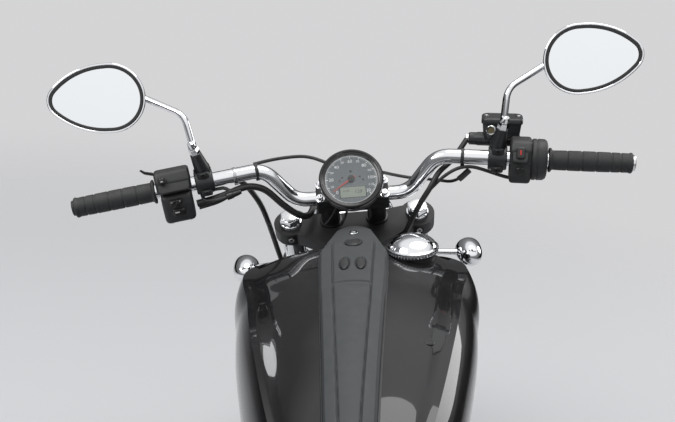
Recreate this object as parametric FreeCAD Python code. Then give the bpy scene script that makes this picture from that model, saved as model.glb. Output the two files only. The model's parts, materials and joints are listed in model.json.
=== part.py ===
"""Cruiser motorcycle with a liquid-cooled V-twin, leaning on its side stand.

The machine is drawn upright and straight: X forward from the rear axle, Y to the
rider's left, Z up from the ground. The fork turns about the raked steering axis,
and then the whole machine leans to the left until tyres and stand meet the floor.
All sizes are in millimetres.
"""
import FreeCAD, Part
import math
import os
from FreeCAD import Vector as V

# Wheels and tyres
WHEELBASE = 1562.0
FRONT_TYRE_R = 320.0
FRONT_TYRE_HALF = 65.0
REAR_TYRE_R = 323.0
REAR_TYRE_HALF = 75.0
BEAD_R = 203.0
FRONT_BEAD_HALF = 42.0
REAR_BEAD_HALF = 56.0
FLANGE_H = 12.0
FLANGE_T = 5.0
RIM_WALL = 12.0
SEAT_GAP = 0.3
HUB_R = 42.0
HUB_HALF = 62.0
AXLE_R = 10.0
RUNNING_GAP = 0.05
SPOKE_PAIRS = 5
SPOKE_SPREAD = 13.0
SPOKE_HALF_T = 12.0

# Brakes and belt drive
DISC_R = 149.0
DISC_BAND = 40.0
DISC_T = 5.0
DISC_AIR = 5.0
CALIPER_REACH = 124.0
PULLEY_R = 105.0
SPROCKET_R = 55.0
SPROCKET_X = 612.0
BELT_Y = 88.0
BELT_W = 26.0
BELT_T = 6.0
BELT_GAP = 0.6

# Steering geometry
RAKE = 29.0
TRAIL = 120.0
STEER_REST = 3.0
STEER_LOCK = 33.0
LEG_Y = 116.0
TUBE_R = 20.5
SLIDER_R = 26.0
SLIDER_TOP = 690.0
SLIDER_BORE = 150.0
LOWER_CLAMP_S = 775.0
LOWER_CLAMP_T = 36.0
HEAD_BOTTOM_S = 812.0
HEAD_TOP_S = 956.0
HEAD_R = 36.0
UPPER_CLAMP_S = 962.0
UPPER_CLAMP_T = 28.0
STEM_R = 15.0
CLAMP_EAR = 11.0
CAP_R = 20.5
CAP_H = 21.0
FIT = 0.1

# Handlebar and what it carries
BAR_R = 12.7
BAR_CLAMP = V(1215.0, 0.0, 942.0)
BAR_CLAMP_Y = 100.0
BAR_RISE = V(1200.0, 150.0, 1007.0)
BAR_END = V(1134.0, 454.0, 986.0)
BAR_BEND_R = 45.0
RISER_Y = 42.0
RISER_HALF = 64.0
RISER_BLOCK_H = 16.0
GRIP_R = 17.0
GRIP_L = 127.0
GRIP_TIP = 6.0
GAUGE_C = V(1170.0, 0.0, 987.0)
GAUGE_R = 55.0
GAUGE_TILT = 42.0
GAUGE_DEPTH = 34.0
MIRROR_C = V(1190.0, 410.0, 1153.0)
MIRROR_INNER = 80.0
MIRROR_OUTER = 80.0
MIRROR_HALF_H = 58.0
MIRROR_TOP_X = -17.0
MIRROR_NOSE_R = 30.0
HEADLAMP_C = V(1412.0, 0.0, 815.0)
HEADLAMP_R = 88.0
HEADLAMP_L = 70.0
SIGNAL_C = V(1290.0, 217.0, 785.0)
SIGNAL_R = 25.0

# Frame, engine and bodywork
BACKBONE_Z = 668.0
BACKBONE_HALF = 32.0
CHEEK_X = 1110.0
CHEEK_Y = 128.0
CHEEK_T = 26.0
RADIATOR_T = 42.0
RADIATOR_TOP = 580.0
RAIL_R = 16.0
RAIL_Y = 112.0
RAIL_Z = 152.0
SEAT_RAIL_R = 14.0
RAIL_BEND = V(480.0, 112.0, 640.0)
RAIL_END = V(90.0, 132.0, 560.0)
PIVOT_X = 520.0
PIVOT_Z = 330.0
ARM_Y = 128.0
ARM_T = 28.0
CRANK = V(800.0, 0.0, 330.0)
CASE_HALF = 84.0
V_HALF = 30.0
BARREL_FROM = 118.0
BARREL_TO = 238.0
HEAD_TO = 318.0
HEAD_MID = 260.0
HEAD_HALF_X = 72.0
HEAD_HALF_Y = 82.0
COVER_Z = 318.0
TANK_TOP_Z = 896.0
TANK_LOW = 716.0
TANK_RISE_X = 1010.0
CAP_C = V(1068.0, -94.0, 897.0)
SEAT_Z = 650.0
REAR_FENDER_GAP = 39.0
FRONT_FENDER_GAP = 25.0
FRONT_FENDER_FROM = 30.0
FRONT_FENDER_TO = 158.0
FENDER_T = 3.0
MUFFLER_R = 42.0
MUFFLER_Y = 216.0
MUFFLER_FRONT = 440.0
MUFFLER_LOW_Z = 222.0
MUFFLER_HIGH_Z = 312.0
PIPE_R = 20.0
SHOCK_Y = 178.0
SHOCK_LOW_X = 118.0
SHOCK_LOW_RISE = 49.0
SHOCK_HIGH_X = 372.0
SHOCK_HIGH_DROP = 21.8
SHOCK_PIN_R = 7.9
ARM_CROSS_X = 396.0
ARM_CROSS_HALF = 24.0

# Side stand and the lean that it gives
LEAN = 12.0
STAND_PIVOT = V(700.0, 152.0, 152.0)
STAND_FOLDED = V(-1.0, 0.075, -0.075)
STAND_PIN_R = 6.0
STAND_EYE_R = 18.0
STAND_EYE_T = 18.0
STAND_FOOT_X = 742.0
STAND_FOOT_Y = 320.0
STAND_R = 12.0
STAND_HEEL = 11.0

# Fastening places
THREAD_R = 3.4
THREAD_DEPTH = 14.0
STRUT_HOLES_X = (-40.0, -150.0)
PLATE_HOLE_R = 3.25
PLATE_HOLE_X = -50.0
PLATE_HOLE_Y = 70.0
PLATE_T = 3.0
PLATE_H = 128.0
PLATE_W = 190.0
PLATE_TILT = 25.0

RAKE_SIN = math.sin(math.radians(RAKE))
RAKE_COS = math.cos(math.radians(RAKE))
FORK_OFFSET = FRONT_TYRE_R * RAKE_SIN - TRAIL * RAKE_COS
AXIS_FOOT = V(WHEELBASE + TRAIL, 0, 0)
AXLE_S = (FRONT_TYRE_R - FORK_OFFSET * RAKE_SIN) / RAKE_COS
STEER_AXIS = V(-RAKE_SIN, 0, RAKE_COS)
FORK_PLACE = FreeCAD.Placement(AXIS_FOOT, FreeCAD.Rotation(V(0, 1, 0), -RAKE))
STEER_PLACE = FreeCAD.Placement(V(), FreeCAD.Rotation(STEER_AXIS, STEER_REST), AXIS_FOOT)
FRONT_AXLE = V(WHEELBASE, 0, FRONT_TYRE_R)
REAR_AXLE = V(0, 0, REAR_TYRE_R)
REAR_FENDER_R = REAR_TYRE_R + REAR_FENDER_GAP
FRONT_FENDER_R = FRONT_TYRE_R + FRONT_FENDER_GAP
X = V(1, 0, 0)
Y = V(0, 1, 0)
Z = V(0, 0, 1)


# Small shape helpers

def rod(start, end, radius):
    """Round bar between two points."""
    return Part.makeCylinder(radius, (end - start).Length, start, end - start)


def drum(centre, axis, radius, low, high):
    """Round body about an axis, from low to high along it."""
    return Part.makeCylinder(radius, high - low, centre + axis * low, axis)


def block(xs, ys, zs):
    """Box between pairs of limits."""
    low = V(min(xs), min(ys), min(zs))
    return Part.makeBox(abs(xs[1] - xs[0]), abs(ys[1] - ys[0]), abs(zs[1] - zs[0]), low)


def fused(*shapes):
    """One solid from several that meet."""
    return shapes[0].multiFuse(list(shapes[1:])).removeSplitter()


def mirrored(shape):
    """The same shape on the other side."""
    return shape.mirror(V(), Y)


def pair(shape):
    """A shape and its mirror image as two solids."""
    return Part.makeCompound([shape, mirrored(shape)])


def joined_pair(shape, *middle):
    """A shape and its mirror image fused with what joins them."""
    return fused(shape, mirrored(shape), *middle)


def flipped(point):
    """A point on the other side."""
    return V(point.x, -point.y, point.z)


def corner(before, at, after, radius):
    """Points where an arc leaves and meets the lines at a corner, and its middle."""
    into = (at - before).normalize()
    out = (after - at).normalize()
    half = into.getAngle(out) / 2
    if half < 1e-4:
        return None
    run = radius * math.tan(half)
    inward = (out - into).normalize()
    middle = at + inward * (radius / math.cos(half) - radius)
    return at - into * run, middle, at + out * run


def route(points, radius):
    """Open path of straight runs joined by arcs; one radius or one for each bend."""
    radii = radius if isinstance(radius, (list, tuple)) else [radius] * (len(points) - 2)
    edges = []
    last = points[0]
    for i in range(1, len(points) - 1):
        arc = corner(points[i - 1], points[i], points[i + 1], radii[i - 1])
        if arc is None:
            continue
        edges.append(Part.LineSegment(last, arc[0]).toShape())
        edges.append(Part.Arc(*arc).toShape())
        last = arc[2]
    edges.append(Part.LineSegment(last, points[-1]).toShape())
    return Part.Wire(edges)


def pipe(points, bend, radius):
    """Round bar along a route."""
    path = route(points, bend)
    ring = Part.Wire([Part.makeCircle(radius, points[0], points[1] - points[0])])
    return path.makePipeShell([ring], True, False)


def soft_pipe(points, radius):
    """Cable along a route whose bends are as large as their runs allow."""
    bends = []
    for i in range(1, len(points) - 1):
        into = points[i] - points[i - 1]
        out = points[i + 1] - points[i]
        bends.append(0.45 * min(into.Length, out.Length) / math.tan(into.getAngle(out) / 2))
    return pipe(points, bends, radius)


def outline(points, radius):
    """Closed wire through corners, each rounded by one radius."""
    edges = []
    arcs = [corner(points[i - 1], points[i], points[(i + 1) % len(points)], radius)
            for i in range(len(points))]
    for i, arc in enumerate(arcs):
        edges.append(Part.LineSegment(arcs[i - 1][2], arc[0]).toShape())
        edges.append(Part.Arc(*arc).toShape())
    return Part.Wire(edges)


def side_plate(corners, radius, low, high):
    """Plate with an outline seen from the side, from y = low to y = high."""
    wire = outline([V(x, low, z) for x, z in corners], radius)
    return Part.Face(wire).extrude(V(0, high - low, 0))


def turned(profile, axis, centre=V()):
    """Solid of revolution from (radius, place along the axis) corners."""
    across = Z if abs(axis.z) < 0.5 else X
    across = (across - axis * across.dot(axis)).normalize()
    points = [centre + across * r + axis * a for r, a in profile]
    face = Part.Face(Part.makePolygon(points + points[:1]))
    return face.revolve(centre, axis, 360)


def fork_point(u, y, s):
    """Point u forward of the steering axis, y to the left and s up along the axis."""
    return FORK_PLACE.multVec(V(u, y, s))


def arm_middle(x):
    """Height of the swinging arm's middle line, from the rear axle to its pivot."""
    return REAR_TYRE_R + (PIVOT_Z - REAR_TYRE_R) * x / PIVOT_X


def seat_rail(x):
    """Height of the seat rail's middle line behind its bend."""
    return RAIL_END.z + (RAIL_BEND.z - RAIL_END.z) * (x - RAIL_END.x) / (RAIL_BEND.x - RAIL_END.x)


def shock_ends():
    """Middles of the left shock's lower and upper eyes."""
    low = V(SHOCK_LOW_X, SHOCK_Y, REAR_TYRE_R + SHOCK_LOW_RISE)
    high = V(SHOCK_HIGH_X, SHOCK_Y, seat_rail(SHOCK_HIGH_X) - SHOCK_HIGH_DROP)
    return low, high


# Wheels: drawn about the origin with the axle along Y

def tyre(radius, half, bead_half):
    """Round-crowned tyre from bead to bead."""
    wall = BEAD_R + FLANGE_H + 2
    crown = radius - half
    mid_r = (wall + crown) / 2
    mid_y = bead_half + (half - bead_half) * 0.7
    low = [V(BEAD_R, -bead_half, 0), V(wall, -bead_half, 0), V(mid_r, -mid_y, 0), V(crown, -half, 0)]
    high = [V(p.x, -p.y, 0) for p in low]
    edges = [Part.LineSegment(low[0], low[1]), Part.Arc(low[1], low[2], low[3]),
             Part.Arc(low[3], V(radius, 0, 0), high[3]), Part.Arc(high[3], high[2], high[1]),
             Part.LineSegment(high[1], high[0]), Part.LineSegment(high[0], low[0])]
    face = Part.Face(Part.Wire([e.toShape() for e in edges]))
    return face.revolve(V(), Y, 360)


def spoke(angle):
    """One tapered spoke of the cast wheel, at an angle in the wheel's plane."""
    inner = HUB_R - 6
    outer = BEAD_R - RIM_WALL + 4
    corners = [V(inner, -SPOKE_HALF_T, -15), V(inner, -SPOKE_HALF_T, 15),
               V(outer, -SPOKE_HALF_T, 9), V(outer, -SPOKE_HALF_T, -9)]
    bar = Part.Face(Part.makePolygon(corners + corners[:1])).extrude(V(0, 2 * SPOKE_HALF_T, 0))
    return bar.rotate(V(), Y, angle)


def rim(bead_half):
    """Cast wheel: rim with flanges, paired spokes and a bored hub."""
    seat = BEAD_R - SEAT_GAP
    inside = bead_half + SEAT_GAP
    edge = inside + FLANGE_T
    top = BEAD_R + FLANGE_H
    bore = AXLE_R + RUNNING_GAP
    ring = turned([(seat - RIM_WALL, -edge), (top, -edge), (top, -inside), (seat, -inside),
                   (seat, inside), (top, inside), (top, edge), (seat - RIM_WALL, edge)], Y)
    hub = drum(V(), Y, HUB_R, -HUB_HALF, HUB_HALF)
    spokes = [spoke(360.0 * i / SPOKE_PAIRS + side * SPOKE_SPREAD)
              for i in range(SPOKE_PAIRS) for side in (-1, 1)]
    return fused(ring, hub, *spokes).cut(drum(V(), Y, bore, -HUB_HALF, HUB_HALF))


def disc(side):
    """Brake disc on the hub's end; side is +1 for the left."""
    low = HUB_HALF
    high = HUB_HALF + DISC_T
    band = drum(V(), Y, DISC_R, low, high).cut(drum(V(), Y, DISC_R - DISC_BAND, low, high))
    centre = drum(V(), Y, HUB_R, low, high)
    arms = []
    for i in range(5):
        arm = block((HUB_R - 8, DISC_R - DISC_BAND + 6), (low, high), (-11, 11))
        arms.append(arm.rotate(V(), Y, 72.0 * i))
    whole = fused(band, centre, *arms).cut(drum(V(), Y, AXLE_R + 4, low, high))
    return whole if side > 0 else mirrored(whole)


def pulley():
    """Belt pulley on the rear hub's left end, with a rim on each side of the belt."""
    end = BELT_Y + BELT_W + 3
    body = turned([(AXLE_R + 4, HUB_HALF), (HUB_R + 10, HUB_HALF), (HUB_R + 14, BELT_Y - 3),
                   (PULLEY_R + 8, BELT_Y - 3), (PULLEY_R + 8, BELT_Y - 1), (PULLEY_R, BELT_Y - 1),
                   (PULLEY_R, end - 2), (PULLEY_R + 8, end - 2), (PULLEY_R + 8, end),
                   (PULLEY_R - 14, end), (PULLEY_R - 14, BELT_Y + 8), (AXLE_R + 16, BELT_Y + 8),
                   (AXLE_R + 16, end), (AXLE_R + 4, end)], Y)
    return body


def belt_loop(extra):
    """Face of the loop around both pulleys, at a distance outside them."""
    r_rear = PULLEY_R + extra
    r_front = SPROCKET_R + extra
    span = V(SPROCKET_X, 0, PIVOT_Z) - REAR_AXLE
    lean = math.atan2(span.z, span.x)
    half = math.acos((r_rear - r_front) / span.Length)

    def on(centre, radius, angle):
        return centre + V(radius * math.cos(angle), BELT_Y, radius * math.sin(angle))

    front = V(SPROCKET_X, 0, PIVOT_Z)
    up = lean + half
    down = lean - half
    edges = [Part.Arc(on(REAR_AXLE, r_rear, up), on(REAR_AXLE, r_rear, lean + math.pi),
                      on(REAR_AXLE, r_rear, down)),
             Part.LineSegment(on(REAR_AXLE, r_rear, down), on(front, r_front, down)),
             Part.Arc(on(front, r_front, down), on(front, r_front, lean), on(front, r_front, up)),
             Part.LineSegment(on(front, r_front, up), on(REAR_AXLE, r_rear, up))]
    return Part.Face(Part.Wire([e.toShape() for e in edges]))


def drive_belt():
    """Toothed belt as one closed loop."""
    outer = belt_loop(BELT_GAP + BELT_T).extrude(V(0, BELT_W, 0))
    inner = belt_loop(BELT_GAP).extrude(V(0, BELT_W, 0))
    return outer.cut(inner)


def caliper(centre, angle, side):
    """Brake caliper straddling the disc at an angle above the forward direction."""
    low = HUB_HALF - DISC_AIR
    high = HUB_HALF + DISC_T + DISC_AIR
    body = block((CALIPER_REACH - 34, CALIPER_REACH + 42), (low - 15, high + 15), (-42, 42))
    body = body.makeFillet(7, body.Edges)
    slot = block((0, DISC_R + DISC_AIR), (low, high), (-60, 60))
    body = body.cut(slot)
    body.rotate(V(), Y, -angle)
    body.translate(centre)
    return body if side > 0 else mirrored(body)


def fender(radius, depth, half, start, end, centre):
    """Mudguard shell about an axle, from one angle to another above forward."""
    def across(r, d, h):
        return [V(r - d, -h, 0), V(r, 0, 0), V(r - d, h, 0)]
    outer = across(radius, depth, half)
    inner = across(radius - FENDER_T, depth - FENDER_T, half - FENDER_T)
    edges = [Part.Arc(*outer), Part.LineSegment(outer[2], inner[2]),
             Part.Arc(*inner), Part.LineSegment(inner[0], outer[0])]
    face = Part.Face(Part.Wire([e.toShape() for e in edges]))
    face.rotate(V(), Y, -start)
    shell = face.revolve(V(), -Y, end - start)
    shell.translate(centre)
    return shell


# Fork, drawn with X forward of the steering axis and Z up along it

def fork_tubes():
    """Two bright stanchions."""
    low = SLIDER_TOP - SLIDER_BORE
    high = UPPER_CLAMP_S + UPPER_CLAMP_T + 2
    return pair(drum(V(FORK_OFFSET, LEG_Y, 0), Z, TUBE_R, low, high))


def fork_sliders():
    """Two lower legs with the axle bore and a dust seal collar."""
    foot = V(FORK_OFFSET, LEG_Y, 0)
    leg = drum(foot, Z, SLIDER_R, AXLE_S - 34, SLIDER_TOP)
    collar = drum(foot, Z, SLIDER_R + 4, SLIDER_TOP - 22, SLIDER_TOP)
    bore = drum(foot, Z, TUBE_R + FIT, SLIDER_TOP - SLIDER_BORE - SEAT_GAP, SLIDER_TOP)
    axle = drum(V(FORK_OFFSET, LEG_Y, AXLE_S), Y, AXLE_R + RUNNING_GAP, -60, 60)
    return pair(fused(leg, collar).cut(bore).cut(axle))


def clamp_plate(low, thick):
    """Fork yoke: two ears around the legs and a body around the stem."""
    ear = drum(V(FORK_OFFSET, LEG_Y, 0), Z, TUBE_R + CLAMP_EAR, low, low + thick)
    hub = drum(V(), Z, HEAD_R, low, low + thick)
    left = [V(-HEAD_R + 6, 22, low), V(FORK_OFFSET - 22, LEG_Y + 2, low), V(FORK_OFFSET + 24, LEG_Y - 4, low),
            V(FORK_OFFSET + 14, 50, low)]
    web = left + [flipped(point) for point in reversed(left)]
    body = Part.Face(Part.makePolygon(web + web[:1])).extrude(V(0, 0, thick))
    bore = drum(V(FORK_OFFSET, LEG_Y, 0), Z, TUBE_R + FIT, low - 1, low + thick + 1)
    return fused(ear, mirrored(ear), hub, body).cut(bore).cut(mirrored(bore))


def lower_clamp():
    """Lower yoke with the steering stem."""
    stem = drum(V(), Z, STEM_R, LOWER_CLAMP_S, UPPER_CLAMP_S + UPPER_CLAMP_T)
    return fused(clamp_plate(LOWER_CLAMP_S, LOWER_CLAMP_T), stem)


def upper_clamp():
    """Upper yoke, bored for the stem."""
    hole = drum(V(), Z, STEM_R + FIT, UPPER_CLAMP_S - 1, UPPER_CLAMP_S + UPPER_CLAMP_T + 1)
    return clamp_plate(UPPER_CLAMP_S, UPPER_CLAMP_T).cut(hole)


def fork_caps():
    """Flanged hexagon caps on the legs and the nut on the stem."""
    top = UPPER_CLAMP_S + UPPER_CLAMP_T + 2
    seat = V(FORK_OFFSET, LEG_Y, 0)
    flange = drum(seat, Z, CAP_R, top, top + 5)
    corners = [seat + V(17 * math.cos(k * math.pi / 3), 17 * math.sin(k * math.pi / 3), top + 5)
               for k in range(6)]
    hexagon = Part.Face(Part.makePolygon(corners + corners[:1])).extrude(V(0, 0, CAP_H - 5))
    cap = fused(flange, hexagon)
    nut = drum(V(), Z, 17, UPPER_CLAMP_S + UPPER_CLAMP_T, UPPER_CLAMP_S + UPPER_CLAMP_T + 12)
    return Part.makeCompound([cap, mirrored(cap), nut])


def front_axle():
    """Axle through both legs, with collars that centre the wheel."""
    centre = V(FORK_OFFSET, 0, AXLE_S)
    reach = LEG_Y + SLIDER_R + 6
    bar = drum(centre, Y, AXLE_R, -reach, reach)
    inner = LEG_Y - SLIDER_R - SEAT_GAP
    left = drum(centre, Y, AXLE_R + 7, HUB_HALF + DISC_T + SEAT_GAP, inner)
    right = drum(centre, Y, AXLE_R + 7, -inner, -HUB_HALF - SEAT_GAP)
    end = drum(centre, Y, AXLE_R + 6, LEG_Y + SLIDER_R + SEAT_GAP, reach + 4)
    return fused(bar, left, right, end, mirrored(end))


def front_caliper():
    """Caliper behind the left leg, on a bracket plate beside the leg."""
    centre = V(FORK_OFFSET, 0, AXLE_S)
    angle = 138.0
    body = caliper(centre, angle, 1)
    high = HUB_HALF + DISC_T + DISC_AIR
    where = V(CALIPER_REACH * math.cos(math.radians(angle)), 0, CALIPER_REACH * math.sin(math.radians(angle)))
    mid = centre + where
    plate = block((mid.x - 10, FORK_OFFSET + 18), (high + 8, LEG_Y - SLIDER_R - SEAT_GAP),
                  (mid.z - 20, mid.z + 30))
    return fused(body, plate)


def front_fender():
    """Mudguard over the front tyre, with a pad to each leg."""
    centre = V(FORK_OFFSET, 0, AXLE_S)
    shell = fender(FRONT_FENDER_R, 58, 82, FRONT_FENDER_FROM - RAKE, FRONT_FENDER_TO - RAKE, centre)
    pad_s = AXLE_S + FRONT_FENDER_R - 42
    pad = drum(V(FORK_OFFSET, 0, pad_s), Y, 15, 64, LEG_Y - SLIDER_R - SEAT_GAP)
    return joined_pair(pad, shell)


# Steered pieces, drawn in the machine's own frame

def handlebar():
    """Bright one-piece bar."""
    clamp = V(BAR_CLAMP.x, BAR_CLAMP_Y, BAR_CLAMP.z)
    points = [flipped(BAR_END), flipped(BAR_RISE), flipped(clamp), clamp, BAR_RISE, BAR_END]
    return pipe(points, BAR_BEND_R, BAR_R)


def along_bar(distance):
    """Point on the bar's left end, a distance in from its tip, and the outward direction."""
    out = (BAR_END - BAR_RISE).normalize()
    return BAR_END - out * distance, out


def risers():
    """Two posts from the upper yoke with one clamp block around the bar."""
    bar = FORK_PLACE.inverse().multVec(BAR_CLAMP)
    top = UPPER_CLAMP_S + UPPER_CLAMP_T + SEAT_GAP
    posts = [drum(V(bar.x, y, 0), Z, 17, top, bar.z) for y in (RISER_Y, -RISER_Y)]
    body = block((bar.x - 24, bar.x + 24), (-RISER_HALF, RISER_HALF),
                 (bar.z - RISER_BLOCK_H, bar.z + RISER_BLOCK_H))
    body = body.makeFillet(4, body.Edges)
    hole = drum(bar, Y, BAR_R + FIT, -RISER_HALF - 5, RISER_HALF + 5)
    whole = fused(body, *posts).cut(hole)
    whole.Placement = FORK_PLACE
    return whole


def gauge_frame():
    """Axis of the gauge, towards the rider's eyes."""
    return V(-math.cos(math.radians(GAUGE_TILT)), 0, math.sin(math.radians(GAUGE_TILT)))


def gauge():
    """Round instrument: can, bezel and glass, with a foot on the bar's clamp block."""
    axis = gauge_frame()
    can = turned([(0, -GAUGE_DEPTH), (GAUGE_R - 15, -GAUGE_DEPTH), (GAUGE_R - 4, -GAUGE_DEPTH + 12),
                  (GAUGE_R - 2, -8), (GAUGE_R, -6), (GAUGE_R, 3), (GAUGE_R - 5, 5),
                  (GAUGE_R - 7, 1), (0, 1)], axis, GAUGE_C)
    bar = FORK_PLACE.inverse().multVec(BAR_CLAMP)
    low = bar.z + RISER_BLOCK_H + SEAT_GAP
    foot = block((bar.x - 20, bar.x + 4), (-16, 16), (low, low + 16))
    foot.Placement = FORK_PLACE
    return fused(can, foot)


def headlamp():
    """Round bucket with a bright rim and a lens, on a bracket from the lower yoke."""
    shell = turned([(0, -HEADLAMP_L), (30, -HEADLAMP_L), (60, -HEADLAMP_L + 15), (HEADLAMP_R - 8, -20),
                    (HEADLAMP_R - 3, 0), (HEADLAMP_R, 2), (HEADLAMP_R, 18), (HEADLAMP_R - 6, 24),
                    (HEADLAMP_R - 10, 20), (HEADLAMP_R - 12, 12), (HEADLAMP_R - 30, 22), (0, 32)],
                   X, HEADLAMP_C)
    low = LOWER_CLAMP_S + LOWER_CLAMP_T + SEAT_GAP
    rear = FORK_PLACE.inverse().multVec(HEADLAMP_C - X * HEADLAMP_L)
    post = block((HEAD_R + 10, HEAD_R + 24), (-20, 20), (low, rear.z))
    arm = block((HEAD_R + 10, rear.x + 12), (-20, 20), (rear.z - 18, rear.z))
    bracket = fused(post, arm)
    bracket.Placement = FORK_PLACE
    return fused(shell, bracket)


def front_signals():
    """Bullet turn signals on stalks from the fork legs."""
    bullet = turned([(0, -34), (12, -32), (SIGNAL_R - 3, -14), (SIGNAL_R, 4), (SIGNAL_R, 16),
                     (SIGNAL_R - 4, 22), (0, 26)], X, SIGNAL_C)
    leg = fork_point(FORK_OFFSET, LEG_Y, 877.0)
    stalk = rod(leg, SIGNAL_C, 7)
    collar = Part.makeCylinder(TUBE_R + 7, 24, leg - STEER_AXIS * 12, STEER_AXIS)
    bore = Part.makeCylinder(TUBE_R + FIT, 60, leg - STEER_AXIS * 30, STEER_AXIS)
    return pair(fused(stalk, collar, bullet).cut(bore))


def grips():
    """Rubber grips with end caps."""
    inner, out = along_bar(GRIP_L)
    shell = Part.makeCylinder(GRIP_R, GRIP_L + 4, inner, out)
    hole = Part.makeCylinder(BAR_R + FIT, GRIP_L + 0.5, inner, out)
    cap = Part.makeCylinder(GRIP_R - 4, GRIP_TIP, BAR_END + out * 4, out)
    return pair(fused(shell.cut(hole), cap))


def bar_block(distance, length, up, down, ahead, behind, side):
    """Rounded housing around the bar; distances are measured from the bar's tip."""
    start, out = along_bar(distance)
    body = block((-behind, ahead), (0, length), (-down, up))
    body = body.makeFillet(6, body.Edges)
    hole = Part.makeCylinder(BAR_R + FIT, length + 40, V(0, -20, 0), Y)
    body = body.cut(hole)
    body.Placement = FreeCAD.Placement(start, FreeCAD.Rotation(Y, out))
    return body if side > 0 else mirrored(body)


def switch_left():
    """Left switch housing with its upper and lower blocks."""
    return bar_block(GRIP_L + 62, 60, 34, 58, 24, 26, 1)


def switch_right():
    """Right switch housing and throttle drum."""
    return bar_block(GRIP_L + 64, 62, 36, 38, 30, 30, -1)


def levers():
    """Clutch and brake levers with their perches around the bar."""
    perch = bar_block(GRIP_L + 100, 34, 21.7, 21, 40, 20, 1)
    start, out = along_bar(GRIP_L + 84)
    points = [start + V(32, 0, -8), start + out * 70 + V(56, 0, -14), start + out * 215 + V(46, 0, -18)]
    blade = pipe(points, 60, 6.5)
    knob = Part.makeSphere(9, points[-1])
    return pair(fused(perch, blade, knob))


def brake_reservoir():
    """Square fluid reservoir ahead of the bar on the right, on its master cylinder."""
    start, out = along_bar(GRIP_L + 100)
    body = block((31, 87), (-14, 58), (22, 62))
    body = body.makeFillet(5, body.Edges)
    cylinder = Part.makeCylinder(12, 88, V(56, -34, 19), Y)
    whole = fused(body, cylinder)
    whole.Placement = FreeCAD.Placement(start, FreeCAD.Rotation(Y, out))
    return mirrored(whole)


def mirror_frame():
    """Placement of the left mirror head: X to its outer end, Y up and Z to the rider."""
    face = V(-0.97, -0.14, 0.2).normalize()
    outward = (Y - face * Y.dot(face)).normalize()
    up = face.cross(outward)
    return FreeCAD.Placement(MIRROR_C, FreeCAD.Rotation(outward, up, face, "ZXY"))


def mirror_egg(grow, depth):
    """Egg-shaped outline of the mirror head at a depth, grown by an amount."""
    half = MIRROR_HALF_H + grow
    nose = MIRROR_NOSE_R + grow
    tip = MIRROR_OUTER + grow
    run = tip - nose - MIRROR_TOP_X
    broad = (run ** 2 + half ** 2 - nose ** 2) / (2 * (half - nose))
    toward = V(run, broad - half, 0).normalize()
    touch = V(tip - nose, 0, depth) + toward * nose
    between = V(toward.x / 2, (1 + toward.y) / 2, 0).normalize()
    side = V(MIRROR_TOP_X, half - broad, depth) + between * broad
    left = V(-MIRROR_INNER - grow, 0, depth)
    top = V(MIRROR_TOP_X, half, depth)
    low = flipped(top)
    edges = [Part.Arc(low, left, top), Part.Arc(top, side, touch),
             Part.Arc(touch, V(tip, 0, depth), flipped(touch)), Part.Arc(flipped(touch), flipped(side), low)]
    return Part.Wire([e.toShape() for e in edges])


def mirrors():
    """Bright egg-shaped mirror heads on cranked stems from the perches."""
    place = mirror_frame()
    shell = Part.makeLoft([mirror_egg(0, 0), mirror_egg(-3, -10), mirror_egg(-22, -30)], True, False)
    pocket = Part.Face(mirror_egg(-4, -3)).extrude(V(0, 0, 6))
    head = shell.cut(pocket)
    head.Placement = place
    foot = V(1174.0, 249.0, 1023.6)
    ferrule = V(1160.0, 255.0, 1058.0)
    bend = V(1165.0, 264.0, 1119.0)
    join = place.multVec(V(-MIRROR_INNER + 12, 0, -16))
    stem = pipe([ferrule, bend, join], 22, 6.5)
    seat = drum(foot, Z, 15, 0, 8)
    base = Part.makeCone(14, 9, (ferrule - foot).Length - 6, foot + Z * 6, ferrule - foot - Z * 6)
    return pair(fused(head, stem, base, seat))


def mirror_glasses():
    """Mirror plates in their pockets."""
    glass = Part.Face(mirror_egg(-4.6, -3 + SEAT_GAP)).extrude(V(0, 0, 2))
    glass.Placement = mirror_frame()
    return pair(glass)


# Routes of the cables on the bar and yokes: radius of the cable, then its points
CABLES = (
    (6.0, ((1166, 264.7, 966), (1174, 224, 972), (1190, 180, 984), (1200, 152, 974), (1210, 116, 928),
           (1216, 92, 902), (1214, 74, 884))),
    (5.0, ((1221.6, 240, 993.6), (1234, 196, 985), (1245, 168, 935), (1280, 160, 875), (1322, 154, 805),
           (1337.8, 143, 738.7))),
    (5.0, ((1242.7, -209.7, 1021.3), (1250, -165, 1008), (1244, -136, 968), (1252, -108, 942),
           (1278, -66, 914), (1302, -58, 860), (1320, -54, 795), (1334.7, -51, 736.7))),
    (3.0, ((1201, 168, 1022), (1218, 128, 1029), (1226, 74, 1027), (1211.6, 34.3, 1003.9))),
    (3.0, ((1201.8, -46.9, 987.5), (1226, -82, 986), (1238, -122, 984), (1226, -158, 992))),
)


def cables():
    """Wiring, clutch cable and brake line that the bar and yokes hold all the way."""
    return Part.makeCompound([soft_pipe([V(*p) for p in points], radius) for radius, points in CABLES])


# Chassis

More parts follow.
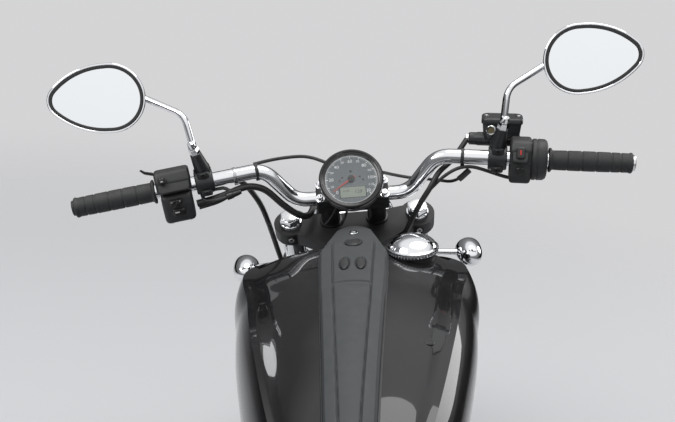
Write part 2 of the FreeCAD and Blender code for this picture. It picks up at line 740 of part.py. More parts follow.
def frame_front():
    """Cast neck, backbone and the two cheeks that hold the radiator."""
    head = drum(V(), Z, HEAD_R, HEAD_BOTTOM_S, HEAD_TOP_S)
    head.Placement = FORK_PLACE
    bore = drum(V(), Z, STEM_R + 5, HEAD_BOTTOM_S - 5, HEAD_TOP_S + 5)
    bore.Placement = FORK_PLACE
    half = BACKBONE_HALF
    top = TANK_LOW - SEAT_GAP
    spine = side_plate([(1262, 742), (1232, 800), (1190, 790), (TANK_RISE_X + 8, top), (600, top),
                        (600, 640), (1080, 636), (1190, 668)], 8, -half, half)
    cheek = side_plate([(CHEEK_X - 36, 626), (CHEEK_X + 34, 626), (CHEEK_X + 24, 420), (CHEEK_X - 6, 214),
                        (CHEEK_X - 60, 136), (CHEEK_X - 90, 150), (CHEEK_X - 40, 240), (CHEEK_X - 34, 420)],
                       8, CHEEK_Y, CHEEK_Y + CHEEK_T)
    inner = [V(x, 30, z) for x, z in ((1225, 690), (1225, 750), (1165, 730), (1165, 670))]
    outer = [V(CHEEK_X + x, CHEEK_Y + y, z)
             for x, y, z in ((30, 4, 590), (34, 14, 626), (-34, 14, 626), (-30, 4, 590))]
    web = Part.makeLoft([Part.makePolygon(ring + ring[:1]) for ring in (inner, outer)], True, True)
    cross = block((CHEEK_X - 86, CHEEK_X - 56), (-CHEEK_Y - 2, CHEEK_Y + 2), (142, 172))
    whole = joined_pair(fused(cheek, web), head, spine, cross)
    return whole.cut(bore)


def radiator():
    """Radiator core with side tanks and a finned face between the cheeks."""
    half = CHEEK_Y - SEAT_GAP
    low = CHEEK_X - RADIATOR_T / 2
    core = block((low, low + RADIATOR_T), (-half, half), (300, RADIATOR_TOP))
    front = low + RADIATOR_T
    face = block((front - 8, front + 1), (24 - half, half - 24), (322, RADIATOR_TOP - 22))
    fins = [block((front - 9, front), (20 - half, half - 20), (330 + 16 * i, 334 + 16 * i)) for i in range(15)]
    return fused(core.cut(face), *fins)


def frame_rear():
    """Rear casting: seat rails, pivot plates and the lower rails."""
    half = BACKBONE_HALF
    plate = side_plate([(600, 700), (600, 668), (580, 640), (580, 440), (600, 400), (600, 215), (560, 200),
                        (482, 300), (500, 420), (530, 640), (540, 700)], 8, half, half + 30)
    saddle = block((560, 600 - SEAT_GAP), (-half - 10, half + 10), (642, 700))
    pivot = drum(V(PIVOT_X, 0, PIVOT_Z), Y, 24, -ARM_Y + SEAT_GAP, ARM_Y - SEAT_GAP)
    rail = pipe([V(575, 45, 660), RAIL_BEND, RAIL_END], 60, SEAT_RAIL_R)
    lower = pipe([V(CHEEK_X - 91, RAIL_Y, RAIL_Z), V(640, RAIL_Y, RAIL_Z), V(560, 48, 225)], 40, RAIL_R)
    shock = shock_ends()[1]
    boss = drum(shock, Y, 15, RAIL_Y - SHOCK_Y, -21 - SEAT_GAP)
    pin = drum(shock, Y, SHOCK_PIN_R, -24, 18)
    side = fused(plate, rail, lower, boss, pin)
    axis = stand_axis()
    lug = drum(STAND_PIVOT, axis, 20, -STAND_EYE_T / 2 - 10.3, -STAND_EYE_T / 2 - SEAT_GAP)
    bolt = drum(STAND_PIVOT, axis, STAND_PIN_R, -STAND_EYE_T / 2 - 5, STAND_EYE_T / 2 + 4)
    head = drum(STAND_PIVOT, axis, 11, STAND_EYE_T / 2 + SEAT_GAP, STAND_EYE_T / 2 + 7)
    return joined_pair(side, saddle, pivot, lug, bolt, head)


def swingarm():
    """Two arms and a cross tube ahead of the tyre."""
    arm = side_plate([(PIVOT_X + 34, PIVOT_Z + 34), (PIVOT_X + 34, PIVOT_Z - 34), (-20, REAR_TYRE_R - 28),
                      (-48, REAR_TYRE_R), (-20, REAR_TYRE_R + 28), (150, REAR_TYRE_R + 44)], 16,
                     ARM_Y, ARM_Y + ARM_T)
    axle = drum(REAR_AXLE, Y, AXLE_R + RUNNING_GAP, 100, 200)
    middle = arm_middle(ARM_CROSS_X)
    cross = block((ARM_CROSS_X - ARM_CROSS_HALF, ARM_CROSS_X + ARM_CROSS_HALF), (-ARM_Y - 6, ARM_Y + 6),
                  (middle - ARM_CROSS_HALF, middle + ARM_CROSS_HALF))
    shock = shock_ends()[0]
    boss = drum(shock, Y, 17, ARM_Y + 4 - SHOCK_Y, -21 - SEAT_GAP)
    pin = drum(shock, Y, SHOCK_PIN_R, -24, 18)
    return joined_pair(fused(arm.cut(axle), boss, pin), cross)


def rear_axle():
    """Axle through both arms, with collars that centre the wheel."""
    reach = ARM_Y + ARM_T + 8
    bar = drum(REAR_AXLE, Y, AXLE_R, -reach, reach)
    left = drum(REAR_AXLE, Y, AXLE_R + 7, BELT_Y + BELT_W + 3 + SEAT_GAP, ARM_Y - SEAT_GAP)
    right = drum(REAR_AXLE, Y, AXLE_R + 7, -ARM_Y + SEAT_GAP, -HUB_HALF - DISC_T - SEAT_GAP)
    nut = drum(REAR_AXLE, Y, 17, ARM_Y + ARM_T + SEAT_GAP, reach + 4)
    return fused(bar, left, right, nut, mirrored(nut))


def rear_caliper():
    """Caliper above the right arm on its bracket."""
    angle = 62.0
    body = caliper(REAR_AXLE, angle, -1)
    high = HUB_HALF + DISC_T + DISC_AIR
    x = CALIPER_REACH * math.cos(math.radians(angle))
    bracket = block((x - 22, x + 22), (-high - 8, -ARM_Y + SEAT_GAP), (REAR_TYRE_R + 20, REAR_TYRE_R + 110))
    return fused(body, bracket)


def shocks():
    """Laid-down spring units from the arms to the seat rails."""
    low, high = shock_ends()
    run = (high - low).normalize()
    body = rod(low + run * 30, high - run * 30, 17)
    coils = [Part.makeCylinder(27, 9, low + run * (74 + 19 * i), run) for i in range(10)]
    cups = [Part.makeCylinder(30, 12, low + run * 52, run), Part.makeCylinder(30, 26, high - run * 72, run)]
    eyes = [drum(low, Y, 16, -21, 14), drum(high, Y, 16, -21, 14)]
    neck = [rod(low, low + run * 60, 10), rod(high, high - run * 60, 12)]
    holes = [drum(eye, Y, SHOCK_PIN_R + FIT, -40, 40) for eye in (low, high)]
    return pair(fused(body, *coils, *cups, *eyes, *neck).cut(holes[0]).cut(holes[1]))


def crankcase():
    """Crankcase and gearbox block with the output sprocket."""
    rear = 600 + SEAT_GAP
    body = side_plate([(1000, 300), (960, 420), (860, 470), (720, 470), (640, 430), (rear, 380), (rear, 240),
                       (640, 180), (720, 140), (900, 140), (980, 190)], 16, -CASE_HALF, CASE_HALF)
    lug = block((930, CHEEK_X - 86 - SEAT_GAP), (-50, 50), (146, 172))
    oil_filter = drum(V(980, 0, 250), X, 36, 0, 78)
    sprocket = drum(V(SPROCKET_X, 0, PIVOT_Z), Y, SPROCKET_R, BELT_Y - 1, BELT_Y + BELT_W + 1)
    shaft = drum(V(SPROCKET_X + 14, 0, PIVOT_Z), Y, 20, CASE_HALF - 10, BELT_Y + 4)
    return fused(body, sprocket, shaft, lug, oil_filter)


def upright_edges(shape):
    """Edges of a shape that run along Z."""
    return [e for e in shape.Edges if e.tangentAt(e.FirstParameter).cross(Z).Length < 0.1]


def cylinder(lean):
    """One cylinder with fins, head and rocker cover, leaning forward or back."""
    up = V(math.sin(math.radians(lean)), 0, math.cos(math.radians(lean)))
    place = FreeCAD.Placement(CRANK, FreeCAD.Rotation(V(0, 1, 0), lean))
    start = BARREL_FROM + 14
    barrel = block((-58, 58), (-66, 66), (start, BARREL_TO))
    barrel = barrel.makeFillet(18, upright_edges(barrel))
    fins = []
    for i in range(6):
        low = start + 12 + 16 * i
        fin = block((-70, 70), (-78, 78), (low, low + 6))
        fins.append(fin.makeFillet(22, upright_edges(fin)))
    head = block((-HEAD_HALF_X, HEAD_HALF_X), (-HEAD_HALF_Y, HEAD_HALF_Y), (BARREL_TO, BARREL_TO + 44))
    cover = block((-60, 60), (-72, 72), (BARREL_TO + 44, HEAD_TO))
    cover = cover.makeFillet(12, cover.Edges)
    cover2 = block((-56, 56), (-68, 68), (BARREL_TO + 40, BARREL_TO + 60))
    whole = fused(barrel, head, cover, cover2, *fins)
    whole.Placement = place
    return whole


def clear_of_case(shape):
    """A shape with the crankcase taken out of it."""
    return shape.cut(crankcase())


def engine_covers():
    """Round side covers of the crankcase, with the belt sprocket's cover."""
    low = CASE_HALF + SEAT_GAP
    clutch_side = V(850, 0, COVER_Z)
    primary = fused(drum(clutch_side, Y, 112, low, low + 44), drum(clutch_side, Y, 88, low + 44, low + 54),
                    drum(V(754, 0, COVER_Z), Y, 70, low, low + 40))
    guard = side_plate([(700, 405), (570, 400), (560, 330), (570, 262), (700, 250)], 20,
                       BELT_Y + BELT_W + 8, BELT_Y + BELT_W + 22)
    link = block((690, 720), (low + 2, BELT_Y + BELT_W + 22), (300, 340))
    right = V(CRANK.x, 0, COVER_Z)
    clutch = fused(drum(right, Y, 118, -low - 40, -low), drum(right, Y, 92, -low - 52, -low - 40))
    return Part.makeCompound([fused(primary, guard, link), clutch])


def intake_cover():
    """Air box between the cylinders under the tank, with a cover on each side."""
    box = side_plate([(800, 520), (744, 600), (770, 638), (830, 637.5), (856, 600)], 8, -112, 112)
    return box


def port(lean, x, y, z):
    """Point on a leaning cylinder and the direction away from its middle."""
    turn = FreeCAD.Rotation(Y, lean)
    out = turn.multVec(V(x, y, 0).normalize())
    return CRANK + turn.multVec(V(x, y, z)), out


def exhaust_pipes():
    """Two header pipes on the right."""
    front_port, out = port(V_HALF, HEAD_HALF_X, 0, HEAD_MID)
    front_port = front_port - Y * 40 + out * SEAT_GAP
    front = pipe([front_port, front_port + out * 44, V(1040, -150, 445), V(1012, -206, 335),
                  V(930, -MUFFLER_Y, 240), V(800, -MUFFLER_Y, MUFFLER_LOW_Z),
                  V(MUFFLER_FRONT, -MUFFLER_Y, MUFFLER_LOW_Z)], 42, PIPE_R)
    rear_port, out = port(-V_HALF, 0, -HEAD_HALF_Y, HEAD_MID)
    rear_port = rear_port + out * SEAT_GAP
    rear = pipe([rear_port, rear_port + out * 62, V(620, -206, 470), V(570, -MUFFLER_Y, 370),
                 V(500, -MUFFLER_Y, MUFFLER_HIGH_Z), V(MUFFLER_FRONT - 20, -MUFFLER_Y, MUFFLER_HIGH_Z)],
                42, PIPE_R)
    return Part.makeCompound([front, rear])


def muffler(x_front, x_rear, z):
    """Tapered silencer with a bored outlet."""
    cone = x_front - 70
    profile = [(0, x_front), (22, x_front), (MUFFLER_R, cone), (MUFFLER_R, x_rear + 20),
               (MUFFLER_R - 6, x_rear), (20, x_rear), (20, x_rear + 60), (0, x_rear + 60)]
    return turned(profile, X, V(0, -MUFFLER_Y, z))


def mufflers():
    """Two staggered silencers."""
    low = muffler(MUFFLER_FRONT - SEAT_GAP, -190, MUFFLER_LOW_Z)
    high = muffler(MUFFLER_FRONT - 20 - SEAT_GAP, -110, MUFFLER_HIGH_Z)
    return Part.makeCompound([low, high])


def tank_ring(x, wide, wide_z, crease, crease_z, top_z, low, low_z):
    """Closed section of the tank: sides, shoulders and flat underside."""
    right = [V(x, -low, low_z), V(x, -wide, wide_z), V(x, -crease, crease_z)]
    left = [V(p.x, -p.y, p.z) for p in right]
    edges = [Part.Arc(*right), Part.Arc(right[2], V(x, 0, top_z), left[2]),
             Part.Arc(left[2], left[1], left[0]), Part.LineSegment(left[0], right[0])]
    return Part.Wire([e.toShape() for e in edges])


# Tank sections: place, half width and its height, crease half width and height,
# height of the middle, half width and height of the underside
TANK_RINGS = (
    (560, 62, 762, 48, 792, 806, 44, 708),
    (680, 114, 786, 90, 830, 850, 84, 700),
    (820, 154, 800, 128, 850, 874, 112, 700),
    (960, 180, 812, 158, 862, 890, 134, 700),
    (1070, 186, 818, 170, 870, TANK_TOP_Z, 140, 712),
    (1118, 150, 816, 134, 864, 892, 112, 730),
)


def fuel_tank():
    """Long tapering tank with a flat underside that rises over the neck."""
    body = Part.makeLoft([tank_ring(*row) for row in TANK_RINGS], True, False)
    step = TANK_LOW + 56
    under = [V(x, -300, z) for x, z in ((500, 500), (500, TANK_LOW), (TANK_RISE_X, TANK_LOW),
                                        (TANK_RISE_X + 130, step), (1400, step), (1400, 500))]
    return body.cut(Part.Face(Part.makePolygon(under + under[:1])).extrude(V(0, 600, 0)))


# Console sections: place, half width, height of the top at its middle and at its edge
CONSOLE_RINGS = (
    (590, 22, 838, 830),
    (666, 28, 866, 858),
    (765, 34, 886, 878),
    (900, 43, 902, 894),
    (1050, 52, 914, 906),
    (1140, 27, 916, 908),
)


def tank_console():
    """Centre strip over the tank from the seat to the neck."""
    rings = []
    for x, half, top, edge in CONSOLE_RINGS:
        low = [V(x, -half - 3, edge - 44), V(x, -half, edge)]
        high = [V(p.x, -p.y, p.z) for p in low]
        edges = [Part.LineSegment(low[0], low[1]), Part.Arc(low[1], V(x, 0, top), high[1]),
                 Part.LineSegment(high[1], high[0]), Part.LineSegment(high[0], low[0])]
        rings.append(Part.Wire([e.toShape() for e in edges]))
    return Part.makeLoft(rings, True, True).cut(fuel_tank())


def fuel_cap():
    """Domed bright filler cap on the tank's right."""
    body = turned([(0, -26), (36, -26), (38, -2), (41, 0), (41, 5), (36, 13), (23, 20), (0, 23)], Z, CAP_C)
    return body.cut(fuel_tank())


# Seat sections: place, half width, height of the top, of the underside and of the widest line
SEAT_RINGS = (
    (165, 64, 716, 640, 690),
    (240, 136, 704, 590, 655),
    (350, 146, 684, 610, 655),
    (470, 104, 702, 635, 678),
    (552, 52, 758, 690, 732),
)


def seat_floor(x):
    """Height of the saddle's underside over the seat rails."""
    slope = (RAIL_BEND.z - RAIL_END.z) / (RAIL_BEND.x - RAIL_END.x)
    return seat_rail(x) + SEAT_RAIL_R * math.sqrt(1 + slope * slope) + SEAT_GAP


def seat():
    """Solo saddle: sections from its rear edge to its nose."""
    rings = []
    for x, half, top, low, side in SEAT_RINGS:
        right = [V(x, -half + 10, low), V(x, -half, side), V(x, -half + 16, top - 10)]
        left = [V(p.x, -p.y, p.z) for p in right]
        edges = [Part.Arc(*right), Part.Arc(right[2], V(x, 0, top), left[2]),
                 Part.Arc(left[2], left[1], left[0]), Part.LineSegment(left[0], right[0])]
        rings.append(Part.Wire([e.toShape() for e in edges]))
    saddle = Part.makeLoft(rings, True, False)
    under = [V(x, -300, z) for x, z in ((100, 400), (100, 676), (165, 664), (236, seat_floor(236)),
                                        (470, seat_floor(470)), (552, 712), (620, 740), (620, 400))]
    return saddle.cut(Part.Face(Part.makePolygon(under + under[:1])).extrude(V(0, 600, 0)))


def rear_fender():
    """Mudguard over the rear tyre."""
    return fender(REAR_FENDER_R, 60, 100, 42, 166, REAR_AXLE)


def fender_struts():
    """Bright side rails of the mudguard, with threaded bosses for luggage or a rest."""
    low = 101.0
    rail = side_plate([(250, 548), (250, 588), (70, 662), (-60, 660), (-170, 618), (-212, 578), (-196, 556),
                       (-160, 570), (-56, 616), (66, 616)], 7, low, low + 6)
    posts = [drum(V(x, 0, z), Y, 9, low, low + THREAD_DEPTH) for x, z in strut_holes()]
    holes = [drum(V(x, 0, z), Y, THREAD_R, low, low + THREAD_DEPTH) for x, z in strut_holes()]
    foot = drum(V(205, 0, 583), Y, 9, low + 2, 111)
    side = fused(rail, foot, *posts)
    for hole in holes:
        side = side.cut(hole)
    return pair(side)


def strut_holes():
    """Places of the threaded holes on the mudguard's side rails."""
    return [(x, REAR_TYRE_R + math.sqrt(REAR_FENDER_R ** 2 - x ** 2) - 44) for x in STRUT_HOLES_X]


def off_fender(shape):
    """A shape with the mudguard's round crown taken out of it."""
    return shape.cut(drum(REAR_AXLE, Y, REAR_FENDER_R + SEAT_GAP, -200, 200))


def tail_lamp():
    """Tail lamp on the mudguard's tip."""
    body = side_plate([(-290, 560), (-376, 524), (-380, 484), (-320, 470)], 8, -44, 44)
    return off_fender(body)


def plate_place():
    """Placement of the blank plate: Z out of its face to the rear, X down it."""
    return FreeCAD.Placement(V(-400, 0, 396), FreeCAD.Rotation(Y, PLATE_TILT - 90))


def plate_bracket():
    """Bracket with a blank plate behind the rear tyre."""
    half = PLATE_H / 2
    sheet = block((-half, half), (-PLATE_W / 2, PLATE_W / 2), (-PLATE_T, 0))
    for y in (-PLATE_HOLE_Y, PLATE_HOLE_Y):
        hole = Part.makeCylinder(PLATE_HOLE_R, 3 * PLATE_T, V(PLATE_HOLE_X, y, -2 * PLATE_T))
        sheet = sheet.cut(hole)
    sheet.Placement = plate_place()
    arm = side_plate([(-318, 462), (-318, 420), (-396, 388), (-404, 400), (-392, 424)], 3, -32, 32)
    front = block((-half, half), (-PLATE_W / 2, PLATE_W / 2), (0, 60))
    front.Placement = plate_place()
    return fused(sheet, off_fender(arm).cut(front))


def rear_signals():
    """Bullet turn signals behind the mudguard's side rails."""
    centre = V(-196, 172, 578)
    bullet = turned([(0, 34), (12, 32), (SIGNAL_R - 3, 14), (SIGNAL_R, -4), (SIGNAL_R, -16),
                     (SIGNAL_R - 4, -22), (0, -26)], X, centre)
    stalk = rod(V(-186, 109, 588), centre, 7)
    return pair(fused(bullet, stalk))


def belt_guard():
    """Guard over the belt's upper run."""
    strip = side_plate([(40, 450), (500, 416), (500, 410), (40, 444)], 2, BELT_Y - 4, BELT_Y + BELT_W + 8)
    skirt = side_plate([(40, 450), (500, 416), (500, 392), (280, 396), (40, 424)], 2,
                       BELT_Y + BELT_W + 5, BELT_Y + BELT_W + 8)
    foot = block((300, 330), (BELT_Y + BELT_W + 5, ARM_Y - SEAT_GAP), (340, 410))
    return fused(strip, skirt, foot)


def foot_controls():
    """Folding pegs with a toe pedal ahead of each."""
    face = CHEEK_Y + CHEEK_T + SEAT_GAP
    plate = side_plate([(1072, 322), (1128, 322), (1128, 258), (1072, 258)], 8, face, face + 12)
    peg = rod(V(1100, face + 8, 290), V(1100, 305, 290), 15)
    arm = pipe([V(1116, face + 6, 306), V(1150, face + 24, 318), V(1205, 205, 338)], 24, 7)
    pad = block((1188, 1222), (196, 246), (332, 346))
    return pair(fused(plate, peg, arm, pad))


def side_covers():
    """Panels below the seat, each on two posts from the pivot plates."""
    low = 98.0
    panel = side_plate([(584, 628), (436, 596), (458, 470), (584, 448)], 12, low, low + 8)
    inner = BACKBONE_HALF + 30 + SEAT_GAP
    posts = [rod(V(x, inner, z), V(x, low + 2, z), 8) for x, z in ((566, 600), (556, 480))]
    return pair(fused(panel, *posts))


def stand_axis():
    """Hinge of the side stand, which swings the leg back and up along the frame."""
    return (stand_foot() - STAND_PIVOT).normalize().cross(STAND_FOLDED).normalize()


def stand_angle():
    """Turn from the stand's resting place to its folded place."""
    axis = stand_axis()
    leg = (stand_foot() - STAND_PIVOT).normalize()
    back = (STAND_FOLDED - axis * STAND_FOLDED.dot(axis)).normalize()
    return math.degrees(leg.getAngle(back))


def lowest(place, centre, axis, radius, half):
    """Lowest height of a round-crowned tyre after a placement."""
    tilt = place.Rotation.multVec(axis).z
    return place.multVec(centre).z - (radius - half) * math.sqrt(1 - tilt * tilt) - half


def leaned():
    """Placement that leans the machine and sets both tyres on the floor."""
    front = STEER_PLACE.multVec(FRONT_AXLE)
    front_axis = STEER_PLACE.Rotation.multVec(Y)
    pitch = 0.0
    for _ in range(4):
        turn = FreeCAD.Rotation(Y, pitch).multiply(FreeCAD.Rotation(X, -LEAN))
        place = FreeCAD.Placement(V(), turn)
        rear_low = lowest(place, REAR_AXLE, Y, REAR_TYRE_R, REAR_TYRE_HALF)
        front_low = lowest(place, front, front_axis, FRONT_TYRE_R, FRONT_TYRE_HALF)
        pitch += math.degrees(math.atan((front_low - rear_low) / WHEELBASE))
    return FreeCAD.Placement(V(0, 0, -rear_low), turn)


def stand_foot():
    """Point where the stand meets the floor, in the machine's own frame."""
    lean = leaned()
    up = lean.Rotation.inverted().multVec(Z)
    flat = V(STAND_FOOT_X, STAND_FOOT_Y, 0)
    return flat - Z * (lean.multVec(flat).z / up.z)


def side_stand():
    """Stand leg with an eye at its hinge and a flat foot on the floor."""
    foot = stand_foot()
    up = leaned().Rotation.inverted().multVec(Z)
    axis = stand_axis()
    eye = drum(STAND_PIVOT, axis, STAND_EYE_R, -STAND_EYE_T / 2, STAND_EYE_T / 2)
    hole = drum(STAND_PIVOT, axis, STAND_PIN_R + RUNNING_GAP, -40, 40)
    pad = Part.makeCylinder(28, 9, foot, up)
    heel = foot + up * STAND_HEEL
    way = (heel - STAND_PIVOT).normalize()
    neck = rod(STAND_PIVOT + way * (STAND_EYE_R - 8), STAND_PIVOT + way * (STAND_EYE_R + 20),
               STAND_EYE_T / 2 - 0.8)
    leg = rod(STAND_PIVOT + way * (STAND_EYE_R + 8), heel, STAND_R)
    return fused(leg, neck, eye, pad).cut(hole)


NODES = (
    ("front_tyre", "front_wheel", lambda: tyre(FRONT_TYRE_R, FRONT_TYRE_HALF, FRONT_BEAD_HALF)),
    ("front_rim", "front_wheel", lambda: rim(FRONT_BEAD_HALF)),
    ("front_disc", "front_wheel", lambda: disc(1)),
    ("rear_tyre", "rear_wheel", lambda: tyre(REAR_TYRE_R, REAR_TYRE_HALF, REAR_BEAD_HALF)),
    ("rear_rim", "rear_wheel", lambda: rim(REAR_BEAD_HALF)),
    ("rear_disc", "rear_wheel", lambda: disc(-1)),
    ("rear_pulley", "rear_wheel", pulley),
    ("fork_tubes", "fork", fork_tubes),
    ("fork_sliders", "fork", fork_sliders),
    ("lower_clamp", "fork", lower_clamp),
    ("upper_clamp", "fork", upper_clamp),
    ("fork_caps", "fork", fork_caps),
    ("front_axle", "fork", front_axle),
    ("front_caliper", "fork", front_caliper),
    ("front_fender", "fork", front_fender),
    ("handlebar", "steered", handlebar),
    ("risers", "steered", risers),
    ("gauge", "steered", gauge),
    ("headlamp", "steered", headlamp),
    ("front_signals", "steered", front_signals),
    ("grips", "steered", grips),
    ("switch_left", "steered", switch_left),
    ("switch_right", "steered", switch_right),
    ("levers", "steered", levers),
    ("brake_reservoir", "steered", brake_reservoir),
    ("mirrors", "steered", mirrors),
    ("mirror_glasses", "steered", mirror_glasses),
    ("cables", "steered", cables),
    ("frame_front", "frame", frame_front),
    ("frame_rear", "frame", frame_rear),
    ("radiator", "frame", radiator),
    ("swingarm", "frame", swingarm),
    ("rear_axle", "frame", rear_axle),
    ("rear_caliper", "frame", rear_caliper),
    ("shocks", "frame", shocks),
    ("drive_belt", "frame", drive_belt),
    ("crankcase", "frame", crankcase),
    ("cylinder_front", "frame", lambda: clear_of_case(cylinder(V_HALF))),
    ("cylinder_rear", "frame", lambda: clear_of_case(cylinder(-V_HALF))),
    ("engine_covers", "frame", engine_covers),
    ("intake_cover", "frame", intake_cover),
    ("exhaust_pipes", "frame", exhaust_pipes),
    ("mufflers", "frame", mufflers),
    ("fuel_tank", "frame", fuel_tank),
    ("tank_console", "frame", tank_console),
    ("fuel_cap", "frame", fuel_cap),
    ("seat", "frame", seat),
    ("rear_fender", "frame", rear_fender),
    ("fender_struts", "frame", fender_struts),
    ("tail_lamp", "frame", tail_lamp),
    ("plate_bracket", "frame", plate_bracket),
    ("rear_signals", "frame", rear_signals),
    ("belt_guard", "frame", belt_guard),
    ("foot_controls", "frame", foot_controls),
    ("side_covers", "frame", side_covers),
    ("side_stand", "stand", side_stand),
)

PLACES = {
    "front_wheel": [FreeCAD.Placement(FRONT_AXLE, FreeCAD.Rotation()), STEER_PLACE],
    "rear_wheel": [FreeCAD.Placement(REAR_AXLE, FreeCAD.Rotation())],
    "fork": [FORK_PLACE, STEER_PLACE],
    "steered": [STEER_PLACE],
    "stand": [],
    "frame": [],
}


def row_place():
    """Placement of the leaning machine with the middle of its footprint at the origin."""
    lean = leaned()
    boxes = []
    for name, group, make in NODES:
        if name in ("front_tyre", "plate_bracket", "grips", "mirrors"):
            shape = make()
            for place in PLACES[group] + [lean]:
                shape.Placement = place.multiply(shape.Placement)
            boxes.append(shape.optimalBoundingBox(False, False))
    middle_x = (max(b.XMax for b in boxes) + min(b.XMin for b in boxes)) / 2
    middle_y = (max(b.YMax for b in boxes) + min(b.YMin for b in boxes)) / 2
    return FreeCAD.Placement(V(-middle_x, -middle_y, 0), FreeCAD.Rotation()).multiply(lean)


def build():
    """Every piece at its place in the row frame, by name."""
    row = row_place()
    shapes = {}
    for name, group, make in NODES:
        shape = make()
        for place in PLACES[group] + [row]:
            shape.Placement = place.multiply(shape.Placement)
        shapes[name] = shape
    return shapes


def main():
    """Write one file for each piece."""
    os.makedirs("parts", exist_ok=True)
    for name, shape in build().items():
        shape.exportStep("parts/" + name + ".step")


main()
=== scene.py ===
"""Looks of a cruiser motorcycle that leans on its side stand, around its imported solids."""
import math

import bmesh
import bpy
import numpy as np
from mathutils import Matrix
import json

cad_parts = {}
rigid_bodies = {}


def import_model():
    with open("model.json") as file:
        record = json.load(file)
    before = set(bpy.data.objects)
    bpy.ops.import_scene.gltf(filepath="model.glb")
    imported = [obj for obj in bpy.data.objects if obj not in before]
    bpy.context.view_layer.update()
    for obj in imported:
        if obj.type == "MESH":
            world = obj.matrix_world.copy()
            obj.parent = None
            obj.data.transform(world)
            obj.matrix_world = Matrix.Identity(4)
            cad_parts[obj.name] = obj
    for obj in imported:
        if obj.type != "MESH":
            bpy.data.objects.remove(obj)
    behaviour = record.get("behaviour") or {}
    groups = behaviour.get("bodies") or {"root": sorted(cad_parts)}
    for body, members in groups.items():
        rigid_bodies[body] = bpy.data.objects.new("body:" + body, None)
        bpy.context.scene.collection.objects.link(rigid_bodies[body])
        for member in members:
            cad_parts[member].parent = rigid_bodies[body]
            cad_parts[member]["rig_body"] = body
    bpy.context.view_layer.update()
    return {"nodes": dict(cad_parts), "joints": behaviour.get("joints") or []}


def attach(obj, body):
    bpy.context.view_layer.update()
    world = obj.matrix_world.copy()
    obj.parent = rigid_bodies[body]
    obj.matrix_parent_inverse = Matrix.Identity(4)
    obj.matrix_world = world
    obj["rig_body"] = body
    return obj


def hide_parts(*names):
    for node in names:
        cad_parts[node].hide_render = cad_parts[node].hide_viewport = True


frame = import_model()

# The machine's own axes
# The motorcycle leans to the left on its stand, so its pieces are drawn upright: X forward from
# the rear axle, Y to the rider's left, Z up from the ground. They are then carried into the lean.
joints = {joint["name"]: joint for joint in frame["joints"]}
RAKE = math.radians(29.0)
STEER_REST = math.radians(3.0)
REAR_TYRE_R = 0.323
FRONT_AXLE = np.array([1.562, 0.0, 0.32])
REAR_AXLE = np.array([0.0, 0.0, REAR_TYRE_R])
AXIS_FOOT = np.array([1.682, 0.0, 0.0])
STEER_AXIS = np.array([-math.sin(RAKE), 0.0, math.cos(RAKE)])
FORK_AXES = np.array([[math.cos(RAKE), 0.0, math.sin(RAKE)], [0.0, 1.0, 0.0], STEER_AXIS])
lean_left = np.array(joints["rear_wheel_spin"]["axis"])
lean_steer = np.array(joints["steering"]["axis"])
lean_across = np.cross(lean_left, lean_steer)
lean_forward = math.cos(RAKE) * lean_across - math.sin(RAKE) * lean_steer
lean_up = math.sin(RAKE) * lean_across + math.cos(RAKE) * lean_steer
LEAN_AXES = np.array([lean_forward, lean_left, lean_up])
LEAN_ORIGIN = np.array(joints["rear_wheel_spin"]["pos_m"]) - REAR_TYRE_R * lean_up


def unit(vector):
    """Vector of length one."""
    return np.asarray(vector, float) / np.linalg.norm(vector, axis=-1, keepdims=True)


def turn(points, axis, angle, centre=(0, 0, 0)):
    """Points turned about an axis through a centre: the turned part of each is its cross and
    its dot product with the axis."""
    k = unit(axis)
    p = np.asarray(points, float) - centre
    along = (p @ k)[..., None] * k
    return np.asarray(centre) + along + (p - along) * math.cos(angle) + np.cross(k, p) * math.sin(angle)


def upright(points):
    """Points of the upright machine, carried into its lean."""
    return LEAN_ORIGIN + np.asarray(points, float) @ LEAN_AXES


def steered(points):
    """Points of what turns with the handlebar, drawn straight ahead."""
    return upright(turn(points, STEER_AXIS, STEER_REST, AXIS_FOOT))


def forked(points):
    """Points of the fork: X ahead of the steering axis, Y to the left and Z up along it."""
    return steered(AXIS_FOOT + np.asarray(points, float) @ FORK_AXES)


def front_wheel(points):
    """Points of the front wheel, drawn about its hub."""
    return steered(FRONT_AXLE + np.asarray(points, float))


def rear_wheel(points):
    """Points of the rear wheel, drawn about its hub."""
    return upright(REAR_AXLE + np.asarray(points, float))


# Camera at the rider's eyes
# The photograph looks down over the tank from just above the saddle. The view's focal length is
# in pixels of the photograph, which is 675 wide; the head is turned and tilted a little.
PHOTO_WIDTH = 675
FOCAL = 720.0
EYE = np.array([0.0003, -0.0383, 1.3312])
LOOK_DOWN = math.radians(18.9)
LOOK_LEFT = math.radians(3.24)
HEAD_ROLL = math.radians(-3.38)

gaze = np.array([math.cos(LOOK_DOWN) * math.cos(LOOK_LEFT), math.cos(LOOK_DOWN) * math.sin(LOOK_LEFT),
    -math.sin(LOOK_DOWN)])
level_right = np.array([math.sin(LOOK_LEFT), -math.cos(LOOK_LEFT), 0.0])
level_up = np.cross(level_right, gaze)
right = level_right * math.cos(HEAD_ROLL) + level_up * math.sin(HEAD_ROLL)
upward = level_up * math.cos(HEAD_ROLL) - level_right * math.sin(HEAD_ROLL)
camera_data = bpy.data.cameras.new("rider")
camera_data.sensor_width = 36.0
camera_data.lens = FOCAL / PHOTO_WIDTH * camera_data.sensor_width
camera_data.clip_start = 0.02
camera = bpy.data.objects.new("rider", camera_data)
pose = np.eye(4)
pose[:3, 0] = right @ LEAN_AXES
pose[:3, 1] = upward @ LEAN_AXES
pose[:3, 2] = -gaze @ LEAN_AXES
pose[:3, 3] = upright(EYE)
camera.matrix_world = Matrix(pose.tolist())
scene = bpy.context.scene
scene.collection.objects.link(camera)
scene.camera = camera

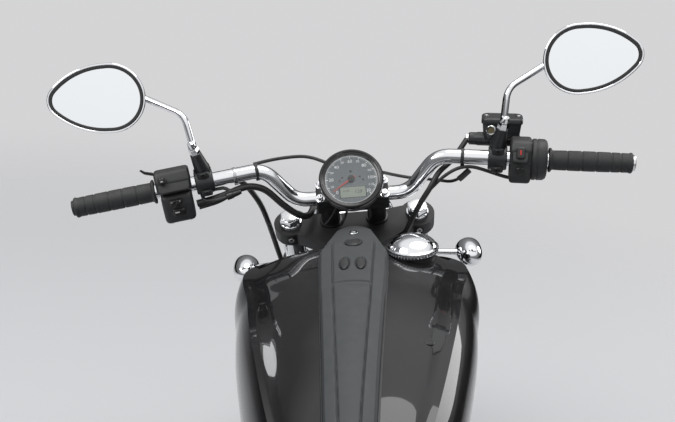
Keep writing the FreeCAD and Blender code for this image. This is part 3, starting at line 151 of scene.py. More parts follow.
# Studio
# A pale floor fades into an even backdrop under a soft overhead light, a large key from the left and
# a weaker fill from the right rear. What gloss reflects is pale overhead and high behind, and
# darker low down.
FLOOR_HALF = 12.0
FLOOR_FADES = (1.3, 4.4)
BACKDROP = (0.66, 0.66, 0.67, 1)
REAR_PANEL = 0.56
LAMPS = (
    # name, place, aims at, size, watts
    ("key", (-1.2, 3.2, 3.6), (0.1, 0.0, 0.5), 2.6, 86.0),
    ("overhead", (0.6, -0.4, 4.2), (0.1, 0.0, 0.4), 3.0, 66.0),
    ("fill", (2.6, -3.4, 2.2), (0.1, 0.0, 0.5), 2.2, 40.0),
)


def feed(tree, node, inputs):
    """Set a shader node's inputs to values, or link them to other nodes' outputs."""
    for key, value in inputs.items():
        if isinstance(value, bpy.types.NodeSocket):
            tree.links.new(value, node.inputs[key])
        else:
            node.inputs[key].default_value = value


def shade(tree, kind, inputs=None, **traits):
    """Outputs of a new shader node with some traits and inputs."""
    node = tree.nodes.new("ShaderNode" + kind)
    for key, value in traits.items():
        setattr(node, key, value)
    feed(tree, node, inputs or {})
    return node.outputs


def painted(name):
    """New material, its node tree and its shader."""
    material = bpy.data.materials.new(name)
    material.use_nodes = True
    return material, material.node_tree, material.node_tree.nodes["Principled BSDF"]


scene.view_settings.view_transform = "Standard"
for name, place, aim, size, watts in LAMPS:
    lamp = bpy.data.lights.new(name, "AREA")
    lamp.shape = "DISK"
    lamp.size = size
    lamp.energy = watts
    holder = bpy.data.objects.new(name, lamp)
    back = unit(np.array(place) - np.array(aim))
    side = unit(np.cross([0.0, 0.0, 1.0], back))
    stand = np.eye(4)
    stand[:3, 0], stand[:3, 1], stand[:3, 2], stand[:3, 3] = side, np.cross(back, side), back, place
    holder.matrix_world = Matrix(stand.tolist())
    scene.collection.objects.link(holder)

world = bpy.data.worlds.new("studio")
scene.world = world
world.use_nodes = True
air = world.node_tree
air.nodes.clear()
sky_height = shade(air, "SeparateXYZ", {0: shade(air, "TexCoord")["Generated"]})
sky_behind = shade(air, "Math", {0: sky_height["X"], 1: 0.0}, operation="MINIMUM")[0]
sky_value = shade(air, "Math", {0: sky_behind, 1: -REAR_PANEL, 2: sky_height["Z"]}, operation="MULTIPLY_ADD")[0]
sky_ramp = air.nodes.new("ShaderNodeValToRGB")
for place, tone in ((0.0, 0.12), (0.34, 0.17), (0.56, 0.26), (0.7, 0.86), (1.0, 1.0)):
    stop = sky_ramp.color_ramp.elements.new(place)
    stop.color = (tone, tone * 1.01, tone * 1.03, 1)
sky_ramp.color_ramp.elements.remove(sky_ramp.color_ramp.elements[-1])
air.links.new(sky_value, sky_ramp.inputs[0])
sky_seen = shade(air, "Background", {"Color": sky_ramp.outputs[0]})[0]
sky_back = shade(air, "Background", {"Color": BACKDROP})[0]
sky_light = shade(air, "Background", {"Color": (0.93, 0.96, 1.0, 1), "Strength": 0.34})[0]
sky_ray = shade(air, "LightPath")
sky_either = shade(air, "Math", {0: sky_ray["Is Glossy Ray"], 1: sky_ray["Is Transmission Ray"]},
    operation="MAXIMUM")[0]
sky_gloss = shade(air, "MixShader", {0: sky_either, 1: sky_light, 2: sky_seen})[0]
sky_camera = shade(air, "MixShader", {0: sky_ray["Is Camera Ray"], 1: sky_gloss, 2: sky_back})[0]
shade(air, "OutputWorld", {0: sky_camera})

floor_mesh = bpy.data.meshes.new("floor")
floor_mesh.from_pydata([(x * FLOOR_HALF, y * FLOOR_HALF, 0) for x, y in ((-1, -1), (1, -1), (1, 1), (-1, 1))], [],
    [(0, 1, 2, 3)])
floor = bpy.data.objects.new("floor", floor_mesh)
floor_paint, paper, paper_shader = painted("floor")
floor_far = shade(paper, "VectorMath", {0: shade(paper, "TexCoord")["Object"]}, operation="LENGTH")["Value"]
floor_fade = shade(paper, "MapRange", {0: floor_far, "From Min": FLOOR_FADES[0], "From Max": FLOOR_FADES[1]},
    interpolation_type="SMOOTHSTEP")[0]
floor_mix = shade(paper, "MixShader", {0: floor_fade, 1: paper_shader.outputs[0],
    2: shade(paper, "BsdfTransparent")[0]})[0]
feed(paper, paper_shader, {"Base Color": (0.72, 0.72, 0.73, 1), "Roughness": 0.9})
feed(paper, paper.nodes["Material Output"], {0: floor_mix})
floor_mesh.materials.append(floor_paint)
scene.collection.objects.link(floor)

# Cast frame
# Two satin black aluminium castings bolt together under the tank: the neck with the radiator
# cheeks, and the rear part with the saddle rails. Their edges are broken, and the paint is powder.
CASTING_EDGE = 0.0016
MERGE = 2e-6
SMOOTH_UNDER = math.radians(32)


def surface_group():
    """Shader group for a worked surface: a coarse noise varies roughness and colour a little, and
    a fine one is its grain as a bump. Dust settles on what faces up."""
    group = bpy.data.node_groups.new("worked surface", "ShaderNodeTree")
    for name, kind, value in (("Colour", "Color", (0.5, 0.5, 0.5, 1)), ("Roughness", "Float", 0.4),
            ("Patch scale", "Float", 14.0), ("Patch spread", "Float", 0.06), ("Grain scale", "Float", 900.0),
            ("Grain height", "Float", 0.00004), ("Dust", "Float", 0.05), ("Stretch", "Vector", (1, 1, 1))):
        group.interface.new_socket(name, in_out="INPUT", socket_type="NodeSocket" + kind).default_value = value
    for name, kind in (("Colour", "Color"), ("Roughness", "Float"), ("Normal", "Vector")):
        group.interface.new_socket(name, in_out="OUTPUT", socket_type="NodeSocket" + kind)
    given = group.nodes.new("NodeGroupInput").outputs
    place = shade(group, "TexCoord")["Object"]
    patch = shade(group, "TexNoise", {"Scale": given["Patch scale"], "Vector": place, "Detail": 5.0})["Fac"]
    stretched = shade(group, "VectorMath", {0: place, 1: given["Stretch"]}, operation="MULTIPLY")[0]
    grain = shade(group, "TexNoise", {"Scale": given["Grain scale"], "Vector": stretched, "Detail": 3.0})["Fac"]
    dusty = shade(group, "TexNoise", {"Scale": 60.0, "Detail": 6.0, "Vector": place})["Fac"]
    centred = shade(group, "Math", {0: patch, 1: 0.5}, operation="SUBTRACT")[0]
    rough = shade(group, "Math", {0: centred, 1: given["Patch spread"], 2: given["Roughness"]},
        operation="MULTIPLY_ADD", use_clamp=True)[0]
    bump = shade(group, "Bump", {"Height": grain, "Distance": given["Grain height"]})[0]
    rise = shade(group, "SeparateXYZ", {0: shade(group, "NewGeometry")["Normal"]})["Z"]
    settled = shade(group, "MapRange", {"From Min": 0.2, "From Max": 1.0, "Value": rise})[0]
    cover = shade(group, "Math", {0: settled, 1: dusty}, operation="MULTIPLY")[0]
    film = shade(group, "Math", {0: cover, 1: given["Dust"]}, operation="MULTIPLY", use_clamp=True)[0]
    dusted = shade(group, "Mix", {"B": (0.32, 0.3, 0.27, 1), "Factor": film, "A": given["Colour"]},
        data_type="RGBA")["Result"]
    feed(group, group.nodes.new("NodeGroupOutput"), {"Colour": dusted, "Roughness": rough, "Normal": bump})
    return group


worked_surface = surface_group()


def finish(name, colour, roughness, metallic=0.0, coat=0.0, specular=0.5, **wear):
    """Material on the worked surface group. Wear names the group's own inputs, with underscores
    for spaces, and coat is a clear layer's weight."""
    material, tree, shader = painted(name)
    surface = tree.nodes.new("ShaderNodeGroup")
    surface.node_tree = worked_surface
    wear = {key.replace("_", " ").capitalize(): value for key, value in wear.items()}
    feed(tree, surface, {"Colour": (*colour, 1), "Roughness": roughness, **wear})
    feed(tree, shader, {"Metallic": metallic, "Coat Weight": coat, "Coat Roughness": 0.03,
        "Specular IOR Level": specular, "Base Color": surface.outputs["Colour"],
        "Roughness": surface.outputs["Roughness"], "Normal": surface.outputs["Normal"]})
    return material


def hold(obj, body, slot, *replaced):
    """The piece rides on its body and stands for solids, which are hidden. Its slot is not used."""
    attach(obj, body)
    if replaced:
        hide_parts(*replaced)
    return obj


def finished(name, mesh, source, materials, edge, steps, under, outwards=True):
    """Object whose mesh is a source's, merged and turned outwards. Flats are joined to whole faces and
    edges sharper than an angle get a small round if asked, and it is shaded smooth between them."""
    form = bmesh.new()
    form.from_mesh(source)
    bmesh.ops.remove_doubles(form, verts=form.verts, dist=MERGE)
    bmesh.ops.dissolve_degenerate(form, edges=form.edges, dist=MERGE)
    if outwards:
        bmesh.ops.recalc_face_normals(form, faces=form.faces)
    if edge:
        bmesh.ops.dissolve_limit(form, angle_limit=math.radians(0.6), verts=form.verts, edges=form.edges,
            delimit={"MATERIAL"})
        sharp = [e for e in form.edges if e.is_manifold and e.calc_face_angle(0) > under and e.calc_length() > edge]
        bmesh.ops.bevel(form, geom=sharp, offset=edge, offset_type="OFFSET", segments=steps, profile=0.5,
            affect="EDGES", clamp_overlap=True)
    form.to_mesh(mesh)
    form.free()
    mesh.shade_smooth()
    mesh.set_sharp_from_angle(angle=under)
    for material in materials if isinstance(materials, (list, tuple)) else [materials]:
        mesh.materials.append(material)
    obj = bpy.data.objects.new(name, mesh)
    scene.collection.objects.link(obj)
    return obj


def body_of(node):
    """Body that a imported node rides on."""
    return frame["nodes"][node]["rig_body"]


def dressed(node, name, material, slot, edge=0.0, steps=2):
    """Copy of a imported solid's mesh as a piece of its own."""
    source = frame["nodes"][node].data
    obj = finished(name, bpy.data.meshes.new(name), source, material, edge, steps, SMOOTH_UNDER, outwards=False)
    return hold(obj, body_of(node), slot, node)


satin_black = finish("satin black powder", (0.015, 0.0155, 0.017), 0.42, specular=0.32, patch_spread=0.1,
    grain_scale=1500.0, grain_height=0.00003, dust=0.06)
dressed("frame_front", "neck_casting", satin_black, "satin_black", CASTING_EDGE)
dressed("frame_rear", "rear_casting", satin_black, "satin_black", CASTING_EDGE)
dressed("swingarm", "swinging_arm", satin_black, "satin_black", 0.003, 3)


# Engine
# A liquid-cooled V-twin: a cast aluminium case split down its middle, two finned cylinders at 60
# degrees, and side covers held by socket screws. The fins' rims are machined bright after painting.
CRANK = np.array([0.8, 0.0, 0.33])
V_HALF = math.radians(30.0)
CASE_HALF = 0.0843
FINS = 11
FIN_FROM, FIN_TO = 0.142, 0.236
COVER_SCREW_R = 0.0042


def pairs(*sizes, start=(0, 0)):
    """Sizes in millimetres, two and two, as points in metres counted from a start."""
    return (np.reshape(sizes, (-1, 2)) / 1000 + start).tolist()


def around(count):
    """Angles in even steps round a circle."""
    return np.linspace(0, 2 * np.pi, count, endpoint=False)


def sheet_faces(rows, cols, round_rows=False, round_cols=False):
    """Quads between neighbouring points of a grid that is stored row by row."""
    i, j = np.meshgrid(np.arange(rows if round_rows else rows - 1), np.arange(cols if round_cols else cols - 1),
        indexing="ij")
    up, on = (i + 1) % rows, (j + 1) % cols
    return np.stack([i * cols + j, i * cols + on, up * cols + on, up * cols + j], -1).reshape(-1, 4).tolist()


def stacked(rings, closed=False):
    """Closed form through rings of points. Its ends are flat faces, or its last ring meets its first."""
    rings = np.asarray(rings, float)
    rows, cols = rings.shape[:2]
    faces = sheet_faces(rows, cols, round_rows=closed, round_cols=True)
    if not closed:
        faces += [list(range(cols)), list(range((rows - 1) * cols, rows * cols))]
    return rings.reshape(-1, 3), faces


def turned(profile, centre, axis, sides=48, closed=False):
    """Profile of radius and height turned about an axis: centre + height * axis + radius * (cos, sin)
    across it. It starts and ends at radius 0, or meets itself where closed."""
    k = unit(axis)
    a = unit(np.cross(k, [0.31, 0.22, 0.92]))
    t = around(sides)[:, None]
    ring = np.cos(t) * a + np.sin(t) * np.cross(k, a)
    p = np.asarray(profile, float)
    points = np.asarray(centre, float) + p[:, 1, None, None] * k + p[:, 0, None, None] * ring
    return points.reshape(-1, 3), sheet_faces(len(p), sides, round_rows=closed, round_cols=True)


def tube(path, radius, sides=16, flat=1.0):
    """Tube along a path: each point plus radius * (cos, flat * sin) in the plane across the path.
    The planes are set from the direction that the path uses least."""
    p = np.asarray(path, float)
    d = unit(np.gradient(p, axis=0))
    spare = np.linalg.svd(d)[2][-1]
    a = unit(np.cross(d, spare))
    b = np.cross(d, a)
    t = around(sides)[:, None]
    r = np.broadcast_to(radius, len(p))[:, None, None]
    return stacked(p[:, None] + r * (np.cos(t) * a[:, None] + flat * np.sin(t) * b[:, None]))


def runs(points, bend, steps=8):
    """Path of straight runs whose corners are parabolas, tangent to both runs."""
    p = np.asarray(points, float)
    ahead = np.diff(p, axis=0)
    length = np.linalg.norm(ahead, axis=1)
    way = ahead / length[:, None]
    half = np.arccos(np.clip((way[:-1] * way[1:]).sum(1), -1, 1)) / 2
    back = np.minimum(bend * np.tan(half), 0.48 * np.minimum(length[:-1], length[1:]))[:, None, None]
    t = np.linspace(0, 1, steps)[None, :, None]
    at = p[1:-1, None]
    curve = (1 - t) ** 2 * (at - back * way[:-1, None]) + 2 * t * (1 - t) * at + t ** 2 * (at + back * way[1:, None])
    return np.vstack([p[:1], curve.reshape(-1, 3), p[-1:]])


def rounded(corners, radius, steps=5):
    """Closed outline whose corners are parabolas, tangent to both sides."""
    p = np.asarray(corners, float)
    ahead = np.roll(p, -1, axis=0) - p
    length = np.linalg.norm(ahead, axis=1)
    way = ahead / length[:, None]
    before = np.roll(way, 1, axis=0)
    half = np.arccos(np.clip((before * way).sum(1), -1, 1)) / 2
    back = np.minimum(radius * np.tan(half), 0.48 * np.minimum(length, np.roll(length, 1)))[:, None, None]
    t = np.linspace(0, 1, steps)[None, :, None]
    at = p[:, None]
    curve = (1 - t) ** 2 * (at - back * before[:, None]) + 2 * t * (1 - t) * at + t ** 2 * (at + back * way[:, None])
    return curve.reshape(-1, p.shape[1])


def slab(corners, low, high, radius=0.0, across=1):
    """Plate with rounded corners, from its outline in two axes, between two values of the third."""
    line = rounded(corners, radius) if radius else np.asarray(corners, float)
    return stacked([np.insert(line, across, level, axis=1) for level in (low, high)])


def repeated(shape, places):
    """Copies of a small shape at each place."""
    points, faces = shape
    places = np.asarray(places, float)
    many = [[start + i for i in face] for start in range(0, len(points) * len(places), len(points)) for face in faces]
    return (places[:, None] + points[None]).reshape(-1, 3), many


def screw(axis, radius, height, sides=12):
    """Head of a socket screw: a chamfered drum with a six-sided well."""
    return turned([(0, 0), (radius, 0), (radius, height * 0.8), (radius * 0.85, height), (radius * 0.5, height),
        (radius * 0.46, height * 0.35), (0, height * 0.35)], (0, 0, 0), axis, sides)


def hexagon(axis, radius, height):
    """Six-sided bolt head on a washer face."""
    points, faces = turned([(0, 0), (radius * 1.2, 0), (radius * 1.2, height * 0.15), (0, height * 0.15)], (0, 0, 0),
        axis, 12)
    head, more = turned([(0, height * 0.1), (radius, height * 0.1), (radius, height * 0.85), (radius * 0.8, height),
        (0, height)], (0, 0, 0), axis, 6)
    return np.vstack([points, head]), faces + [[i + len(points) for i in face] for face in more]


def coated(number, *shapes):
    """Shapes in one of their piece's materials."""
    return [(*shape, number) for shape in shapes]


def made(name, shapes, materials, slot, body, *replaced, edge=0.0, steps=2, place=upright, under=SMOOTH_UNDER):
    """A piece from shapes of points, faces and perhaps the number of their material: set in its place,
    merged, turned outwards, and its sharp edges broken if asked."""
    points, faces, paints = [], [], []
    for verts, near, *paint in shapes:
        start = sum(map(len, points))
        points.append(verts)
        faces += [[start + i for i in face] for face in near]
        paints += [paint[0] if paint else 0] * len(near)
    mesh = bpy.data.meshes.new(name)
    mesh.from_pydata(place(np.vstack(points)).tolist(), [], faces)
    mesh.polygons.foreach_set("material_index", paints)
    return hold(finished(name, mesh, mesh, materials, edge, steps, under), body, slot, *replaced)


engine_paint = finish("engine black wrinkle paint", (0.03, 0.031, 0.033), 0.46, patch_spread=0.12, grain_scale=700.0,
    grain_height=0.00012, dust=0.12)
cast_grey = finish("cast aluminium", (0.46, 0.47, 0.48), 0.38, 0.9, patch_spread=0.14, grain_scale=900.0,
    grain_height=0.00008, dust=0.1)
machined = finish("machined aluminium", (0.72, 0.73, 0.74), 0.22, 1.0, patch_spread=0.1, grain_scale=1400.0,
    grain_height=0.00002, dust=0.06)
chrome = finish("chrome plate", (0.86, 0.87, 0.89), 0.055, 1.0, patch_spread=0.03, grain_height=0.0, dust=0.05)
zinc_screw = finish("zinc plated screw", (0.55, 0.55, 0.56), 0.28, 1.0, patch_spread=0.16, grain_height=0.00001)
black_screw = finish("blackened screw", (0.035, 0.035, 0.037), 0.3, 0.6, patch_spread=0.12, grain_height=0.00001)

chassis = body_of("crankcase")
dressed("crankcase", "crankcase_casting", engine_paint, "engine_grey", 0.003, 3)
case_screws = repeated(screw((0, 1, 0), COVER_SCREW_R, 0.006), [(x, CASE_HALF, z)
    for x, z in pairs(955, 395, 985, 300, 962, 205, 700, 455, 860, 456)])
sump_plug = repeated(hexagon((0, 0, -1), 0.009, 0.007), [(0.78, 0.02, 0.1402)])
seam = slab(pairs(628, 400, 700, 440, 870, 472, 968, 424, 1001.5, 300, 981.5, 188, 901.5, 138, 718, 138, 636, 178),
    -0.0018, 0.0018, 0.012)
made("case_fixings", [case_screws, sump_plug, seam], zinc_screw, "steel", chassis)


def rounded_box(half_x, half_y, radius, steps=6):
    """Outline of a box with round corners, as pairs of X and Y."""
    return rounded([(-half_x, -half_y), (half_x, -half_y), (half_x, half_y), (-half_x, half_y)], radius * 2.2, steps)


def leaned(angle):
    """Rows that carry points into a forward lean about Y."""
    c, s = math.cos(angle), math.sin(angle)
    return np.array([[c, 0, -s], [0, 1, 0], [s, 0, c]])


def level_ring(outline, height):
    """An outline of X and Y at a height."""
    return np.insert(outline, 2, height, axis=1)


def finned_barrel():
    """Barrel and fins in one form: the outline steps from the wall to a fin's rim and back. The
    fins grow towards the middle and shrink at the ends, and the rims are a material of their own."""
    wall = rounded_box(0.056, 0.064, 0.018)
    rings, rims = [level_ring(wall, 0.132)], []
    pitch = (FIN_TO - FIN_FROM) / FINS
    for number in range(FINS):
        low = FIN_FROM + number * pitch
        swell = 0.0115 + 0.0025 * math.sin(math.pi * (number + 0.5) / FINS)
        rim = rounded_box(0.056 + swell, 0.064 + swell, 0.026)
        rims.append(len(rings) + 1)
        rings += [level_ring(wall, low), level_ring(rim, low + 0.0012), level_ring(rim, low + 0.004),
            level_ring(wall, low + 0.0052)]
    rings.append(level_ring(wall, 0.2385))
    points, faces = stacked(rings)
    cols = len(wall)
    bright = [face for face in faces if len(face) == 4 and face[0] // cols in rims]
    dull = [face for face in faces if not (len(face) == 4 and face[0] // cols in rims)]
    return [(points, dull, 0), (points, bright, 1)]


def head_forms():
    """Head with three deep fins, its gasket, and the rocker cover with a raised, machined middle."""
    outer, inner = rounded_box(0.0715, 0.0815, 0.02), rounded_box(0.062, 0.072, 0.018)
    head = [level_ring(outer, 0.238), level_ring(outer, 0.248)]
    for low in (0.25, 0.262):
        head += [level_ring(inner, low), level_ring(inner, low + 0.0052), level_ring(outer, low + 0.0068),
            level_ring(outer, low + 0.0104)]
    head += [level_ring(outer, 0.282)]
    cover = []
    for grow, height in pairs(0, 282.2, 0, 290, -2, 292.2, -2, 308, -5, 313.5, -10, 315.8, -16, 316.2):
        cover.append(level_ring(rounded_box(0.06 + grow, 0.072 + grow, 0.016), height))
    plate = [level_ring(rounded_box(0.03 - cut, 0.046 - cut, 0.01), height)
        for cut, height in pairs(0, 315.5, 0, 317.2, 1, 317.9)]
    return [*coated(0, stacked(head)), *coated(2, stacked(cover)), *coated(1, stacked(plate))]


for name, lean in (("cylinder_front", V_HALF), ("cylinder_rear", -V_HALF)):
    head_screws = repeated(screw((0, 0, 1), 0.0048, 0.006), [(x, y, 0.2885) for x in (-0.064, 0.064)
        for y in (-0.066, 0.0, 0.066)])
    cover_screws = repeated(screw((0, 0, 1), 0.004, 0.0045),
        [(x, y, 0.3135) for x in (-0.044, 0.044) for y in (-0.054, 0.054)])
    plug = turned(pairs(0, 0, 13, 0, 13, 6, 8.5, 7, 7.5, 22, 0, 24), (0.0, 0.0805, 0.262), (0, 1, 0.0), 20)
    lugs = repeated(turned(pairs(0, 0, 9, 0, 9, 6.5, 0, 6.5), (0, 0, 0), (0, 0, 1), 16),
        [(x, y, 0.2822) for x in (-0.064, 0.064) for y in (-0.066, 0.0, 0.066)])
    made(name + "_dressed", [*finned_barrel(), *head_forms(), *coated(3, head_screws, cover_screws), *coated(0, lugs),
        *coated(4, plug)], [engine_paint, machined, chrome, zinc_screw, black_screw], "engine_grey", chassis, name,
        place=lambda p, rows=leaned(lean): upright(CRANK + np.asarray(p) @ rows))

# Side covers of the engine
# Die-cast covers over the alternator and the clutch, each a low dome with a stepped rim, a ring
# groove and eight socket screws, and a ribbed plate over the belt's sprocket.


def triples(*sizes):
    """Sizes in millimetres, three and three, as points in metres."""
    return (np.reshape(sizes, (-1, 3)) / 1000).tolist()


def oblong(low_x, low_z, high_x, high_z, start=(0, 0)):
    """Corners of an oblong, in millimetres from a start."""
    return pairs(low_x, low_z, high_x, low_z, high_x, high_z, low_x, high_z, start=start)


def round_cover(centre, side, radius, top, groove, dome):
    """Cover as a profile turned about its middle, out to one side of the engine."""
    rim = pairs(0, 0, 0, 10, -2, 12, -4, 12, -6, 14, start=(radius, 0))
    wall = pairs(-8, -12, -11, -5, -18, -1, -26, 0, start=(radius, top))
    ring = pairs(4, 0, 3, -2, 0, -2, -1, 0, start=(groove, top))
    middle = [(groove - 0.006, top + dome * 0.35), (groove * 0.7, top + dome * 0.8),
        (groove * 0.35, top + dome * 0.96), (0, top + dome)]
    return turned([(0, 0), *rim, *wall, *ring, *middle], (centre[0], side * CASE_HALF, centre[1]), (0, side, 0), 72)


def ring_of(centre, radius, count, y, first=0.0):
    """Places on a circle in the upright plane."""
    t = np.radians(first) + around(count)
    return np.stack([centre[0] + radius * np.cos(t), np.full(count, y), centre[1] + radius * np.sin(t)], -1)


left_cover = round_cover((0.85, 0.318), 1, 0.1118, 0.044, 0.07, 0.0095)
left_neck = turned(pairs(0, 0, 69.5, 0, 69.5, 30, 64, 38, 54, 39.8, 0, 39.8), (0.754, CASE_HALF, 0.318), (0, 1, 0),
    56)
right_cover = round_cover((0.8, 0.318), -1, 0.1178, 0.04, 0.075, 0.0115)
belt_plate = slab(pairs(700, 405, 570, 400, 560, 330, 570, 262, 700, 250), 0.122, 0.1355, 0.02)
belt_ribs = [slab(oblong(578, 290, 583, 372, start=(0.018 * i, 0)), 0.135, 0.1372) for i in range(6)]
belt_link = slab(oblong(690, 300, 720, 340), 0.0865, 0.1335)
cover_bolts = [repeated(screw((0, 1, 0), COVER_SCREW_R, 0.0052), ring_of((0.85, 0.318), 0.1035, 8, CASE_HALF + 0.0115,
    20)), repeated(screw((0, -1, 0), COVER_SCREW_R, 0.0052), ring_of((0.8, 0.318), 0.1095, 9, -CASE_HALF - 0.0115,
    10)), repeated(screw((0, 1, 0), COVER_SCREW_R, 0.005), triples(584, 134.5, 388, 584, 134.5, 272, 686, 134.5, 392,
    686, 134.5, 262))]
ribs = [turned([(r + 0.002, 0.0), (r + 0.002, 0.0016), (r - 0.002, 0.0016), (r - 0.002, 0.0)],
    (x, side * (CASE_HALF + top), 0.318), (0, side, 0), 64, closed=True)
    for x, side, top, r in ((0.85, 1, 0.0445, 0.048), (0.85, 1, 0.0475, 0.03), (0.8, -1, 0.042, 0.052),
    (0.8, -1, 0.0455, 0.033))]
filler = turned(pairs(0, 0, 18, 0, 18, 4, 15, 7, 15, 11, 12, 13, 0, 13), (0.853, -CASE_HALF - 0.0385, 0.392),
    (0, -1, 0), 24)
made("engine_side_covers", [*coated(0, left_cover, left_neck, right_cover, belt_plate), *coated(1, *ribs, *belt_ribs),
    *coated(0, belt_link), *coated(2, *cover_bolts), *coated(3, filler)],
    [cast_grey, machined, zinc_screw, black_screw], "engine_grey", chassis, "engine_covers", edge=0.0006, steps=1)

intake_screws = [repeated(screw((0, side, 0), 0.004, 0.0035), [(x, side * 0.1085, z)
    for x, z in pairs(800, 540, 762, 600, 838, 600, 800, 626)]) for side in (-1, 1)]
intake_badge = [turned(pairs(0, 0, 16, 0, 15.5, 2.2, 12, 3, 0, 3), (0.8, side * 0.1088, 0.588), (0, side, 0), 40)
    for side in (-1, 1)]
dressed("intake_cover", "intake_box", chrome, "chrome", 0.0025, 3)
made("intake_fixings", [*intake_screws, *intake_badge], [machined], "bare_metal", chassis)

# Exhaust
# Two chromed steel header pipes run down the right side into staggered silencers. Each has a flange
# with two nuts at its head, a slotted heat shield on two clamp bands, and a band at the silencer.
PIPE_R = 0.02
MUFFLER_R = 0.042
MUFFLER_Y = -0.216


def port(lean, x, y, z):
    """Point on a leaning cylinder and the direction away from its middle."""
    out = unit([x, y, 0.0])
    return CRANK + np.array([x, y, z]) @ leaned(lean), out @ leaned(lean)


def pipe_points():
    """Corners of both header pipes, from their ports to the silencers."""
    ahead, out = port(V_HALF, 0.072, 0.0, 0.26)
    ahead = ahead + out * 0.0003 + np.array([0, -0.04, 0])
    front = [ahead, ahead + out * 0.044, (1.04, -0.15, 0.445), (1.012, -0.206, 0.335), (0.93, MUFFLER_Y, 0.24),
        (0.8, MUFFLER_Y, 0.222), (0.44, MUFFLER_Y, 0.222)]
    behind, away = port(-V_HALF, 0.0, -0.082, 0.26)
    behind = behind + away * 0.0003
    rear = [behind, behind + away * 0.062, (0.62, -0.206, 0.47), (0.57, MUFFLER_Y, 0.37), (0.5, MUFFLER_Y, 0.312),
        (0.42, MUFFLER_Y, 0.312)]
    return np.array(front), out, np.array(rear), away


def heat_shield(path, low, high, radius):
    """Curved shield over the outer half of a pipe: arcs about each point of the path, thickened inwards.
    The arc faces the machine's right."""
    p = path[low:high]
    d = unit(np.gradient(p, axis=0))
    a = unit(np.array([0.0, -1.0, 0.0]) - (d @ np.array([0.0, -1.0, 0.0]))[:, None] * d)
    b = np.cross(d, a)
    t = np.linspace(-1.25, 1.25, 22)
    arc = np.concatenate([t, t[::-1]])[:, None]
    r = np.concatenate([np.full(22, radius), np.full(22, radius - 0.0015)])[:, None]
    taper = np.sin(np.linspace(0.35, np.pi - 0.35, len(p))) ** 0.3
    t2 = arc[None] * taper[:, None, None]
    return stacked(p[:, None] + r * (np.cos(t2) * a[:, None] + np.sin(t2) * b[:, None]))


def band(centre, axis, radius, width=0.01):
    """Clamp band about a pipe, with a small round at each edge."""
    w = width / 2
    return turned([(radius, -w), (radius + 0.0016, -w + 0.001), (radius + 0.002, 0), (radius + 0.0016, w - 0.001),
        (radius, w)], centre, axis, 36, closed=True)


front_corners, front_out, rear_corners, rear_out = pipe_points()
front_path, rear_path = runs(front_corners, 0.042, 14), runs(rear_corners, 0.042, 14)
shapes = coated(0, tube(front_path, PIPE_R, 28), tube(rear_path, PIPE_R, 28))
for corner, out in ((front_corners[0], front_out), (rear_corners[0], rear_out)):
    flange = turned([(PIPE_R, 0.003), (0.03, 0.003), (0.03, 0.01), (0.026, 0.012), (PIPE_R, 0.012)], corner, out, 40,
        closed=True)
    side = unit(np.cross(out, [0.2, 0.1, 1.0]))
    nuts = repeated(hexagon(out, 0.0062, 0.008), [corner + out * 0.0035 + side * s * 0.026 for s in (-1, 1)])
    ears = [turned(pairs(0, 3, 10, 3, 10, 9.5, 0, 9.5), corner + side * s * 0.026, out, 20) for s in (-1, 1)]
    shapes += [*coated(1, flange), *coated(2, nuts), *coated(1, *ears)]
shapes += coated(0, heat_shield(front_path, 44, 72, PIPE_R + 0.0052), heat_shield(rear_path, 30, 52, PIPE_R + 0.0052))
for path, spots in ((front_path, (46, 56, 69)), (rear_path, (33, 46))):
    for i in spots:
        shapes.append((*band(path[i], path[i + 1] - path[i], PIPE_R + 0.0056, 0.007), 1))
made("header_pipes", shapes, [chrome, machined, zinc_screw], "chrome", chassis, "exhaust_pipes")


def silencer(front, rear, height):
    """Silencer as one turned profile, from its inlet cone to the rolled outlet and the dark bore."""
    r, cone = MUFFLER_R, front - 0.07
    t = np.linspace(0, 1, 10)
    taper = [(0.022 + (r - 0.022) * (3 * k ** 2 - 2 * k ** 3), front - 0.07 * k) for k in t]
    profile = [(0, front), *taper, *pairs(0, -10, 0.2, -12, 0.2, -14, 0, -16, start=(r, cone)),
        *pairs(0, 22, -1, 20, -2, 16, -6, 3, -8, 0, start=(r, rear)),
        *pairs(22.5, 0, 20.5, 3, 19.5, 60, 0, 60, start=(0, rear))]
    return turned(profile, (0, MUFFLER_Y, height), (1, 0, 0), 64)


shapes = []
for front, rear, height in triples(439.7, -190, 222, 419.7, -110, 312):
    inlet, outlet = ((x, MUFFLER_Y, height) for x in (front - 0.008, rear + 0.11))
    shapes += [*coated(0, silencer(front, rear, height)), *coated(1, band(inlet, (1, 0, 0), 0.0225, 0.014),
        band(outlet, (1, 0, 0), MUFFLER_R, 0.016)), *coated(2, repeated(hexagon((0, 0, 1), 0.005, 0.006),
        [(front - 0.008, MUFFLER_Y, height + 0.0242)]))]
made("silencers", shapes, [chrome, machined, zinc_screw], "chrome", chassis, "mufflers")

# Wheels
# Cast aluminium wheels in satin black with five pairs of spokes, and road tyres whose rounded tread
# has slanting grooves. A machined lip runs round each rim.
FRONT_TYRE = dict(radius=0.32, half=0.065, bead=0.042)
REAR_TYRE = dict(radius=0.323, half=0.075, bead=0.056)
BEAD_R = 0.203
HUB_HALF = 0.062


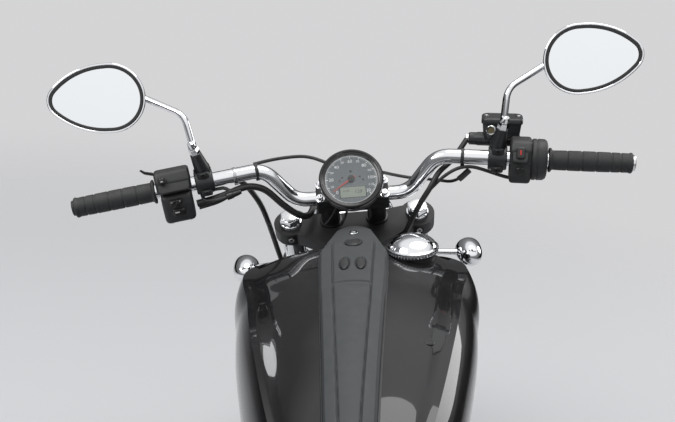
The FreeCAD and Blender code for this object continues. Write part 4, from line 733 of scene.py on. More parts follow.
def arc_through(a, b, c, t):
    """Points of the circle through three points of a plane, at parts t of the way from a to c."""
    a, b, c = (np.asarray(p, float) for p in (a, b, c))
    ax, ay, bx, by, cx, cy = a[..., 0], a[..., 1], b[..., 0], b[..., 1], c[..., 0], c[..., 1]
    d = 2 * (ax * (by - cy) + bx * (cy - ay) + cx * (ay - by))
    sa, sb, sc = ax ** 2 + ay ** 2, bx ** 2 + by ** 2, cx ** 2 + cy ** 2
    mx = (sa * (by - cy) + sb * (cy - ay) + sc * (ay - by)) / d
    my = (sa * (cx - bx) + sb * (ax - cx) + sc * (bx - ax)) / d
    r = np.hypot(ax - mx, ay - my)
    first, mid, last = (np.arctan2(p[..., 1] - my, p[..., 0] - mx) for p in (a, b, c))
    mid = first + (mid - first) % (2 * np.pi)
    last = first + (last - first) % (2 * np.pi)
    back = mid > last
    last = np.where(back, last - 2 * np.pi, last)
    angle = first[:, None] + (last - first)[:, None] * t
    return np.stack([mx[:, None] + r[:, None] * np.cos(angle), my[:, None] + r[:, None] * np.sin(angle)], -1)


def smooth_step(value, low, high):
    """0 below low, 1 above high, and a cubic between them."""
    t = np.clip((value - low) / (high - low), 0, 1)
    return t * t * (3 - 2 * t)


def tyre_form(radius, half, bead):
    """Tyre on a grid round the wheel and across the section. Across, a crown arc and two wall arcs;
    grooves lower the crown where a slanting saw-tooth pattern and two rings pass."""
    wall, crown = BEAD_R + 0.014, radius - half
    mid = np.array([(wall + crown) / 2, bead + (half - bead) * 0.7])
    t = np.linspace(0, 1, 10)
    side = arc_through([[wall, -bead]], [[mid[0], -mid[1]]], [[crown, -half]], t)[0]
    over = arc_through([[crown, -half]], [[radius, 0.0]], [[crown, half]], np.linspace(0, 1, 47))[0]
    inner_y = np.linspace(bead, -bead, 5)
    inside = np.stack([np.full(5, BEAD_R + 0.0005), inner_y], -1)
    line = np.vstack([side, over[1:-1], side[::-1] * [1, -1], inside])
    count, pitches = 684, 38
    t = around(count)
    share = line[:, 1] / half
    on_tread = (line[:, 0] > crown + 0.004).astype(float)
    saw = (t[:, None] / (2 * np.pi) * pitches + 0.55 * np.abs(share) * 1.25 + 0.5 * (share > 0)) % 1.0
    reach = smooth_step(np.abs(share), 0.22, 0.3) * (1 - smooth_step(np.abs(share), 0.86, 0.92))
    slant = (1 - smooth_step(np.abs(saw - 0.5), 0.055, 0.095)) * reach
    rings = 1 - smooth_step(np.abs(np.abs(share) - 0.16), 0.018, 0.034)
    depth = 0.0042 * on_tread * np.maximum(slant, rings)
    ridge = 0.0009 * (1 - smooth_step(np.abs(line[:, 0] - (wall + 0.018)), 0.0008, 0.0026))
    r = line[:, 0] - depth
    y = line[:, 1] + np.sign(line[:, 1]) * -ridge * (1 - on_tread)
    points = np.stack([r * np.cos(t)[:, None], np.broadcast_to(y, r.shape), r * np.sin(t)[:, None]], -1)
    return stacked(points, closed=True)


def wheel_ring(profile, sides=96):
    """Ring turned about the wheel's axle from a closed profile of radius and width."""
    return turned(profile, (0, 0, 0), (0, 1, 0), sides, closed=True)


tyre_rubber = finish("tyre rubber", (0.02, 0.02, 0.021), 0.72, patch_spread=0.14, patch_scale=9.0, grain_scale=1800.0,
    grain_height=0.0001, dust=0.22)
valve = turned(pairs(0, 0, 4.2, 0, 4.2, 12, 5, 13, 5, 22, 3, 24, 0, 24), (BEAD_R - 0.034, 0.01, 0.0), (-0.8, 0.35, 0),
    12)
for name, size, place in (("front", FRONT_TYRE, front_wheel), ("rear", REAR_TYRE, rear_wheel)):
    body = body_of(name + "_rim")
    made(name + "_tyre_tread", [tyre_form(**size)], tyre_rubber, "tyre", body, name + "_tyre", place=place,
        under=math.radians(38))
    dressed(name + "_rim", name + "_wheel_casting", satin_black, "satin_black", 0.002)
    edge = size["bead"] + 0.0003
    lips = [wheel_ring([(0.2152, s * (edge + 0.001)), (0.2154, s * (edge + 0.0044)), (0.2122, s * (edge + 0.0056)),
        (0.2085, s * (edge + 0.0052))]) for s in (-1, 1)]
    caps = [turned(pairs(0, 0, 24.5, 0, 24.5, 1.2, 19, 2, 18.8, 0.6, 0, 0.6), (0, s * (HUB_HALF - 0.0004), 0),
        (0, s, 0), 40) for s in (-1, 1)]
    made(name + "_rim_trim", [*lips, valve, *caps[:1]], machined, "bare_metal", body, place=place)

# Brakes
# Drilled steel discs on five-armed carriers, one on the front wheel's left and one on the rear's
# right. Each has a cast caliper that straddles it, with pads, two pins and a bleed nipple.
DISC_R = 0.149
DISC_IN = 0.109
DISC_T = 0.005
DRILL_R = 0.0034


def drilled_ring(rows=3, cells=58):
    """Disc band on a grid of cells: every other cell has a round hole, joined to its cell's eight
    outline points; the holes' and the band's edges close it."""
    t_line = np.linspace(0, 2 * np.pi, 2 * cells, endpoint=False)
    r_line = np.linspace(DISC_IN, DISC_R, 2 * rows + 1)
    grid = np.stack([r_line[:, None] * np.cos(t_line), r_line[:, None] * np.sin(t_line)], -1)
    flat = grid.reshape(-1, 2)
    wide = 2 * cells
    i, j = np.meshgrid(np.arange(rows), np.arange(cells), indexing="ij")
    i, j = i.ravel() * 2, j.ravel() * 2
    walk = [(0, 0), (0, 1), (0, 2), (1, 2), (2, 2), (2, 1), (2, 0), (1, 0)]
    loop = np.stack([(i + di) * wide + (j + dj) % wide for di, dj in walk], -1)
    drilled = (i // 2 + j // 2) % 2 == 0
    centre = (i + 1) * wide + (j + 1) % wide
    spokes = unit(flat[loop[drilled]] - flat[centre[drilled]][:, None])
    holes = (flat[centre[drilled]][:, None] + DRILL_R * spokes).reshape(-1, 2)
    hole = len(flat) + np.arange(len(holes)).reshape(-1, 8)
    outer = loop[drilled]
    ring_faces = np.stack([outer, np.roll(outer, -1, 1), np.roll(hole, -1, 1), hole], -1).reshape(-1, 4)
    sheet = np.vstack([flat, holes])
    count = len(sheet)
    plain = loop[~drilled]
    points = np.vstack([np.insert(sheet, 1, HUB_HALF, axis=1), np.insert(sheet, 1, HUB_HALF + DISC_T, axis=1)])
    hole_walls = np.stack([hole, np.roll(hole, -1, 1), np.roll(hole, -1, 1) + count, hole + count], -1).reshape(-1, 4)
    rims = []
    for row in (0, 2 * rows):
        line = row * wide + np.arange(wide)
        rims.append(np.stack([line, np.roll(line, -1), np.roll(line, -1) + count, line + count], -1))
    faces = (ring_faces.tolist() + (ring_faces + count).tolist() + plain.tolist() + (plain + count).tolist()
        + hole_walls.tolist() + np.vstack(rims).tolist())
    return points, faces


def carrier():
    """Five-armed carrier of a disc, with a round button at the end of each arm."""
    hub = pairs(14, 0, 42, 0, 42, 5, 38, 6.2, 14, 6.2, start=(0, HUB_HALF))
    shapes = coated(1, turned(hub, (0, 0, 0), (0, 1, 0), 56, closed=True))
    for k in range(5):
        a = 2 * math.pi * k / 5
        out, along = np.array([math.cos(a), math.sin(a)]), np.array([-math.sin(a), math.cos(a)])
        arm = [out * r + along * w for r, w in pairs(34, -16, 92, -9, 113, -9, 113, 9, 92, 9, 34, 16)]
        shapes.append((*slab(arm, HUB_HALF + 0.0004, HUB_HALF + 0.0046, 0.004), 1))
        spot = (out[0] * 0.112, HUB_HALF - 0.0006, out[1] * 0.112)
        shapes.append((*turned(pairs(0, 0, 7.5, 0, 7.5, 6.2, 6, 6.6, 0, 6.6), spot, (0, 1, 0), 20), 0))
        bolt = (out[0] * 0.03, HUB_HALF + 0.0058, out[1] * 0.03)
        shapes.append((*repeated(screw((0, 1, 0), 0.0055, 0.005), [bolt]), 2))
    return shapes


def disc_brush():
    """Ground steel of a disc: fine rings about the axle, as a wave of the distance from it."""
    material = finish("ground disc steel", (0.56, 0.56, 0.57), 0.3, 1.0, patch_spread=0.14, grain_height=0.0)
    tree = material.node_tree
    axle = shade(tree, "Attribute", attribute_name="from_axle")["Fac"]
    lines = shade(tree, "TexNoise", {"Scale": 1600.0, "Detail": 3.0, "W": axle}, noise_dimensions="1D")["Fac"]
    bump = shade(tree, "Bump", {"Distance": 0.00012, "Height": lines})[0]
    feed(tree, tree.nodes["Principled BSDF"], {"Normal": bump})
    return material


def mark_radius(obj, place, centre):
    """Distance of each point from a wheel's middle, kept as an attribute for its brushed rings."""
    points = np.empty(len(obj.data.vertices) * 3)
    obj.data.vertices.foreach_get("co", points)
    away = np.linalg.norm(points.reshape(-1, 3) - place(np.array(centre)[None])[0], axis=1)
    obj.data.attributes.new("from_axle", "FLOAT", "POINT").data.foreach_set("value", away)


def mirrored(place, side):
    """Placing of a piece drawn for the left, there or mirrored to the right."""
    return lambda points: place(np.asarray(points, float) * [1, side, 1])


disc_steel = disc_brush()
for name, side, place in (("front", 1, front_wheel), ("rear", -1, rear_wheel)):
    body = body_of(name + "_disc")
    handed = mirrored(place, side)
    disc = made(name + "_brake_disc", [*coated(0, drilled_ring()), *carrier()], [disc_steel, satin_black, zinc_screw],
        "steel", body, name + "_disc", place=handed)
    mark_radius(disc, handed, (0.0, HUB_HALF, 0.0))


def caliper_trim(angle):
    """Caliper's bridge bolts, pad pins, bleed nipple and the hose's union, drawn about the axle
    before it is turned to its angle above the forward direction."""
    shapes = [(*repeated(hexagon((0, 1, 0), 0.0062, 0.006), triples(140, 86.8, -24, 140, 86.8, 24)), 0),
        (*repeated(screw((0, 1, 0), 0.0048, 0.004), triples(118, 86.8, 0, 152, 86.8, 0)), 0),
        (*turned(pairs(0, 0, 3.5, 0, 3.5, 8, 4.5, 9, 2.5, 14, 0, 14), (0.1655, 0.074, 0.03), (1, 0, 0.2), 12), 0)]
    return [(p @ leaned(-angle), faces, number) for p, faces, number in shapes]


dressed("front_caliper", "front_caliper_casting", satin_black, "satin_black", 0.0014)
dressed("rear_caliper", "rear_caliper_casting", satin_black, "satin_black", 0.0014)
made("front_caliper_trim", caliper_trim(math.radians(167.0)), zinc_screw, "steel", body_of("front_caliper"),
    place=front_wheel)
made("rear_caliper_trim", caliper_trim(math.radians(62.0)), zinc_screw, "steel", chassis,
    place=mirrored(rear_wheel, -1))

# Belt drive
# A toothed rubber belt with cord in its back runs from the engine's sprocket to a cast pulley on the
# rear hub's left. A black guard covers its upper run.
PULLEY_R, SPROCKET_R = 0.105, 0.055
SPROCKET = np.array([0.612, 0.33])
BELT_IN, BELT_OUT = 0.088, 0.114


def even_steps(line, count, last=False):
    """Points at even distances along a line through points, with its last point or without."""
    way = np.concatenate([[0], np.cumsum(np.linalg.norm(np.diff(line, axis=0), axis=1))])
    at = np.linspace(0, way[-1], count, endpoint=last)
    return np.stack([np.interp(at, way, values) for values in line.T], -1)


def belt_line(extra, count):
    """Loop round both pulleys, a distance outside them, in even steps: two arcs and two tangents."""
    big, small = PULLEY_R + extra, SPROCKET_R + extra
    span = SPROCKET - np.array([0.0, REAR_TYRE_R])
    length = np.linalg.norm(span)
    lean, half = math.atan2(span[1], span[0]), math.acos((big - small) / length)
    t = np.linspace(0, 1, 200)
    far = lean + half + t * (2 * np.pi - 2 * half)
    near = lean - half + t * 2 * half
    rear = np.array([0.0, REAR_TYRE_R]) + big * np.stack([np.cos(far), np.sin(far)], -1)
    front = SPROCKET + small * np.stack([np.cos(near), np.sin(near)], -1)
    return even_steps(np.vstack([rear, front, rear[:1]]), count)


def belt_form(teeth=156, steps=6):
    """Belt as two loops a thickness apart; the inner one dips between teeth."""
    count = teeth * steps
    outer, inner = belt_line(0.0066, count), belt_line(0.0006, count)
    valley = (np.arange(count) % steps >= steps // 2)[:, None]
    inner = inner + (outer - inner) * 0.42 * valley
    rings = np.stack([np.insert(inner, 1, BELT_IN, axis=1), np.insert(outer, 1, BELT_IN, axis=1),
        np.insert(outer, 1, BELT_OUT, axis=1), np.insert(inner, 1, BELT_OUT, axis=1)], axis=1)
    return stacked(rings, closed=True)


belt_rubber = finish("belt rubber", (0.028, 0.028, 0.029), 0.62, patch_spread=0.1, grain_scale=2200.0,
    grain_height=0.00006, dust=0.14)
made("toothed_belt", [belt_form()], belt_rubber, "rubber", chassis, "drive_belt", under=math.radians(30))
dressed("rear_pulley", "belt_pulley", satin_black, "satin_black", 0.001)
pulley_windows = [turned(pairs(0, 0, 12.5, 0, 12, 1.2, 9.8, 1.4, 9.2, 0.6, 0, 0.6),
    (0.072 * math.cos(a), 0.0958, 0.072 * math.sin(a)), (0, 1, 0), 28)
    for a in np.linspace(0.2, 0.2 + 2 * np.pi, 7)[:-1]]
pulley_bolts = repeated(hexagon((0, 1, 0), 0.0062, 0.0062), [(0.036 * math.cos(a), 0.0958, 0.036 * math.sin(a))
    for a in np.linspace(0, 2 * np.pi, 6)[:-1]])
made("pulley_trim", [*pulley_windows, pulley_bolts], zinc_screw, "steel", body_of("rear_pulley"), place=rear_wheel)
black_moulding = finish("black moulding", (0.02, 0.02, 0.021), 0.44, patch_spread=0.08, grain_scale=1900.0,
    grain_height=0.00003, dust=0.1)
dressed("belt_guard", "belt_guard_moulding", black_moulding, "black_plastic", 0.0006, 1)

# Shock absorbers and rear axle
# Two laid-down units: a chromed spring wound from bar over a damper body, between cups, with rubber
# bushed eyes. The rear axle's nuts and washers close the ends of the swinging arm.
SHOCK_LOW = np.array([0.118, 0.178, 0.372])
SHOCK_HIGH = np.array([0.372, 0.178, 0.596])


def spring(low, high, radius, wire, turns, sides=10):
    """Helix about the line between two points: flat, ground turns at its ends and an even rise between."""
    axis = unit(high - low)
    a = unit(np.cross(axis, [0.0, 1.0, 0.0]))
    b = np.cross(axis, a)
    t = np.linspace(0, turns, int(turns * 28))
    rise = np.interp(t, [0, 0.8, turns - 0.8, turns], [0, 0.045, 0.955, 1.0])
    path = low + (high - low) * rise[:, None] + radius * (np.cos(2 * np.pi * t)[:, None] * a
        + np.sin(2 * np.pi * t)[:, None] * b)
    return tube(path, wire, sides)


shock_way = unit(SHOCK_HIGH - SHOCK_LOW)
shock_length = float(np.linalg.norm(SHOCK_HIGH - SHOCK_LOW))
shapes = []
for side in (1, -1):
    hand = np.array([1, side, 1])
    low, high = SHOCK_LOW * hand, SHOCK_HIGH * hand
    way = shock_way * hand
    body = turned([*pairs(0, 26, 14, 26, 17, 32, 18.5, 60, 18.5, 120, 16.5, 124, 16.5, 170, 7.5, 172),
        *pairs(7.5, -70, 17.5, -68, 18, -34, 14, -28, 0, -28, start=(0, shock_length))], low, way, 32)
    cups = [turned([(0.012, d), (0.0296, d), (0.03, d + 0.002), (0.03, d + t - 0.002), (0.029, d + t),
        (0.012, d + t)], low, way, 40, closed=True) for d, t in ((0.052, 0.011), (shock_length - 0.072, 0.026))]
    ring = turned(pairs(18, 64, 26.2, 64, 26.8, 66, 26.8, 72, 26.2, 74, 18, 74), low, way, 24, closed=True)
    coil = spring(low + way * 0.07, low + way * (shock_length - 0.075), 0.0225, 0.0042, 9.5)
    eyes = [turned(pairs(7.9, -20.5, 15.5, -20.5, 16, -18, 16, 11, 15.5, 13.5, 7.9, 13.5), end, (0, side, 0), 32,
        closed=True) for end in (low, high)]
    bushes = [turned(pairs(7.9, -21.2, 12, -21.2, 12, 14.2, 7.9, 14.2), end, (0, side, 0), 24, closed=True)
        for end in (low, high)]
    necks = [tube(np.array([low + way * 0.014, low + way * 0.034]), 0.01, 20),
        tube(np.array([high - way * 0.034, high - way * 0.014]), 0.012, 20)]
    nuts = repeated(hexagon((0, side, 0), 0.0095, 0.008), [end + [0, side * 0.0142, 0] for end in (low, high)])
    shapes += [*coated(1, body), *coated(0, *cups), *coated(1, ring), *coated(0, coil), *coated(1, *eyes),
        *coated(3, *bushes), *coated(1, *necks), *coated(2, nuts)]
made("shock_units", shapes, [chrome, satin_black, zinc_screw, belt_rubber], "chrome", chassis, "shocks")
axle_middle = np.array([0, 0, REAR_TYRE_R])
washers, tips = ([turned(profile, axle_middle, (0, s, 0), sides) for s in (-1, 1)]
    for profile, sides in ((pairs(0, 156.3, 18.5, 156.3, 18.5, 158.3, 0, 158.3), 32),
    (pairs(0, 168, 8.5, 168, 7.5, 169, 0, 169), 24)))
axle_nuts = [repeated(hexagon((0, s, 0), 0.015, 0.0105), [(0, s * 0.158, REAR_TYRE_R)]) for s in (-1, 1)]
spacers = [tube(axle_middle + [(0, low, 0), (0, high, 0)], radius, sides)
    for low, high, radius, sides in ((0.1175, 0.1276, 0.0168, 28), (-0.0675, -0.1276, 0.0168, 28),
    (-0.16, 0.16, 0.0099, 24))]
made("rear_axle_fixings", [*washers, *axle_nuts, *tips, *spacers], [zinc_screw], "chrome", chassis, "rear_axle")

# Fork
# Chromed stanchions slide in satin black lower legs. Two cast yokes pinch them with socket bolts, and
# bright six-sided caps close them; the steering stem ends in a chromed nut.
FORK_OFFSET = FRONT_TYRE["radius"] * math.sin(RAKE) - 0.12 * math.cos(RAKE)
LEG_Y = 0.116
AXLE_S = (FRONT_TYRE["radius"] - FORK_OFFSET * math.sin(RAKE)) / math.cos(RAKE)
SLIDER_TOP = 0.69
CAP_FROM = 0.992
fork_body = body_of("fork_tubes")

stanchions = [turned(pairs(0, 540, 20.5, 540, 20.5, 990, 20, 991.9, 0, 991.9), (FORK_OFFSET, s * LEG_Y, 0), (0, 0, 1),
    56) for s in (-1, 1)]
made("stanchions", stanchions, chrome, "chrome", fork_body, "fork_tubes", place=forked)


def lower_leg(side):
    """Lower leg: tube, ribbed foot, dust seal with its wire clip, and the lug that clamps the axle."""
    foot = AXLE_S - 0.034
    tube_line = [*pairs(0, 0, 22, 0, 25.5, 6, 26, 12, 26, 70, 25.2, 78, 25.2, 150, 24.4, 156, start=(0, foot)),
        *pairs(24.4, -46, 25.8, -40, 26, -24, 29.8, -21.5, 30, -16, 29, -14, 29, -10, 30, -8, 29.6, -3, 26.2, 0, 20.8,
        0, 20.8, -6, 0, -6, start=(0, SLIDER_TOP))]
    leg = turned(tube_line, (FORK_OFFSET, side * LEG_Y, 0), (0, 0, 1), 48)
    clip = turned(pairs(28.9, 0, 30, 0.7, 28.9, 1.4), (FORK_OFFSET, side * LEG_Y, SLIDER_TOP - 0.0127), (0, 0, 1), 40,
        closed=True)
    pinch = repeated(screw((-1, 0, 0), 0.005, 0.006), [(FORK_OFFSET - 0.0245, side * (LEG_Y + 0.004), AXLE_S + z)
        for z in (-0.018, 0.018)])
    pads = [slab(oblong(-27.5, -8, -12, 8, start=(FORK_OFFSET, AXLE_S + z)), side * (LEG_Y - 0.008),
        side * (LEG_Y + 0.014), 0.004) for z in (-0.018, 0.018)]
    return [*coated(0, leg), *coated(1, clip, pinch), *coated(0, *pads)]


made("lower_legs", lower_leg(1) + lower_leg(-1), [satin_black, zinc_screw], "satin_black", fork_body, "fork_sliders",
    place=forked, edge=0.0008, steps=1, under=math.radians(50))
dressed("lower_clamp", "lower_yoke", satin_black, "satin_black", 0.0022, 3)
dressed("upper_clamp", "upper_yoke", satin_black, "satin_black", 0.003, 3)


def yoke_bolts(level, reach):
    """Pinch bolts at the back of a yoke's ears, each in a drilled boss with a washer."""
    shapes = []
    for side in (-1, 1):
        spot = (FORK_OFFSET - reach, side * (LEG_Y + 0.001), level)
        boss = turned(pairs(0, -12, 8.5, -12, 8.5, 0.5, 7.8, 1.2, 6.2, 1.2, 6, -0.2, 0, -0.2), spot, (-1, 0, 0), 28)
        head = turned(pairs(0, -1, 5.4, -1, 5.4, 0.8, 4.8, 1.4, 2.8, 1.4, 2.6, -0.6, 0, -0.6), spot, (-1, 0, 0), 20)
        shapes += [*coated(0, boss), *coated(1, head)]
    return shapes


made("yoke_pinch_bolts", yoke_bolts(0.976, 0.0309) + yoke_bolts(0.793, 0.0309), [satin_black, zinc_screw], "steel",
    fork_body, place=forked)


def leg_cap(side):
    """Cap of a fork leg: a chamfered flange under a chamfered hexagon with a shallow round dish."""
    seat = (FORK_OFFSET, side * LEG_Y, CAP_FROM)
    flange = turned(pairs(0, 0, 19.8, 0, 20.5, 1, 20.5, 3.8, 19.6, 4.9, 0, 4.9), seat, (0, 0, 1), 56)
    corner = np.stack([np.cos(around(6)), np.sin(around(6))], -1)
    rings = []
    for radius, height in pairs(20, 4.5, 20, 15.8, 19, 17):
        rings.append(np.column_stack([FORK_OFFSET + radius * corner[:, 0], side * LEG_Y + radius * corner[:, 1],
            np.full(6, CAP_FROM + height)]))
    hexagonal = stacked(rings)
    crown = turned(pairs(0, 16, 15.8, 16, 15.7, 17.6, 14.8, 18.2, 0, 18.2), seat, (0, 0, 1), 48)
    return [*coated(0, flange, hexagonal), *coated(1, crown)]


stem_nut = turned(pairs(0, 0, 16.5, 0, 17, 1, 17, 8.5, 15.5, 10.8, 11, 11.8, 10.5, 10, 0, 10), (0, 0, 0.99),
    (0, 0, 1), 48)
made("fork_leg_caps", [*leg_cap(1), *leg_cap(-1), *coated(0, stem_nut)], [chrome, machined], "chrome", fork_body,
    "fork_caps", place=forked, edge=0.0005, steps=1)

axle_reach = LEG_Y + 0.026 + 0.006
axle_tubes = [tube([(FORK_OFFSET, low, AXLE_S), (FORK_OFFSET, high, AXLE_S)], radius, sides)
    for low, high, radius, sides in ((-axle_reach, axle_reach, 0.0099, 28), (0.0673, 0.0897, 0.0168, 32),
    (-0.0623, -0.0897, 0.0168, 32))]
axle_ends = [turned(pairs(0, 0, 15.8, 0, 16, 0.6, 16, 8, 14.8, 9.6, 8, 9.7, 7.4, 6, 0, 6),
    (FORK_OFFSET, s * (LEG_Y + 0.0263), AXLE_S), (0, s, 0), 6 if s > 0 else 40) for s in (-1, 1)]
made("front_axle_set", axle_tubes + axle_ends, chrome, "chrome", fork_body, "front_axle", place=forked)

# Fenders
# Pressed steel mudguards in gloss black, with a rolled bead along each edge. The front one hangs
# from the fork legs on two pads; the rear one is carried by the bright side rails.


def rolled_in(a, radius):
    """Shares of a mudguard's radius and width at angles along it, which curve in at its ends."""
    from_end = np.minimum(a - a[0], a[-1] - a) * radius
    return [1 - depth * (1 - smooth_step(from_end, 0.0, reach)) ** 2
        for depth, reach in ((0.014, 0.03), (0.1, 0.096))]


def fender_form(radius, depth, half, start, end):
    """Mudguard: an arc across, doubled back by the sheet's thickness with a round bead on each edge,
    swept about the axle. Its ends curve in a little, as they are rolled."""
    t = np.linspace(0, 1, 33)
    outer = arc_through([[radius - depth, -half]], [[radius, 0.0]], [[radius - depth, half]], t)[0]
    inner = arc_through([[radius - depth, -half + 0.003]], [[radius - 0.003, 0.0]], [[radius - depth, half - 0.003]],
        t)[0]
    inner[:, 0] += 0.0006
    line = np.vstack([outer, inner[::-1]])
    a = np.radians(np.linspace(start, end, 110))
    tuck, narrow = rolled_in(a, radius)
    r, y = line[:, 0] * tuck[:, None], line[:, 1] * narrow[:, None]
    return stacked(np.stack([r * np.cos(a)[:, None], y, r * np.sin(a)[:, None]], -1))


def fender_bead(radius, depth, half, start, end, side):
    """Rolled bead along an edge of a mudguard."""
    a = np.radians(np.linspace(start, end, 90))
    tuck, narrow = rolled_in(a, radius)
    r, y = (radius - depth + 0.0022) * tuck, side * (half - 0.0022) * narrow
    return tube(np.stack([r * np.cos(a), y, r * np.sin(a)], -1), 0.0021, 8)


gloss_black = finish("gloss black paint", (0.007, 0.007, 0.008), 0.3, coat=1.0, specular=0.1, patch_spread=0.03,
    grain_scale=260.0, grain_height=0.000012, dust=0.015)
front_arc = (0.345, 0.058, 0.082, 30.0, 158.0)
rear_arc = (0.362, 0.06, 0.1, 42.0, 166.0)
pad_s = AXLE_S + 0.345 - 0.042
fender_pads = [turned(pairs(0, 0, 15, 0, 15, 23, 14.2, 25.4, 0, 25.4), (FORK_OFFSET, side * 0.064, pad_s),
    (0, side, 0), 36) for side in (-1, 1)]
fender_bolts = [repeated(hexagon((0, side, 0), 0.0055, 0.005), [(FORK_OFFSET, side * 0.0895, pad_s)])
    for side in (-1, 1)]
made("front_mudguard", [fender_form(*front_arc), fender_bead(*front_arc, 1), fender_bead(*front_arc, -1)],
    gloss_black, "gloss_black", fork_body, "front_fender", place=front_wheel, under=math.radians(50))
made("front_mudguard_pads", [*coated(0, *fender_pads), *coated(1, *fender_bolts)], [satin_black, zinc_screw],
    "satin_black", fork_body, place=forked)
made("rear_mudguard", [fender_form(*rear_arc), fender_bead(*rear_arc, 1), fender_bead(*rear_arc, -1)], gloss_black,
    "gloss_black", chassis, "rear_fender", place=rear_wheel, under=math.radians(50))

# Headlamp and front turn signals
# A chromed bucket with a rolled rim holds a clear domed lens over a faceted reflector and its bulb
# shield. Two chromed bullets on stalks from the fork legs carry amber lenses.
HEADLAMP_C = np.array([1.412, 0.0, 0.815])
SIGNAL_C = np.array([1.29, 0.217, 0.785])


def sheen(tree, scale, low, high):
    """Roughness that a noise moves between two values."""
    noise = shade(tree, "TexNoise", {"Scale": scale, "Vector": shade(tree, "TexCoord")["Object"]})["Fac"]
    return shade(tree, "MapRange", {"To Min": low, "To Max": high, "Value": noise})[0]


def lens_material(name, colour, roughness, clear=0.75):
    """Clear coloured plastic: light passes it, and its gloss shows the room."""
    material, tree, shader = painted(name)
    feed(tree, shader, {"Base Color": (*colour, 1), "Transmission Weight": clear, "Metallic": 0.0, "IOR": 1.49,
        "Roughness": sheen(tree, 240.0, roughness, roughness + 0.05)})
    return material


clear_lens = lens_material("clear lens", (0.92, 0.94, 0.96), 0.02)
amber_lens = lens_material("amber lens", (0.86, 0.3, 0.02), 0.06)
red_lens = lens_material("red lens", (0.55, 0.01, 0.012), 0.05)
bright_reflector = finish("vacuum plated reflector", (0.9, 0.9, 0.91), 0.1, 1.0, patch_spread=0.04, grain_height=0.0,
    dust=0.0)
bucket = turned(pairs(0, -70, 26, -70, 32, -69.2, 46, -63.5, 58, -54, 68, -40, 76, -24, 80.5, -8, 84.5, -0.5, 84.5, 4,
    70, 4, 0, -40), HEADLAMP_C, (1, 0, 0), 72)
rim_ring = turned(pairs(83.5, 0.5, 86.8, 0.8, 88, 3.5, 88, 17, 86.2, 21.2, 83.2, 23.6, 80, 22.2, 78.5, 18, 79, 6,
    83.5, 4), HEADLAMP_C, (1, 0, 0), 80, closed=True)
dish = turned(pairs(16, -30, 30, -26.2, 45, -18, 60, -6, 72, 6, 78.4, 13, 78, 14, 60, -2, 45, -15, 30, -23.6, 16,
    -27.5), HEADLAMP_C, (1, 0, 0), 36, closed=True)
shield = turned(pairs(0, -30, 15.8, -30, 15.8, -4, 13, 3, 7, 5.2, 0, 5.6), HEADLAMP_C, (1, 0, 0), 36)
glass_line = pairs(79.2, 14.2, 79.2, 16.5, 70, 22.2, 56, 27, 38, 30.2, 19, 31.7, 0, 32, 0, 29.8, 19, 29.5, 38, 28, 56,
    24.8, 70, 19.8)
lens_glass = turned(glass_line, HEADLAMP_C, (1, 0, 0), 72)
lamp_clip = slab(oblong(1415, 726.2, 1428, 730), -0.006, 0.006, 0.001)
bracket_u = 0.046
bracket_end, _, bracket_s = FORK_AXES @ (HEADLAMP_C - [0.07, 0, 0] - AXIS_FOOT)
bracket = slab([(bracket_u, 0.8113), (bracket_u + 0.014, 0.8113), (bracket_u + 0.014, bracket_s - 0.018),
    (bracket_end + 0.012, bracket_s - 0.018), (bracket_end + 0.012, bracket_s), (bracket_u, bracket_s)], -0.02, 0.02,
    0.004)
made("headlamp_bracket", [bracket], satin_black, "satin_black", fork_body, place=forked, edge=0.0012)
made("headlamp_bucket", [*coated(0, bucket, rim_ring), *coated(1, dish), *coated(0, shield, lamp_clip)],
    [chrome, bright_reflector], "chrome", fork_body, "headlamp", place=steered)
made("headlamp_lens", [lens_glass], clear_lens, "lamp_glass", fork_body, place=steered)


def bullet(centre, way):
    """Bullet-shaped signal and its lens, turned about the line ahead and facing one way along it."""
    body = pairs(0, -34, 6, -33.5, 12, -31.2, 18, -25, 22.2, -14.5, 24.2, -4, 25, 6, 25, 15, 24, 17.8, 22.2, 18.4,
        21.5, 12, 0, 8)
    lens = pairs(0, 11, 21.2, 11, 21.8, 18, 20, 21.2, 16, 23.6, 10, 25.3, 5, 25.9, 0, 26)
    return [turned(np.array(line) * [1, way], centre, (1, 0, 0), sides) for line, sides in ((body, 56), (lens, 48))]


signal_shapes, signal_lenses = [], []
for side in (-1, 1):
    hand = np.array([1, side, 1])
    centre = SIGNAL_C * hand
    body, lens = bullet(centre, 1)
    signal_shapes += coated(0, body)
    signal_lenses.append(lens)
    leg = AXIS_FOOT + np.array([FORK_OFFSET, side * LEG_Y, 0.877]) @ FORK_AXES
    stalk_way = unit(centre - leg)
    stalk = leg + stalk_way * np.array([0.026, 0.034, 0.07, 0.08, 0.092])[:, None]
    clamp = turned(pairs(20.6, -12, 26.5, -12, 27.5, -10.8, 27.5, 10.8, 26.5, 12, 20.6, 12), leg, STEER_AXIS, 40,
        closed=True)
    clamp_screw = repeated(screw(-FORK_AXES[0], 0.0042, 0.003), [leg - FORK_AXES[0] * 0.027])
    signal_shapes += [*coated(0, tube(stalk, [0.007, 0.0062, 0.006, 0.0066, 0.007], 20)), *coated(1, clamp),
        *coated(2, clamp_screw)]
made("front_signal_bodies", signal_shapes, [chrome, satin_black, zinc_screw], "chrome", fork_body, "front_signals",
    place=steered)
made("front_signal_lenses", signal_lenses, amber_lens, "lamp_glass", fork_body, place=steered)

